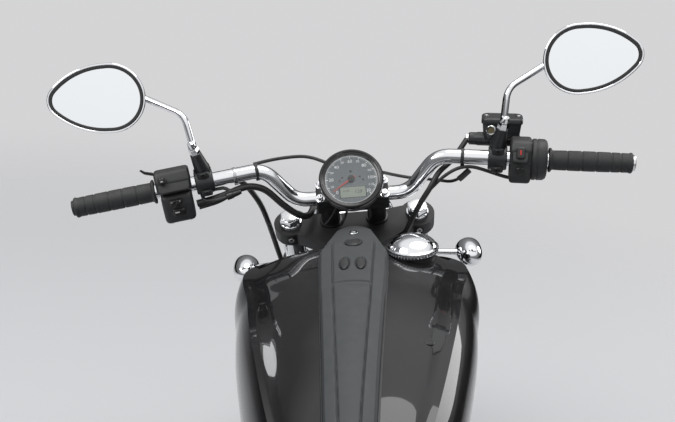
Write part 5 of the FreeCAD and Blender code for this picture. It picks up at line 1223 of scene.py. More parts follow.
# Fuel tank
# A pressed and welded steel tank, wide over the knees and drawn in at the seat, with a crease along
# each shoulder. It is painted gloss black under a clear coat.
TANK_SECTIONS = (
    # place, half width and its height, half width and height of the crease, height of the middle,
    # half width and height of the underside
    (0.56, 0.062, 0.762, 0.048, 0.792, 0.806, 0.044, 0.708),
    (0.68, 0.114, 0.786, 0.09, 0.83, 0.85, 0.084, 0.7),
    (0.82, 0.154, 0.8, 0.128, 0.85, 0.874, 0.112, 0.7),
    (0.96, 0.18, 0.812, 0.158, 0.862, 0.89, 0.134, 0.7),
    (1.07, 0.186, 0.818, 0.17, 0.87, 0.896, 0.14, 0.712),
    (1.118, 0.15, 0.816, 0.134, 0.864, 0.892, 0.112, 0.73),
)
TANK_FLOOR = pairs(500, 716, 1010, 716, 1140, 772)
CONSOLE_TOP = triples(590, 22, 838, 666, 28, 866, 765, 34, 886, 900, 43, 902, 1050, 52, 914, 1140, 27, 916)
CONSOLE_CROWN = 0.008


def eased(table, at):
    """Rows of a table of sections at new places: a cubic through them whose slope at each row is
    that of its neighbours, weighed by their distances."""
    rows = np.asarray(table, float)
    x, v = rows[:, 0], rows[:, 1:]
    h = np.diff(x)[:, None]
    slope = np.diff(v, axis=0) / h
    m = np.vstack([slope[:1], (slope[:-1] * h[1:] + slope[1:] * h[:-1]) / (h[:-1] + h[1:]), slope[-1:]])
    at = np.asarray(at, float)
    i = np.clip(np.searchsorted(x, at, side="right") - 1, 0, len(x) - 2)
    t = ((at - x[i]) / h[i, 0])[:, None]
    g = h[i]
    return ((2 * t ** 3 - 3 * t ** 2 + 1) * v[i] + (t ** 3 - 2 * t ** 2 + t) * g * m[i] + (3 * t ** 2 - 2 * t ** 3)
        * v[i + 1] + (t ** 3 - t ** 2) * g * m[i + 1])


def tank_rings(at, side_steps=14, top_steps=34):
    """Sections of the tank at places along it: an arc up each side and one over the top. The top
    presses down a little just inside each crease, and the crease itself is rounded."""
    wide, wide_z, crease, crease_z, top_z, low, low_z = eased(TANK_SECTIONS, at).T
    floor = np.interp(at, *np.array(TANK_FLOOR).T)
    t = np.linspace(0, 1, side_steps)
    side = arc_through(np.stack([-low, low_z], -1), np.stack([-wide, wide_z], -1), np.stack([-crease, crease_z], -1),
        t)
    over = arc_through(np.stack([-crease, crease_z], -1), np.stack([0 * top_z, top_z], -1),
        np.stack([crease, crease_z], -1), np.linspace(0, 1, top_steps))
    share = over[..., 0] / crease[:, None]
    dip = 0.0026 * np.exp(-((np.abs(share) - 0.9) / 0.045) ** 2) - 0.0012 * np.exp(-((np.abs(share) - 0.985)
        / 0.02) ** 2)
    over[..., 1] -= dip
    ring = np.concatenate([side[:, :-1], over, side[:, ::-1][:, 1:] * [-1, 1]], axis=1)
    ring[..., 1] = np.maximum(ring[..., 1], floor[:, None])
    return np.insert(ring, 0, np.broadcast_to(np.asarray(at)[:, None], ring.shape[:2]), axis=2)


def tank_form():
    """Tank from its sections; the nose and the tail are rounded by shrinking the end sections to
    their middles along a quarter ellipse."""
    x = np.concatenate([np.linspace(0.562, 0.58, 5), np.linspace(0.59, 1.09, 60), np.linspace(1.096, 1.1178, 8)])
    rings = tank_rings(x)
    near_nose = np.clip((x - 1.092) / 0.0262, 0, 1)
    near_tail = np.clip((0.586 - x) / 0.026, 0, 1)
    shrink = 1 - 0.1 * (1 - np.sqrt(1 - near_nose ** 2)) - 0.16 * (1 - np.sqrt(1 - near_tail ** 2))
    middle = rings.mean(axis=1, keepdims=True)
    middle[..., 0] = x[:, None]
    return stacked(middle + (rings - middle) * shrink[:, None, None])


made("painted_tank", [tank_form()], gloss_black, "gloss_black", chassis, "fuel_tank", under=math.radians(40))
seam_x = np.linspace(0.6, 1.1, 40)
seam_half = eased(TANK_SECTIONS, seam_x)[:, 5] * 0.985
seam_z = np.interp(seam_x, *np.array(TANK_FLOOR).T) + 0.0022
made("tank_seam_flange", [tube(np.stack([seam_x, s * seam_half, seam_z], -1), 0.0024, 8) for s in (-1, 1)],
    gloss_black, "gloss_black", chassis)

# Tank console
# A moulded cover of matte dark grey plastic runs over the middle of the tank. A screw holds its nose
# over a plain oval recess, and two oval buttons stand in a second recess behind it.


def oval_depth(x, y, centre, half, edge):
    """1 inside an oval and 0 outside it, eased over an edge given as a share of the oval."""
    r = np.sqrt(((x - centre[0]) / half[0]) ** 2 + ((y - centre[1]) / half[1]) ** 2)
    return 1 - smooth_step(r, 1 - edge, 1 + edge)


CONSOLE_BOLT = (1.101, 0.0)
CONSOLE_OVAL = (1.063, 0.0)
OVAL_HALF = np.array([0.0165, 0.0145])
BUTTON_PLACES = ((0.99, 0.0122), (0.99, -0.0122))
BUTTON_HALF = np.array([0.0185, 0.0066])
INNER_LINE = pairs(590, 10, 660, 12.2, 897, 25.6, 1052, 33.2, 1090, 33.2)


def console_height(x, y, half, top):
    """Height of the console's top: a crowned strip. Its middle is set back behind a step, a groove
    follows the middle's edge, and the plate, the buttons and the screw sit in dips."""
    z = top - CONSOLE_CROWN * (y / half) ** 2
    inner = np.abs(y) - np.interp(x, *np.array(INNER_LINE).T)
    z = z - 0.0044 * smooth_step(0.932 - x, 0, 0.009) * (1 - smooth_step(inner, -0.0016, 0.0006))
    z = z - 0.0026 * (1 - smooth_step(np.abs(inner), 0.0004, 0.0022)) * smooth_step(1.086 - x, 0, 0.03)
    z = z - 0.0022 * oval_depth(x, y, CONSOLE_OVAL, OVAL_HALF, 0.1)
    z = z - 0.003 * (1 - smooth_step(np.abs(x - 0.9345), 0.0008, 0.0026)) * (1 - smooth_step(inner, -0.0016, 0.0))
    for place in BUTTON_PLACES:
        z = z - 0.003 * oval_depth(x, y, place, BUTTON_HALF + 0.0018, 0.14)
    z = z - 0.0016 * oval_depth(x, y, CONSOLE_BOLT, (0.0095, 0.0085), 0.12)
    return z


def console_form():
    """Console: its top on a grid whose edge turns down in a small round, and the walls below it."""
    x = np.concatenate([np.linspace(0.5905, 0.904, 90), np.linspace(0.9055, 1.1395, 170)])
    half, top = eased(CONSOLE_TOP, x).T
    exact = np.interp(x, *np.array(CONSOLE_TOP)[:, :2].T)
    half = np.where(x > 1.05, exact, np.minimum(half, exact + 0.001))
    s = np.linspace(-1, 1, 101)
    y = half[:, None] * np.sin(s * np.pi / 2 * 0.93) / math.sin(np.pi / 2 * 0.93)
    z = console_height(x[:, None], y, half[:, None], top[:, None])
    edge = np.abs(y) / half[:, None]
    z = z - 0.0035 * smooth_step(edge, 0.93, 1.0) ** 2
    nose = smooth_step(x, 1.128, 1.1395)[:, None]
    z = z - 0.0045 * nose ** 2
    xs = np.broadcast_to(x[:, None], y.shape)
    top_grid = np.stack([xs, y, z], -1)
    wall = [np.stack([xs[:, -1:], y[:, -1:] + out, z[:, -1:] - drop], -1)
        for out, drop in ((0.0012, 0.0035), (0.003, 0.036))]
    other = [np.stack([xs[:, :1], y[:, :1] - out, z[:, :1] - drop], -1)
        for out, drop in ((0.003, 0.036), (0.0012, 0.0035))]
    return stacked(np.concatenate([*other, top_grid, *wall], axis=1))


console_plastic = finish("matte grey moulding", (0.048, 0.053, 0.057), 0.66, patch_spread=0.08, patch_scale=30.0,
    grain_scale=2600.0, grain_height=0.00005, dust=0.1)
button_rubber = finish("button rubber", (0.022, 0.023, 0.025), 0.45, patch_spread=0.08, grain_scale=2600.0,
    grain_height=0.00003, dust=0.08)
console_bolt = turned(pairs(0, 0, 7.2, 0, 7.2, 1.6, 6.4, 2.8, 3.6, 3, 3.2, 1.2, 0, 1.2), (CONSOLE_BOLT[0], 0, 0.914),
    (0, 0, 1), 32)
made("console_cover", [console_form()], console_plastic, "console_grey", chassis, "tank_console",
    under=math.radians(50))
made("console_screw", [console_bolt], machined, "bare_metal", chassis)


def console_oval(place, half, levels):
    """Low oval piece on the console: rings of the oval, each grown and raised over the crown there."""
    half_there, top_there = eased(CONSOLE_TOP, [place[0]])[0]
    base = top_there - CONSOLE_CROWN * (place[1] / half_there) ** 2
    slope = (eased(CONSOLE_TOP, [place[0] + 0.01])[0, 1] - top_there) / 0.01
    turn_ring = around(48)
    rings = []
    for share, height in levels:
        x, y = share * half[0] * np.cos(turn_ring), share * half[1] * np.sin(turn_ring)
        rings.append(np.stack([place[0] + x, place[1] + y, base + slope * x + height], -1))
    return stacked(rings)


button_levels = [(1.0, -0.0032), (1.0, -0.0004), (0.97, 0.0004), (0.9, 0.0009), (0.7, 0.0013), (0.35, 0.0015),
    (0.02, 0.0016)]
plate_levels = [(0.92, -0.0026), (0.92, -0.0004), (0.9, 0.0003), (0.8, 0.0005), (0.74, -0.0003), (0.68, -0.0003),
    (0.64, 0.0003), (0.3, 0.0006), (0.02, 0.0007)]
made("console_buttons", [console_oval(place, BUTTON_HALF, button_levels)
    for place in BUTTON_PLACES] + [console_oval(CONSOLE_OVAL, OVAL_HALF, plate_levels)], button_rubber, "rubber",
    chassis, under=math.radians(40))
gasket_x = np.linspace(0.6, 1.12, 70)
gasket_half = np.interp(gasket_x, *np.array(CONSOLE_TOP)[:, :2].T) + 0.0022
gasket_z = np.array([np.interp(h, ring[14:48, 1], ring[14:48, 2])
    for h, ring in zip(gasket_half, tank_rings(gasket_x))])
made("console_gaskets", [tube(np.stack([gasket_x, side * gasket_half, gasket_z + 0.0006], -1), 0.0022, 8)
    for side in (-1, 1)], button_rubber, "rubber", chassis)

# Filler cap
# A chromed screw cap on the tank's right shoulder: a low dome with a rolled rim over a black collar.
CAP_C = np.array([1.068, -0.094, 0.897])

cap_dome = turned(pairs(0, -1, 39.6, -1, 40.6, 0.4, 41, 2.2, 40.5, 4.4, 39.2, 5.6, 38.2, 6, 37.3, 7.2, 35, 10.8, 31.2,
    14.4, 25.8, 17.6, 19.2, 20.2, 11.8, 21.9, 5.5, 22.7, 0, 22.9), CAP_C, (0, 0, 1), 72)
cap_collar = turned(pairs(0, -26, 36.2, -26, 36.2, -8, 37.6, -6, 37.6, -1.2, 0, -1.2), CAP_C, (0, 0, 1), 60)
cap_turn = around(48)
cap_grips = repeated(turned(pairs(0, -2, 1.4, -2, 1.4, 4.4, 0, 5), (0, 0, 0), (0, 0, 1), 8),
    CAP_C + 0.0398 * np.stack([np.cos(cap_turn), np.sin(cap_turn), 0 * cap_turn], -1))
made("filler_cap", [*coated(0, cap_dome), *coated(1, cap_collar), *coated(0, cap_grips)], [chrome, button_rubber],
    "chrome", chassis, "fuel_cap")

# Saddle
# A solo saddle: foam on a steel pan under black leather, held by two screws and a tongue under the
# tank. It has a stitched top panel, a welt round its edge and a raised lip at the rear.
SEAT_SECTIONS = (
    # place, half width, height of the top, of the underside and of the widest line
    (0.165, 0.064, 0.716, 0.64, 0.69),
    (0.24, 0.136, 0.704, 0.59, 0.655),
    (0.35, 0.146, 0.684, 0.61, 0.655),
    (0.47, 0.104, 0.702, 0.635, 0.678),
    (0.552, 0.052, 0.758, 0.69, 0.732),
)
SEAT_FLOOR = pairs(100, 676, 165, 664, 236, 610.3, 470, 654.2, 552, 712, 620, 740)


def saddle_rings(at, shrink=0.0):
    """Sections of the saddle: an arc up each side and one over the top, above the pan's line."""
    half, top, low, side = eased(SEAT_SECTIONS, at).T
    floor = np.interp(at, *np.array(SEAT_FLOOR).T)
    flank = arc_through(np.stack([-half + 0.01, low], -1), np.stack([-half, side], -1),
        np.stack([-half + 0.016, top - 0.01], -1), np.linspace(0, 1, 14))
    over = arc_through(np.stack([-half + 0.016, top - 0.01], -1), np.stack([0 * top, top], -1),
        np.stack([half - 0.016, top - 0.01], -1), np.linspace(0, 1, 30))
    ring = np.concatenate([flank[:, :-1], over, flank[:, ::-1][:, 1:] * [-1, 1]], axis=1)
    ring[..., 1] = np.maximum(ring[..., 1], floor[:, None])
    middle = ring.mean(axis=1, keepdims=True)
    ring = middle + (ring - middle) * (1 - shrink / np.abs(ring - middle).max(axis=1, keepdims=True))
    return np.insert(ring, 0, np.broadcast_to(np.asarray(at)[:, None], ring.shape[:2]), axis=2)


def leather_material(name, colour):
    """Leather: a cell pattern is its grain, and a coarse noise its creases and worn sheen."""
    material = finish(name, colour, 0.48, patch_spread=0.2, patch_scale=18.0, grain_height=0.0, dust=0.05)
    tree = material.node_tree
    place = shade(tree, "TexCoord")["Object"]
    cells = shade(tree, "TexVoronoi", {"Scale": 620.0, "Vector": place}, feature="DISTANCE_TO_EDGE")["Distance"]
    folds = shade(tree, "TexNoise", {"Scale": 46.0, "Detail": 7.0, "Vector": place})["Fac"]
    clipped = shade(tree, "Math", {1: 0.12, 0: cells}, operation="MINIMUM")[0]
    fine = shade(tree, "Bump", {"Distance": 0.0009, "Strength": 0.55, "Height": clipped})[0]
    coarse = shade(tree, "Bump", {"Distance": 0.0012, "Strength": 0.3, "Height": folds, "Normal": fine})[0]
    feed(tree, tree.nodes["Principled BSDF"], {"Normal": coarse})
    return material


def sewn(obj, pressure, cap, voxel=0.005, frames=20):
    """Foam under its cover: a voxel remesh, then cloth under pressure without gravity, its
    movement capped, and one subdivision after it."""
    bpy.context.view_layer.objects.active = obj
    obj.select_set(True)
    remesh = obj.modifiers.new("even skin", "REMESH")
    remesh.mode = "VOXEL"
    remesh.voxel_size = voxel
    bpy.ops.object.modifier_apply(modifier=remesh.name)
    start = np.empty(len(obj.data.vertices) * 3)
    obj.data.vertices.foreach_get("co", start)
    cloth = obj.modifiers.new("pressed cover", "CLOTH")
    cloth.settings.use_pressure = True
    cloth.settings.uniform_pressure_force = pressure
    cloth.settings.effector_weights.gravity = 0.0
    cloth.settings.tension_stiffness = 60.0
    cloth.settings.compression_stiffness = 60.0
    for number in range(1, frames + 1):
        bpy.context.scene.frame_set(number)
    inflated = np.empty(len(start))
    settled = obj.evaluated_get(bpy.context.evaluated_depsgraph_get()).data
    settled.vertices.foreach_get("co", inflated)
    obj.modifiers.remove(cloth)
    bpy.context.scene.frame_set(1)
    move = (inflated - start).reshape(-1, 3)
    length = np.linalg.norm(move, axis=1, keepdims=True)
    start = (start.reshape(-1, 3) + move * np.minimum(1, cap / np.maximum(length, 1e-9))).ravel()
    obj.data.vertices.foreach_set("co", start)
    obj.data.update()
    return start.reshape(-1, 3)


leather = leather_material("black leather", (0.028, 0.026, 0.025))
seat_x = np.concatenate([np.linspace(0.168, 0.2, 8), np.linspace(0.206, 0.548, 56)])
saddle = made("saddle_cushion", [stacked(saddle_rings(seat_x, 0.005))], leather, "leather", chassis, "seat",
    under=math.radians(60))
sewn(saddle, 3.0, 0.005)
saddle_skin = saddle.modifiers.new("soft skin", "SUBSURF")
saddle_skin.levels = saddle_skin.render_levels = 1
saddle.data.shade_smooth()


def over_saddle(x, share):
    """Points on the saddle's top at places along it, a share of the way out to its edge."""
    half, top, low, side = eased(SEAT_SECTIONS, x).T
    y = share * (half - 0.016)
    return np.stack([x, y, top - 0.01 * (y / (half - 0.016)) ** 2], -1)


def panel_line(inset, first, last, count=120):
    """Closed line over the saddle's top: up one side, round the front and back down the other."""
    t = around(count)
    middle, reach = (first + last) / 2, (last - first) / 2
    x = middle + reach * np.sign(np.cos(t)) * np.abs(np.cos(t)) ** 0.6
    share = (1 - inset) * np.sign(np.sin(t)) * np.abs(np.sin(t)) ** 0.6
    return over_saddle(x, share)


def closed_tube(path, radius, sides=8, flat=1.0):
    """Tube whose path meets itself."""
    p = np.asarray(path, float)
    d = unit(np.roll(p, -1, axis=0) - np.roll(p, 1, axis=0))
    up = np.array([0.02, 0.01, 1.0])
    a = unit(np.cross(d, up))
    b = np.cross(d, a)
    t = around(sides)[:, None]
    return stacked(p[:, None] + radius * (np.cos(t) * a[:, None] + flat * np.sin(t) * b[:, None]), closed=True)


thread = finish("waxed thread", (0.06, 0.057, 0.052), 0.55, patch_spread=0.1, grain_scale=3000.0,
    grain_height=0.00004)

# Saddle trim
# A leather welt runs round the top panel, and a row of single stitches follows it inside.
made("saddle_piping", [closed_tube(panel_line(0.02, 0.186, 0.538), 0.0034)], leather, "leather", chassis)
stitch_line = panel_line(0.16, 0.212, 0.518, 300)
stitch_way = unit(np.roll(stitch_line, -1, axis=0) - np.roll(stitch_line, 1, axis=0))
stitches = []
for i in range(0, 300, 3):
    ends = stitch_line[i] + stitch_way[i] * np.linspace(-0.002, 0.002, 3)[:, None] + [0, 0, 0.0004]
    stitches.append(tube(ends, [0.0004, 0.0007, 0.0004], 5))
made("saddle_stitching", stitches, thread, "leather", chassis)

# Radiator
# An aluminium core in a black frame between the neck casting's cheeks: flat tubes with folded fins
# between them. Two rubber hoses with wire clips join it to the engine.
RADIATOR_FRONT = 1.131
dressed("radiator", "radiator_frame", satin_black, "satin_black", 0.0016)
zigzag_y = np.linspace(-0.103, 0.103, 173)
zigzag_x = RADIATOR_FRONT - 0.006 + 0.0016 * np.where(np.arange(173) % 2, 1, -1)
fold = np.vstack([np.stack([zigzag_x, zigzag_y], -1), np.stack([zigzag_x - 0.0006, zigzag_y], -1)[::-1]])
flat_tubes = [slab(oblong(-103.4, -1.1, 103.4, 1.1, start=(0, z)), RADIATOR_FRONT - 0.0076, RADIATOR_FRONT - 0.0022,
    across=0) for z in 0.34 + 0.016 * np.arange(14)]
made("radiator_core", [*coated(0, slab(fold, 0.3226, 0.5574, across=2)), *coated(1, *flat_tubes)],
    [black_screw, cast_grey], "bare_metal", chassis)
hose_runs = (triples(1089.5, 70, 556, 1050, 68, 535, 1020.6, 42, 512.1, 992.5, 40, 528.4),
    triples(1089.5, -75, 330, 1050, -75, 318, 1020, -70, 300, 985, -68, 296))
hose_shapes = []
for points in hose_runs:
    line = runs(points, 0.03, 8)
    hose_shapes.append((*tube(line, 0.013, 20), 0))
    for near, far in ((0, 3), (-1, -4)):
        way = unit(line[far] - line[near])
        hose_shapes.append((*turned(pairs(12.8, 4, 14, 4.5, 14, 9.5, 12.8, 10), line[near], way, 28, closed=True), 1))
made("coolant_hoses", hose_shapes, [button_rubber, zinc_screw], "rubber", chassis)

# Mudguard rails and rear lamps
# Polished rails carry the mudguard, with a dome nut at the foot. The tail lamp is a red lens over
# a chromed housing, and chromed bullets on stalks are the rear signals.
dressed("fender_struts", "mudguard_rails", chrome, "chrome", 0.0018, 3)
dome = pairs(0, 0, 8.8, 0, 8.8, 2, 7.2, 2.6, 7.2, 4.8, 5, 6.8, 0, 7.6)
made("rail_dome_nuts", [turned(dome, (x, s * 0.1066, z), (0, s, 0), 24) for s in (-1, 1)
    for x, z in pairs(205, 583, 86, 642, 10, 650)], chrome, "chrome", chassis)
dressed("tail_lamp", "tail_lamp_housing", chrome, "chrome", 0.003, 3)
made("tail_lamp_lens", [slab(pairs(-336, 541.8, -377, 525, -381.2, 482.6, -336, 473.2), -0.045, 0.045, 0.01)],
    red_lens, "red_lens", chassis, edge=0.003, steps=3)
REAR_SIGNAL = np.array([-0.196, 0.172, 0.578])
rear_shapes, rear_lenses = [], []
for side in (-1, 1):
    centre = REAR_SIGNAL * [1, side, 1]
    body, lens = bullet(centre, -1)
    rear_shapes.append(body)
    rear_lenses.append(lens)
    foot = np.array([-0.186, side * 0.109, 0.588])
    stalk_line = foot + (centre - foot) * np.array([0.0, 0.06, 0.14, 0.55, 0.72])[:, None]
    rear_shapes.append(tube(stalk_line, [0.0088, 0.0086, 0.0066, 0.0062, 0.0068], 20))
made("rear_signal_bodies", rear_shapes, chrome, "chrome", chassis, "rear_signals")
made("rear_signal_lenses", rear_lenses, amber_lens, "lamp_glass", chassis)

# Plate bracket
# A pressed steel bracket with a blank aluminium plate and a small lamp above it.
PLATE_BACK = math.radians(65.0)
plate_piece = dressed("plate_bracket", "plate_bracket", satin_black, "satin_black", 0.0008)
plate_piece.data.materials.append(machined)
plate_normals = np.empty(3 * len(plate_piece.data.polygons))
plate_piece.data.polygons.foreach_get("normal", plate_normals)
plate_out = -math.sin(PLATE_BACK) * lean_forward + math.cos(PLATE_BACK) * lean_up
bare_side = np.abs(plate_normals.reshape(-1, 3) @ plate_out) > 0.98
plate_piece.data.polygons.foreach_set("material_index", bare_side.astype(int))
lamp_box = slab(pairs(-385, 455, -369, 448, -373, 440, -389, 447), -0.02, 0.02, 0.003)
made("plate_lamp", [lamp_box], satin_black, "satin_black", chassis, edge=0.0015)

# Rail caps
# Rubber caps close the ends of the saddle rails.
rail_bend, rail_end = np.array([0.48, 0.112, 0.64]), np.array([0.09, 0.132, 0.56])
rail_cap = pairs(0, -4, 13.7, -4, 14.1, 0, 13.4, 3.2, 10.6, 5.8, 6, 7.3, 0, 7.8)
made("rail_caps", [turned(rail_cap, rail_end * mirror, (rail_end - rail_bend) * mirror, 32)
    for mirror in ((1, 1, 1), (1, -1, 1))], button_rubber, "rubber", chassis)

# Side panels, pegs and pedals
# Moulded panels close the frame below the saddle. Rubber-sleeved pegs fold on brackets at the
# cheeks, with the brake pedal ahead of the right one and the gear lever ahead of the left.
dressed("side_covers", "side_panels", satin_black, "satin_black", 0.004, 3)
panel_line_xz = pairs(572, 610, 452, 584, 469, 485, 572, 464)
panel_marks = [slab(panel_line_xz, *sorted((side * 0.1056, side * 0.1076)), 0.01) for side in (-1, 1)]
panel_bolts = [repeated(screw((0, side, 0), 0.0048, 0.003), [(0.566, side * 0.1058, 0.6),
    (0.556, side * 0.1058, 0.48)]) for side in (-1, 1)]
made("side_panel_trim", [*coated(0, *panel_marks), *coated(1, *panel_bolts)], [gloss_black, zinc_screw],
    "satin_black", chassis, edge=0.001)
dressed("foot_controls", "peg_brackets", satin_black, "satin_black", 0.0016)
sleeve = pairs(15, 186, 16.6, 187)
for start in np.arange(0.19, 0.292, 0.0075):
    sleeve += pairs(16.8, 0, 16.8, 4.8, 15.4, 5.5, 15.4, 6.8, start=(0, start))
sleeve += pairs(16.8, 295.5, 16.4, 302, 14, 304.8, 0, 305, 0, 187)
peg_hub = pairs(15, 166, 21, 167, 21, 180, 19, 184, 15, 184.5)
peg_shapes = []
for side in (-1, 1):
    for number, line in enumerate((sleeve, peg_hub)):
        peg_shapes += coated(number, turned(line, (1.1, 0, 0.29), (0, side, 0), 36, closed=True))
    for y in (-0.02, -0.01, 0.0, 0.01, 0.02):
        low, high = sorted((side * (0.221 + y) - 0.0034, side * (0.221 + y) + 0.0034))
        peg_shapes += coated(0, slab(pairs(1188.5, 345.5, 1221.5, 345.5, 1220.5, 349, 1189.5, 349), low, high))
    peg_shapes += coated(2, repeated(screw((0, side, 0), 0.0052, 0.004),
        [(1.086, side * 0.1662, z) for z in (0.27, 0.31)]))
made("peg_rubbers", peg_shapes, [button_rubber, satin_black, zinc_screw], "rubber", chassis)

# Side stand
# A forged leg turns on a bolt below the frame and ends in a welded foot.
dressed("side_stand", "stand_leg", satin_black, "satin_black", 0.0015)

# Plug leads
# Rubber leads run from the plugs up under the tank. A small rubber plug sits on the tank's right
# shoulder.
leads = []
for lean, start in ((V_HALF, 1), (-V_HALF, -1)):
    for side in (-1, 1):
        base = np.array([start * 0.03, side * 0.083, 0.262])
        ends = [base, base + [0, side * 0.02, 0.006], base + [0, side * 0.022, 0.05],
            base + [-start * 0.02, side * 0.004, 0.078], base + [-start * 0.06, -side * 0.03, 0.092]]
        path = CRANK + np.array(ends) @ leaned(lean)
        boot = turned(pairs(0, 0, 8.5, 0, 9, 4, 7, 10, 6.8, 18, 0, 18), path[0], path[1] - path[0], 24)
        leads += [tube(runs(path, 0.022, 8), 0.0036, 12), boot]
made("plug_leads", leads, button_rubber, "rubber", chassis)
made("tank_plug", [turned(pairs(0, -4, 7.2, -4, 7.4, 0.6, 6.4, 1.8, 0, 2.2), (0.832, -0.1, 0.8606),
    (0.05, -0.17, 0.98), 28)], button_rubber, "rubber", chassis)

# Handlebar and its clamp
# A chromed one-inch steel bar, bent up and back from the middle. A satin black block clamps it on
# two posts with four bright bolts.
BAR_R = 0.0127
BAR_END = np.array([1.134, 0.454, 0.986])
BAR_RISE = np.array([1.2, 0.15, 1.007])
BAR_CLAMP = np.array([1.215, 0.0, 0.942])
MIRRORED = np.array([1, -1, 1])

clamp_edge = BAR_CLAMP + [0, 0.1, 0]
bar_path = runs([BAR_END * MIRRORED, BAR_RISE * MIRRORED, clamp_edge * MIRRORED, clamp_edge, BAR_RISE, BAR_END],
    0.045, 22)
made("bent_bar", [tube(bar_path, BAR_R, 36)], chrome, "chrome", fork_body, "handlebar", place=steered)
dressed("risers", "bar_clamp", satin_black, "satin_black", 0.0016)
clamp_u, _, clamp_s = FORK_AXES @ (BAR_CLAMP - AXIS_FOOT)
clamp_spots = [(clamp_u + u, y, clamp_s) for y in (-0.0565, 0.0565) for u in (-0.0165, 0.0165)]
clamp_bolts = [repeated(screw((0, 0, 1), 0.0058, 0.007), [(u, y, s + 0.0162)]) for u, y, s in clamp_spots]
clamp_washers = [turned(pairs(0, 0, 8.2, 0, 8, 1.2, 0, 1.2), (u, y, s + 0.0156), (0, 0, 1), 28)
    for u, y, s in clamp_spots]
parting = [slab(np.array(oblong(16, -0.6, 24.3, 0.6)) * [s, 1] + [clamp_u, clamp_s], -0.064, 0.064) for s in (-1, 1)]
post_feet = [turned(pairs(16.8, 0, 20.5, 0, 20, 3, 16.8, 3.4), (clamp_u, y, 0.9903), (0, 0, 1), 36, closed=True)
    for y in (-0.042, 0.042)]
made("bar_clamp_bolts", [*coated(0, *clamp_bolts, *clamp_washers), *coated(1, *parting, *post_feet)],
    [chrome, black_screw], "chrome", fork_body, place=forked)


def bar_frame(distance):
    """Place on the bar's left end, a distance in from its tip, and the turn that carries Y onto
    the bar's outward direction by the shortest way."""
    out = unit(BAR_END - BAR_RISE)
    axis, c = np.cross([0.0, 1.0, 0.0], out), out[1]
    k = np.array([[0, -axis[2], axis[1]], [axis[2], 0, -axis[0]], [-axis[1], axis[0], 0]])
    return BAR_END - out * distance, np.eye(3) + k + k @ k / (1 + c)


def on_bar(distance, side):
    """Placing of a control: X ahead of the bar, Y out along it and Z up, on the left or mirrored."""
    start, spin = bar_frame(distance)
    return lambda points: steered((start + np.asarray(points, float) @ spin.T) * [1, side, 1])


# Grips
# Moulded rubber sleeves with shallow ring grooves and a flange at the inner end. Each closes on a
# ribbed cap, and the throttle's has a bright tip.
GRIP_L = 0.127


def grip_form():
    """Grip turned about the bar: a slight barrel, five groups of fine rings, the flange and the end."""
    y = np.linspace(0.007, GRIP_L - 0.001, 190)
    r = 0.0158 + 0.001 * np.sin(np.pi * (y / GRIP_L) ** 0.8) ** 0.7
    fine = 0.00022 * np.cos(2 * np.pi * y / 0.0021)
    grooves = np.zeros_like(y)
    for at in (0.03, 0.053, 0.076, 0.099, 0.114):
        grooves += 0.0011 * np.exp(-((y - at) / 0.0011) ** 2)
    r = np.minimum(r + fine - grooves, 0.017)
    profile = [*pairs(12.9, 0.2, 19.6, 0.2, 20.4, 1.2, 20.4, 3, 19.2, 4.4, 17, 5.6), *zip(r, y),
        *pairs(16.4, 0.4, 17, 1.4, 17, 3.4, 15.8, 4.8, 12.8, 5.2, 0, 5.2, 0, -10, 12.9, -10, start=(0, GRIP_L))]
    return turned(profile, (0, 0, 0), (0, 1, 0), 56, closed=True)


grip_rubber = finish("grip rubber", (0.03, 0.031, 0.032), 0.64, patch_spread=0.12, grain_scale=2400.0,
    grain_height=0.00007, dust=0.14)
for name, side in (("left", 1), ("right", -1)):
    cap = turned(pairs(0, 4, 12.8, 4, 12.8, 8.2, 12, 9.4, 9, 9.8, 8.4, 8.8, 0, 8.8), (0, GRIP_L, 0), (0, 1, 0), 40)
    made(name + "_grip", [*coated(0, grip_form()), *coated(0 if side > 0 else 1, cap)], [grip_rubber, machined],
        "rubber", fork_body, *(["grips"] if side > 0 else []), place=on_bar(GRIP_L, side))

# Switch housings
# Two moulded halves clamp each side of the bar. The left has a raised panel with a rocker, a three-way
# button and a horn slot, and a trigger ahead; the right has the throttle's drum and a rocker panel.


def inset_stack(outline, levels, across, broad=False):
    """Form through copies of an outline of two axes at places along the third, each shrunk to its
    middle by an inset, which is a share of its smaller half or, where broad, of its larger one."""
    outline = np.asarray(outline, float)
    middle = outline.mean(axis=0)
    halves = np.abs(outline - middle).max(axis=0)
    size = halves.max() if broad else halves.min()
    return stacked([np.insert(middle + (outline - middle) * (1 - inset / size), across, at, axis=1)
        for at, inset in levels])


def ring_run(outline, levels):
    """Outline of X and Z at several places along the bar, each with its inset."""
    return inset_stack(outline, levels, 1, broad=True)


def soft_ends(low, high, soft, steps=5):
    """Places from low to high with the inset that rounds both ends by a quarter circle."""
    a = np.linspace(0, np.pi / 2, steps)
    inset, along = soft * (1 - np.sin(a)), soft * (1 - np.cos(a))
    return [*zip(low + along, inset), *zip((high - along)[::-1], inset[::-1])]


switch_plastic = finish("switch moulding", (0.026, 0.027, 0.028), 0.5, patch_spread=0.1, grain_scale=2100.0,
    grain_height=0.00006, dust=0.12)
switch_cap = finish("switch button", (0.016, 0.016, 0.017), 0.34, patch_spread=0.08, grain_height=0.00002, dust=0.08)
white_mark = finish("white printed mark", (0.72, 0.72, 0.7), 0.5, patch_spread=0.05, grain_height=0.00001, dust=0.0)
red_button = finish("red switch button", (0.5, 0.03, 0.022), 0.4, patch_spread=0.06, grain_height=0.00002, dust=0.04)

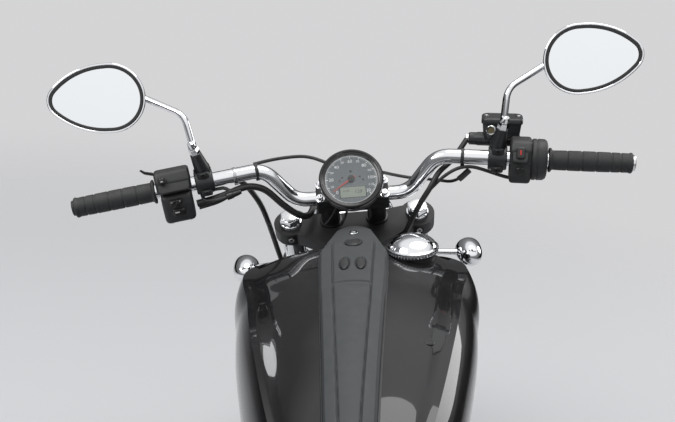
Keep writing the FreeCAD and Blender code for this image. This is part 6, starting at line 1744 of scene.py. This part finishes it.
upper_line = rounded(pairs(-24, -4, 23.5, -4, 23.5, 19, 13, 33.5, -17, 33.5, -25.5, 18), 0.01, 6)
lower_line = rounded(pairs(-22.5, -56, 15, -56, 23, -30, 23.5, -5, -24, -5, -25, -24), 0.01, 6)
upper_half = ring_run(upper_line, soft_ends(0.001, 0.059, 0.006))
lower_half = ring_run(lower_line, soft_ends(0.004, 0.0555, 0.007))


def on_face(centre, normal, up, points):
    """Points given across, up and out of a housing's face, set about a centre on it."""
    n, u = unit(normal), unit(up)
    u = unit(u - (u @ n) * n)
    side = np.cross(u, n)
    p = np.asarray(points, float)
    return np.asarray(centre) + p[..., 0:1] * side + p[..., 1:2] * u + p[..., 2:3] * n


def pad(centre, normal, up, outline, levels):
    """Raised pad or button: an outline on a face, at several heights with insets, and closed."""
    points, faces = inset_stack(outline, levels, 2)
    return on_face(centre, normal, up, points), faces


def ellipse(half_x, half_y, count=28):
    """Outline of an ellipse."""
    t = around(count)
    return np.stack([half_x * np.cos(t), half_y * np.sin(t)], -1)


def box_line(half_x, half_y, radius, centre=(0, 0)):
    """Outline of a box with round corners about a centre."""
    return rounded_box(half_x, half_y, radius / 2.2, 5) + np.asarray(centre)


face_n, face_u = (-0.88, 0.0, 0.47), (0.47, 0.0, 0.88)
low_n, low_u = (-0.985, 0.0, -0.17), (0.0, 0.0, 1.0)
raised = pad((-0.0232, 0.03, 0.014), face_n, face_u, rounded(pairs(-25.5, -15, 24.5, -15, 26.5, 2, 13, 16.5, -24,
    16.5), 0.005, 5), pairs(-6, 0, 1.2, 0, 2.2, 0.8, 2.4, 1.6))
rocker_well = pad((-0.025, 0.0465, 0.0215), face_n, face_u, ellipse(0.0072, 0.0066),
    pairs(0, 0, 3.4, 0, 4, 0.6, 3.6, 1.6))
rocker = pad((-0.0268, 0.0465, 0.0215), face_n, face_u, box_line(0.0042, 0.0056, 0.003),
    pairs(0, 0, 5.2, 0.2, 6.2, 1, 6.4, 2.2))
three_way = [pad((-0.026, 0.032, -0.017), low_n, low_u, box_line(0.0052, 0.004, 0.002, centre),
    pairs(-2, 0, 4, 0, 5.2, 0.6, 5.6, 1.4)) for centre in pairs(-5.2, 0, 5.2, 0, 0, -4.4)]
horn = pad((-0.0248, 0.03, -0.036), low_n, low_u, box_line(0.0105, 0.0062, 0.004),
    pairs(-2, 0, 2.2, 0, 3.6, 0.8, 4, 2))
horn_mark = pad((-0.0288, 0.033, -0.0352), low_n, low_u, box_line(0.0038, 0.0011, 0.001), pairs(-0.4, 0, 0.4, 0))
arrow_marks = [pad((-0.0318, 0.032, -0.016), low_n, low_u, [(x, -0.001), (x, 0.001), (x + d, 0.0)],
    pairs(-0.4, 0, 0.4, 0)) for x, d in ((-0.0058, -0.0026), (0.0058, 0.0026))]
rocker_mark = pad((-0.0332, 0.0465, 0.0228), face_n, face_u, box_line(0.0018, 0.0007, 0.0005), pairs(-0.6, 0, 0.4, 0))
trigger = tube(np.array(triples(10, 48, 20, 18, 62, 26, 20, 74, 30, 19, 80, 36)), [0.005, 0.0046, 0.0044, 0.003], 14,
    0.55)
seam_screws = repeated(screw((0, 0, -1), 0.004, 0.004), triples(-6, 14, -54.5, -6, 46, -54.5))
made("left_switch_housing", [*coated(0, upper_half, lower_half, raised, rocker_well),
    *coated(1, rocker, *three_way, horn), *coated(2, horn_mark, rocker_mark, *arrow_marks), *coated(1, trigger),
    *coated(3, seam_screws)], [switch_plastic, switch_cap, white_mark, zinc_screw], "black_plastic", fork_body,
    "switch_left", place=on_bar(GRIP_L + 0.062, 1), under=math.radians(40))

right_line = rounded(pairs(-26, -36.5, 20, -36.5, 28.5, -20, 28.5, 21, 19, 35.2, -19, 35.2, -29, 22, -29, -23), 0.011,
    6)
right_half = ring_run(right_line, soft_ends(0.001, 0.036, 0.0055))
drum_line = ellipse(0.029, 0.035, 56)
throttle_drum = ring_run(drum_line, pairs(33, 4, 37.5, 0.5, 38.5, 0, 43, 0, 44, 1, 45.5, 1, 46.5, 0, 56, 0.4, 60, 3,
    61.5, 7))
right_panel = pad((-0.0272, 0.0175, 0.015), face_n, face_u, box_line(0.0125, 0.015, 0.006),
    pairs(-4, 0, 2, 0, 3.2, 1, 3.4, 2.2))
stop_rocker = pad((-0.03, 0.0175, 0.0172), face_n, face_u, box_line(0.0068, 0.0098, 0.004),
    pairs(0, 0, 3, 0, 4.2, 1, 4.2, 2.4))
stop_bar = pad((-0.0336, 0.0175, 0.0195), face_n, face_u, box_line(0.0014, 0.0042, 0.001), pairs(-1, 0, 0.8, 0))
start_button = pad((-0.0286, 0.018, -0.013), (-1, 0, 0), (0, 0, 1), ellipse(0.0068, 0.0068),
    pairs(-2, 0, 3, 0, 4.2, 1.2, 4.2, 2.4))
right_split = ring_run(rounded(oblong(-29.4, -1.2, 28.9, 0), 0.0003, 2), pairs(2, 0, 35.2, 0))
made("right_switch_housing", [*coated(0, right_half, throttle_drum, right_panel), *coated(1, stop_rocker),
    *coated(2, stop_bar), *coated(1, start_button, right_split)], [switch_plastic, switch_cap, red_button],
    "black_plastic", fork_body, "switch_right", place=on_bar(GRIP_L + 0.064, -1), under=math.radians(40))

# Levers and perches
# Forged levers pivot on cast perches. Each perch closes round the bar with two socket screws that
# face the rider; the left one carries the clutch cable's adjuster in a ring bracket.


def perch_shapes():
    """Perch: the clamp about the bar with its screw pads, and the arm that reaches to the pivot."""
    clamp = turned(pairs(12.8, 1.5, 18.5, 1.5, 20, 3, 20.6, 9, 20.6, 25, 20, 31, 18.5, 32.5, 12.8, 32.5), (0, 0, 0),
        (0, 1, 0), 44, closed=True)
    pads = [pad((-0.008, 0.017, z), (-1, 0, 0), (0, 0, 1), box_line(0.01, 0.0055, 0.004),
        pairs(-4, 0, 10, 0, 11.8, 0.8, 12.2, 1.8)) for z in (-0.0155, 0.0155)]
    screws = repeated(screw((-1, 0, 0), 0.0046, 0.0032), [(-0.0196, 0.017, z) for z in (-0.0155, 0.0155)])
    arm_line = rounded(pairs(8, -16, 34, -18, 39.5, -12, 39.5, 4, 30, 12, 8, 16), 0.006, 5)
    arm = ring_run(arm_line, soft_ends(0.002, 0.032, 0.004))
    top = turned(pairs(0, 0, 14, 0, 15, 1.2, 15, 3, 0, 3), (0.004, 0.017, 0.019), (0, 0, 1), 32)
    return [*coated(0, clamp, *pads), *coated(1, screws), *coated(0, arm, top)]


perch_black = finish("perch black coat", (0.024, 0.025, 0.027), 0.36, patch_spread=0.1, grain_scale=1300.0,
    grain_height=0.00003, dust=0.08)
for name, side in (("left", 1), ("right", -1)):
    made(name + "_perch", perch_shapes(), [perch_black, black_screw], "satin_black", fork_body,
        *(["levers"] if side > 0 else []), place=on_bar(GRIP_L + 0.1, side), under=math.radians(38))

ring_bracket = tube(runs(triples(-4, 26, -19, -16, 24, -28, -17, 4, -31, -14, -18, -30, -8, -22, -22, -6, -12, -16,
    -4, 2, -16), 0.008, 7), 0.0032, 12, 0.7)
adjuster = turned(pairs(0, 0, 6.2, 0, 6.8, 2, 6.2, 4, 6.8, 6, 6.2, 8, 6.8, 10, 5.5, 12, 5, 20, 3.8, 26, 0, 26),
    (-0.015, -0.014, -0.03), (0.1, -0.94, 0.12), 24)
made("clutch_cable_bracket", [*coated(0, ring_bracket), *coated(1, adjuster)], [perch_black, black_screw],
    "satin_black", fork_body, place=on_bar(GRIP_L + 0.1, 1))


def lever_shapes():
    """Lever: a flattened blade whose depth tapers from the pivot to the ball at its tip."""
    start, spin = bar_frame(GRIP_L + 0.084)
    out = unit(BAR_END - BAR_RISE)
    corners = [start + [0.032, 0, -0.008], start + out * 0.07 + [0.056, 0, -0.014],
        start + out * 0.215 + [0.046, 0, -0.018]]
    line = even_steps(runs(corners, 0.06, 12), 46, last=True)
    fine = np.linspace(0, 1, 46)
    width = 0.0088 - 0.003 * smooth_step(fine, 0.0, 0.55) + 0.0008 * smooth_step(fine, 0.86, 1.0)
    blade = tube(line, width, 20, 0.62)
    t = np.linspace(0, np.pi, 14)
    ball = turned(list(zip(0.0088 * np.sin(t), -0.0088 * np.cos(t))), corners[2], out, 24)
    pivot = turned(pairs(0, -13, 8.5, -13, 8.5, 10.5, 7, 12.5, 3.5, 12.5, 3, 9.5, 0, 9.5),
        corners[0] + [0.003, 0.004, 0], (0, 0, 1), 28)
    return [*coated(0, blade, ball), *coated(1, pivot)]


for name, side in (("left", 1), ("right", -1)):
    made(name + "_lever", lever_shapes(), [perch_black, black_screw], "satin_black", fork_body,
        place=mirrored(steered, side))

# Brake reservoir
# A square cast tank for the brake fluid stands on the master cylinder. Its lid is held by two
# screws, and a round sight glass in a bright ring faces the rider.
body_line = rounded(oblong(32, -13, 86, 57), 0.012, 6)
tank_levels = pairs(22.5, 6, 24, 4.2, 30, 3.2, 50, 1.6, 50.2, 0.2, 51.2, 0)
lid_levels = pairs(51.6, 0, 57.2, 0, 59, 1, 60, 3, 60.2, 9, 59.4, 9.6, 59.4, 15)
fluid_tank, lid = inset_stack(body_line, tank_levels, 2), inset_stack(body_line, lid_levels, 2)
lid_screws = repeated(screw((0, 0, 1), 0.004, 0.0026), triples(59, -5.5, 59.4, 59, 49.5, 59.4))
sight_ring = turned(pairs(5.6, 0, 8.4, 0, 8.4, 2.4, 7.4, 3.4, 6, 3), (0.0345, 0.004, 0.04), (-1, 0, 0), 36,
    closed=True)
sight_pane = turned(pairs(0, 0, 6.2, 0, 6, 1.6, 0, 2), (0.0345, 0.004, 0.04), (-1, 0, 0), 30)
master = turned(pairs(0, 0, 9, 0, 11, 2, 11.2, 14, 12, 16, 12, 70, 11.2, 76, 9.5, 78, 9.5, 86, 8, 88, 0, 88),
    (0.056, -0.034, 0.019), (0, 1, 0), 36)
master_bolt = repeated(hexagon((0, -1, 0), 0.0075, 0.006), [(0.056, -0.0335, 0.019)])
master_link = slab(pairs(18, 6, 58, 6, 58, 24, 30, 22, 18, 14), 0.004, 0.03, 0.003)
pane_glass = finish("sight glass", (0.2, 0.17, 0.1), 0.12, patch_spread=0.04, grain_height=0.0, dust=0.0)
made("brake_fluid_tank", [*coated(0, fluid_tank, lid), *coated(1, lid_screws), *coated(2, sight_ring),
    *coated(3, sight_pane), *coated(0, master), *coated(1, master_bolt), *coated(0, master_link)],
    [perch_black, zinc_screw, machined, pane_glass], "satin_black", fork_body, "brake_reservoir",
    place=on_bar(GRIP_L + 0.1, -1), under=math.radians(38))

# Mirrors
# Chromed die-cast shells shaped like an egg, with the glass in a black rubber gasket. Each stem
# is a cranked chromed rod in a black cone that screws into the perch, locked by a bright nut.
MIRROR_C = np.array([1.19, 0.41, 1.153])
MIRROR_INNER, MIRROR_OUTER, MIRROR_HALF = 0.08, 0.08, 0.058
MIRROR_TOP_X, MIRROR_NOSE_R = -0.017, 0.03
mirror_face = unit([-0.97, -0.14, 0.2])
mirror_out = unit(np.array([0.0, 1.0, 0.0]) - mirror_face * mirror_face[1])
mirror_up = np.cross(mirror_face, mirror_out)
MIRROR_AXES = np.array([mirror_out, mirror_up, mirror_face])


def egg(grow, count=96):
    """Outline of a mirror head, grown by an amount: an arc round its broad end, a flatter arc along
    each side and a small one round its nose, in even steps."""
    half, nose, tip = MIRROR_HALF + grow, MIRROR_NOSE_R + grow, MIRROR_OUTER + grow
    run = tip - nose - MIRROR_TOP_X
    broad = (run ** 2 + half ** 2 - nose ** 2) / (2 * (half - nose))
    toward = unit([run, broad - half])
    touch = np.array([tip - nose, 0.0]) + toward * nose
    hub = np.array([MIRROR_TOP_X, half - broad])
    side = hub + unit([toward[0] / 2, (1 + toward[1]) / 2]) * broad
    flip = np.array([1, -1])
    t = np.linspace(0, 1, 60)
    top, left = np.array([MIRROR_TOP_X, half]), np.array([-MIRROR_INNER - grow, 0.0])
    parts = [arc_through([top * flip], [left], [top], t)[0], arc_through([top], [side], [touch], t)[0][1:],
        arc_through([touch], [np.array([tip, 0.0])], [touch * flip], t)[0][1:],
        arc_through([touch * flip], [side * flip], [top * flip], t)[0][1:]]
    return even_steps(np.vstack(parts), count)


def head_point(points):
    """Points of the mirror head: out along it, up it and towards the rider, in the machine's axes."""
    return MIRROR_C + np.asarray(points, float) @ MIRROR_AXES


def egg_stack(levels, closed=False):
    """Form through egg-shaped rings, each with its growth, depth and perhaps a shrink to its middle."""
    middle = np.array([-0.003, 0.0])
    rings = []
    for grow, depth, *share in levels:
        line = middle + (egg(grow) - middle) * (share[0] if share else 1.0)
        rings.append(np.column_stack([line, np.full(len(line), depth)]))
    points, faces = stacked(rings, closed=closed)
    return head_point(points), faces


mirror_shell = egg_stack([(-0.0042, -0.003), (-0.0042, -0.0008), (-0.0034, -0.0001), (-0.0018, 0.0),
    (-0.0009, -0.0006), (-0.0004, -0.002), (-0.0008, -0.005), (-0.003, -0.01), (-0.008, -0.017), (-0.015, -0.0236),
    (-0.022, -0.0276), (-0.022, -0.0292, 0.7), (-0.022, -0.0299, 0.35), (-0.022, -0.03, 0.05)])
mirror_gasket = egg_stack(pairs(-4.2, -2.8, -4.2, -1, -5, -0.2, -8.4, -0.4, -9.4, -1.2, -9.4, -2.8), closed=True)
mirror_plate = egg_stack([(-0.009, -0.0028), (-0.009, -0.0012), (-0.009, -0.0012, 0.66), (-0.009, -0.0012, 0.33),
    (-0.009, -0.0012, 0.02)])
stem_foot = np.array([1.174, 0.249, 1.0236])
stem_ferrule = np.array([1.16, 0.255, 1.058])
stem_bend = np.array([1.165, 0.264, 1.119])
stem_join = head_point(np.array([-MIRROR_INNER + 0.012, 0.0, -0.016]))
stem_path = runs([stem_ferrule, stem_bend, stem_join], 0.03, 16)
stem_taper = np.interp(np.linspace(0, 1, len(stem_path)), [0, 0.12, 0.9, 1], [0.006, 0.0056, 0.005, 0.0056])
cone_way = stem_ferrule - stem_foot
cone_length = float(np.linalg.norm(cone_way))
stem_end = (0, cone_length)
cone_line = [*pairs(0, 0, 13.5, 0, 13.8, 3, 12.4, 8), *pairs(9.6, -6, 9, -4, 0, -4, start=stem_end)]
lock_line = pairs(0, -5, 8.6, -5, 9, -2, 9, 5, 8, 8, 6.2, 11, 0, 11, start=stem_end)
collar_line = pairs(0, 9, 7, 9, 7.2, 13, 6.2, 18, 0, 18, start=stem_end)
stem_cone, stem_lock, stem_collar = (turned(line, stem_foot, cone_way, sides)
    for line, sides in ((cone_line, 32), (lock_line, 6), (collar_line, 28)))
mirror_glass, silver_tree, silver = painted("silvered glass")
feed(silver_tree, silver, {"Base Color": (0.93, 0.95, 0.96, 1), "Metallic": 1.0,
    "Roughness": sheen(silver_tree, 22.0, 0.015, 0.045)})
for name, side in (("left", 1), ("right", -1)):
    hand = mirrored(steered, side)
    made(name + "_mirror_shell", [*coated(0, mirror_shell, tube(stem_path, stem_taper, 20)), *coated(1, stem_cone),
        *coated(0, stem_lock, stem_collar)], [chrome, perch_black], "chrome", fork_body,
        *(["mirrors"] if side > 0 else []), place=hand, under=math.radians(35))
    made(name + "_mirror_gasket", [mirror_gasket], belt_rubber, "rubber", fork_body, place=hand)
    made(name + "_mirror_glass", [mirror_plate], mirror_glass, "mirror", fork_body,
        *(["mirror_glasses"] if side > 0 else []), place=hand, under=math.radians(30))

# Instrument
# A round speedometer in a black can with a gloss bezel. Its grey dial has white marks and numbers, a
# small display, four lamps and a red pointer under a flat glass.
GAUGE_C = np.array([1.17, 0.0, 0.987])
GAUGE_TILT = math.radians(42.0)
gauge_face = np.array([-math.cos(GAUGE_TILT), 0.0, math.sin(GAUGE_TILT)])
gauge_up = np.array([math.sin(GAUGE_TILT), 0.0, math.cos(GAUGE_TILT)])
DIAL_AXES = np.array([[0.0, -1.0, 0.0], gauge_up, gauge_face])


def on_dial(shape):
    """Shape drawn to the rider's right, up the dial and out of it, in the machine's axes."""
    points, faces = shape
    return GAUGE_C + np.asarray(points, float) @ DIAL_AXES, faces


gloss_moulding = finish("gloss black moulding", (0.014, 0.014, 0.015), 0.14, patch_spread=0.04, grain_height=0.00001,
    dust=0.05)
dial_grey = finish("dial grey", (0.118, 0.136, 0.152), 0.42, patch_spread=0.03, grain_scale=1800.0,
    grain_height=0.00001, dust=0.0)
display_grey = finish("display", (0.3, 0.34, 0.28), 0.22, patch_spread=0.02, grain_height=0.0, dust=0.0)
dial_white = finish("dial white print", (0.92, 0.93, 0.93), 0.5, patch_spread=0.02, grain_height=0.0, dust=0.0)
pointer_red = finish("pointer red", (0.62, 0.045, 0.03), 0.4, patch_spread=0.02, grain_height=0.0, dust=0.0)
can_form = turned(pairs(0, -34, 36, -34, 41, -32.5, 49.5, -24, 51.5, -21.5, 53, -8.5, 53, -7, 0, -7), GAUGE_C,
    gauge_face, 80)
bezel = turned(pairs(52.8, -7.2, 54.6, -6.2, 55, -4.5, 55, 1, 54.4, 3, 53, 4.2, 51.4, 4.4, 50, 3.8, 49.2, 2.6, 47.2,
    2.2, 45.8, 1.4, 45, -0.4, 44.6, -3, 44.6, -5, 52.8, -5), GAUGE_C, gauge_face, 96, closed=True)
gauge_foot = slab(oblong(-20, 16.3, 4, 32.3, start=(clamp_u, clamp_s)), -0.016, 0.016, 0.004)
made("instrument_can", [*coated(0, can_form), *coated(1, bezel)], [switch_plastic, gloss_moulding], "black_plastic",
    fork_body, "gauge", place=steered)
made("instrument_foot", [gauge_foot], switch_plastic, "black_plastic", fork_body, place=forked, edge=0.001)


def dial_disc(radius, low, high, centre=(0, 0), sides=64):
    """Low drum standing on the dial."""
    return on_dial(slab(ellipse(radius, radius, sides) + np.asarray(centre), low, high, across=2))


def dial_bar(inner, outer, angle, half, low=0.0, high=0.00022, taper=1.0):
    """Mark from one radius to another at an angle, with its half width at both ends."""
    out = np.array([math.cos(angle), math.sin(angle)])
    side = np.array([-out[1], out[0]])
    line = np.array([out * inner - side * half, out * outer - side * half * taper, out * outer + side * half * taper,
        out * inner + side * half])
    return on_dial(slab(line, low, high, across=2))


DIAL_LEVEL = -0.003
DIAL_FIRST, DIAL_LAST = math.radians(222.0), math.radians(-42.0)
dial_shapes = coated(0, dial_disc(0.045, -0.0068, DIAL_LEVEL, sides=96))
dial_rim = pairs(43.4, -0.4, 44.5, -0.4, 44.5, 0.9, 44.1, 1, 43.4, 0.2, start=(0, DIAL_LEVEL))
dial_shapes += coated(1, turned(dial_rim, GAUGE_C, gauge_face, 96, closed=True))
marks = np.linspace(DIAL_FIRST, DIAL_LAST, 61)
for number, angle in enumerate(marks):
    whole = number % 5 == 0
    dial_shapes.append((*dial_bar(0.0398 if whole else 0.0412, 0.0431, angle, 0.0007 if whole else 0.00034,
        DIAL_LEVEL, DIAL_LEVEL + 0.0002), 1))
display_line = box_line(0.0215, 0.0094, 0.002, (0.0015, -0.024))
for grow, low, high, paint in ((1.06, DIAL_LEVEL, DIAL_LEVEL + 0.0005, 2), (1.0, DIAL_LEVEL, DIAL_LEVEL + 0.0008, 3)):
    middle = display_line.mean(axis=0)
    dial_shapes += coated(paint, on_dial(slab(middle + (display_line - middle) * grow, low, high, across=2)))
for x, y, r in triples(-15, 4, 1.6, -20, -2, 1.6, 15, 4, 1.6, 20, -2, 1.6, 0, 15, 2.2):
    dial_shapes.append((*dial_disc(r, DIAL_LEVEL, DIAL_LEVEL + 0.0003, (x, y), 20), 2))
pointer_angle = math.radians(214.0)
dial_shapes.append((*dial_bar(-0.008, 0.0385, pointer_angle, 0.00155, DIAL_LEVEL + 0.0018, DIAL_LEVEL + 0.0026, 0.35),
    4))
dial_shapes.append((*dial_disc(0.0062, DIAL_LEVEL, DIAL_LEVEL + 0.0034, sides=36), 2))
made("instrument_dial", dial_shapes, [dial_grey, dial_white, gloss_moulding, display_grey, pointer_red],
    "black_plastic", fork_body, place=steered, under=math.radians(30))


def dial_words(words):
    """Numbers on the dial as one piece: each text is a thin solid, laid about its own place."""
    points, faces = [], []
    for word, (x, y), size in words:
        text = bpy.data.curves.new("number", "FONT")
        text.body, text.size, text.extrude = word, size, 0.00006
        text.align_x = text.align_y = "CENTER"
        text.resolution_u = 2
        holder = bpy.data.objects.new("number", text)
        flat = bpy.data.meshes.new_from_object(holder)
        start = sum(map(len, points))
        p = np.empty(len(flat.vertices) * 3)
        flat.vertices.foreach_get("co", p)
        points.append(p.reshape(-1, 3) + [x, y, DIAL_LEVEL + 0.00012])
        faces += [[start + i for i in face.vertices] for face in flat.polygons]
        bpy.data.objects.remove(holder)
        bpy.data.curves.remove(text)
        bpy.data.meshes.remove(flat)
    return on_dial((np.vstack(points), faces))


numbers = []
for k in range(13):
    angle = DIAL_FIRST + (DIAL_LAST - DIAL_FIRST) * k / 12
    reach = 0.0352 if k % 2 else 0.034
    numbers.append((str(10 * k), (reach * math.cos(angle), reach * math.sin(angle)), 0.0062 if k % 2 else 0.0084))
digits = [("128", (0.0105, -0.024), 0.0085), ("12:30", (-0.0105, -0.0215), 0.005)]
made("instrument_numbers", [dial_words(numbers)], dial_white, "black_plastic", fork_body, place=steered)
digit_points, digit_faces = dial_words(digits)
made("instrument_digits", [(digit_points + gauge_face * 0.0008, digit_faces)], switch_cap, "black_plastic", fork_body,
    place=steered)
cover_glass = lens_material("instrument glass", (0.97, 0.98, 0.98), 0.0, 1.0)
pane = turned(pairs(0, 0.6, 45.8, 0.6, 45.8, 1.4, 0, 1.6), GAUGE_C, gauge_face, 72)
made("instrument_glass", [pane], cover_glass, "lamp_glass", fork_body, place=steered)

# Cables and hoses
# A wiring bundle, two hydraulic and control hoses and thin cables follow the bar and the yokes.
# They are rubber and plastic sheathed, tied to the bar with straps.
CABLES = (
    # radius, then the points of its route
    (0.006, triples(1166, 264.7, 966, 1174, 224, 972, 1190, 180, 984, 1200, 152, 974, 1208, 120, 934, 1214, 96, 912,
        1226, 80, 906, 1248, 72, 916, 1276, 68, 931, 1300, 62, 926, 1318, 55, 890, 1340, 46, 846)),
    (0.005, triples(1221.6, 240, 993.6, 1234, 196, 985, 1245, 168, 935, 1280, 160, 875, 1322, 154, 805,
        1337.8, 143, 738.7)),
    (0.0048, triples(1242.7, -209.7, 1021.3, 1222, -180, 990, 1196, -150, 978, 1186, -136, 956, 1188, -118, 930,
        1190, -103, 902, 1200, -88, 868, 1232, -74, 838, 1290, -62, 812, 1322, -54, 780, 1334.7, -51, 736.7)),
    (0.003, triples(1215, 168, 1014, 1222, 128, 1019, 1228, 74, 1019, 1211.6, 34.3, 1003.9)),
    (0.0028, triples(1201.8, -46.9, 987.5, 1228, -78, 970, 1238, -114, 958, 1224, -150, 957, 1204, -174, 956,
        1194, -190, 966, 1193, -200, 975)),
    (0.003, triples(1166, 262, 958, 1180, 225, 962, 1192, 196, 978)),
    (0.003, triples(1192, -128, 943, 1190, -158, 972, 1184, -184, 988, 1183, -208, 988, 1181, -237, 976,
        1176, -262, 966, 1172, -282, 962)),
    (0.0018, triples(1196, 14, 962, 1186, 26, 938, 1192, 40, 912, 1206, 52, 896)),
    (0.0018, triples(1198, -12, 962, 1187, -26, 934, 1196, -30, 908, 1210, -26, 894)),
    (0.0024, triples(1199, 2, 962, 1184, 8, 936, 1194, 18, 904, 1208, 24, 892)),
)


def soft_route(points, count=26):
    """Route whose corners are as wide as its runs allow, evened out by a running mean."""
    p = runs(points, 1.0, count)
    way = np.concatenate([[0], np.cumsum(np.linalg.norm(np.diff(p, axis=0), axis=1))])
    keep = np.concatenate([[True], np.diff(way) > 1e-6])
    at = np.linspace(0, way[-1], max(24, int(way[-1] / 0.0035)))
    q = np.stack([np.interp(at, way[keep], p[keep, i]) for i in range(3)], -1)
    for _ in range(6):
        q[1:-1] = (q[:-2] + 2 * q[1:-1] + q[2:]) / 4
    return q


STRAPS = pairs(262, 1000, 300, 1000, 268, -1000)
sheath = finish("cable sheath", (0.018, 0.018, 0.019), 0.4, patch_spread=0.1, grain_scale=1200.0,
    grain_height=0.00004, dust=0.08)
routes = [soft_route(points) for radius, points in CABLES]
made("cable_set", [tube(route, radius, 16) for (radius, _), route in zip(CABLES, routes)], sheath, "rubber",
    fork_body, "cables", place=steered)
plug = tube(triples(1192.5, -204, 979, 1194, -192, 968, 1195, -186, 963), 0.0056, 8)
made("cable_plug", [plug], switch_plastic, "black_plastic", fork_body, place=steered)
strap_line = pairs(12.4, -3, 13.7, -2.6, 14, 0, 13.7, 2.6, 12.4, 3)
for number, (distance, side) in enumerate(STRAPS):
    strap = turned(strap_line, (0, 0, 0), (0, 1, 0), 40, closed=True)
    made(f"bar_strap_{number + 1}", [strap, slab(pairs(-4, -16.5, 4, -16.5, 4, -12.5, -4, -12.5), -0.0032, 0.0032,
        0.001)], zinc_screw if number == 0 else switch_plastic, "black_plastic", fork_body,
        place=on_bar(distance, side))
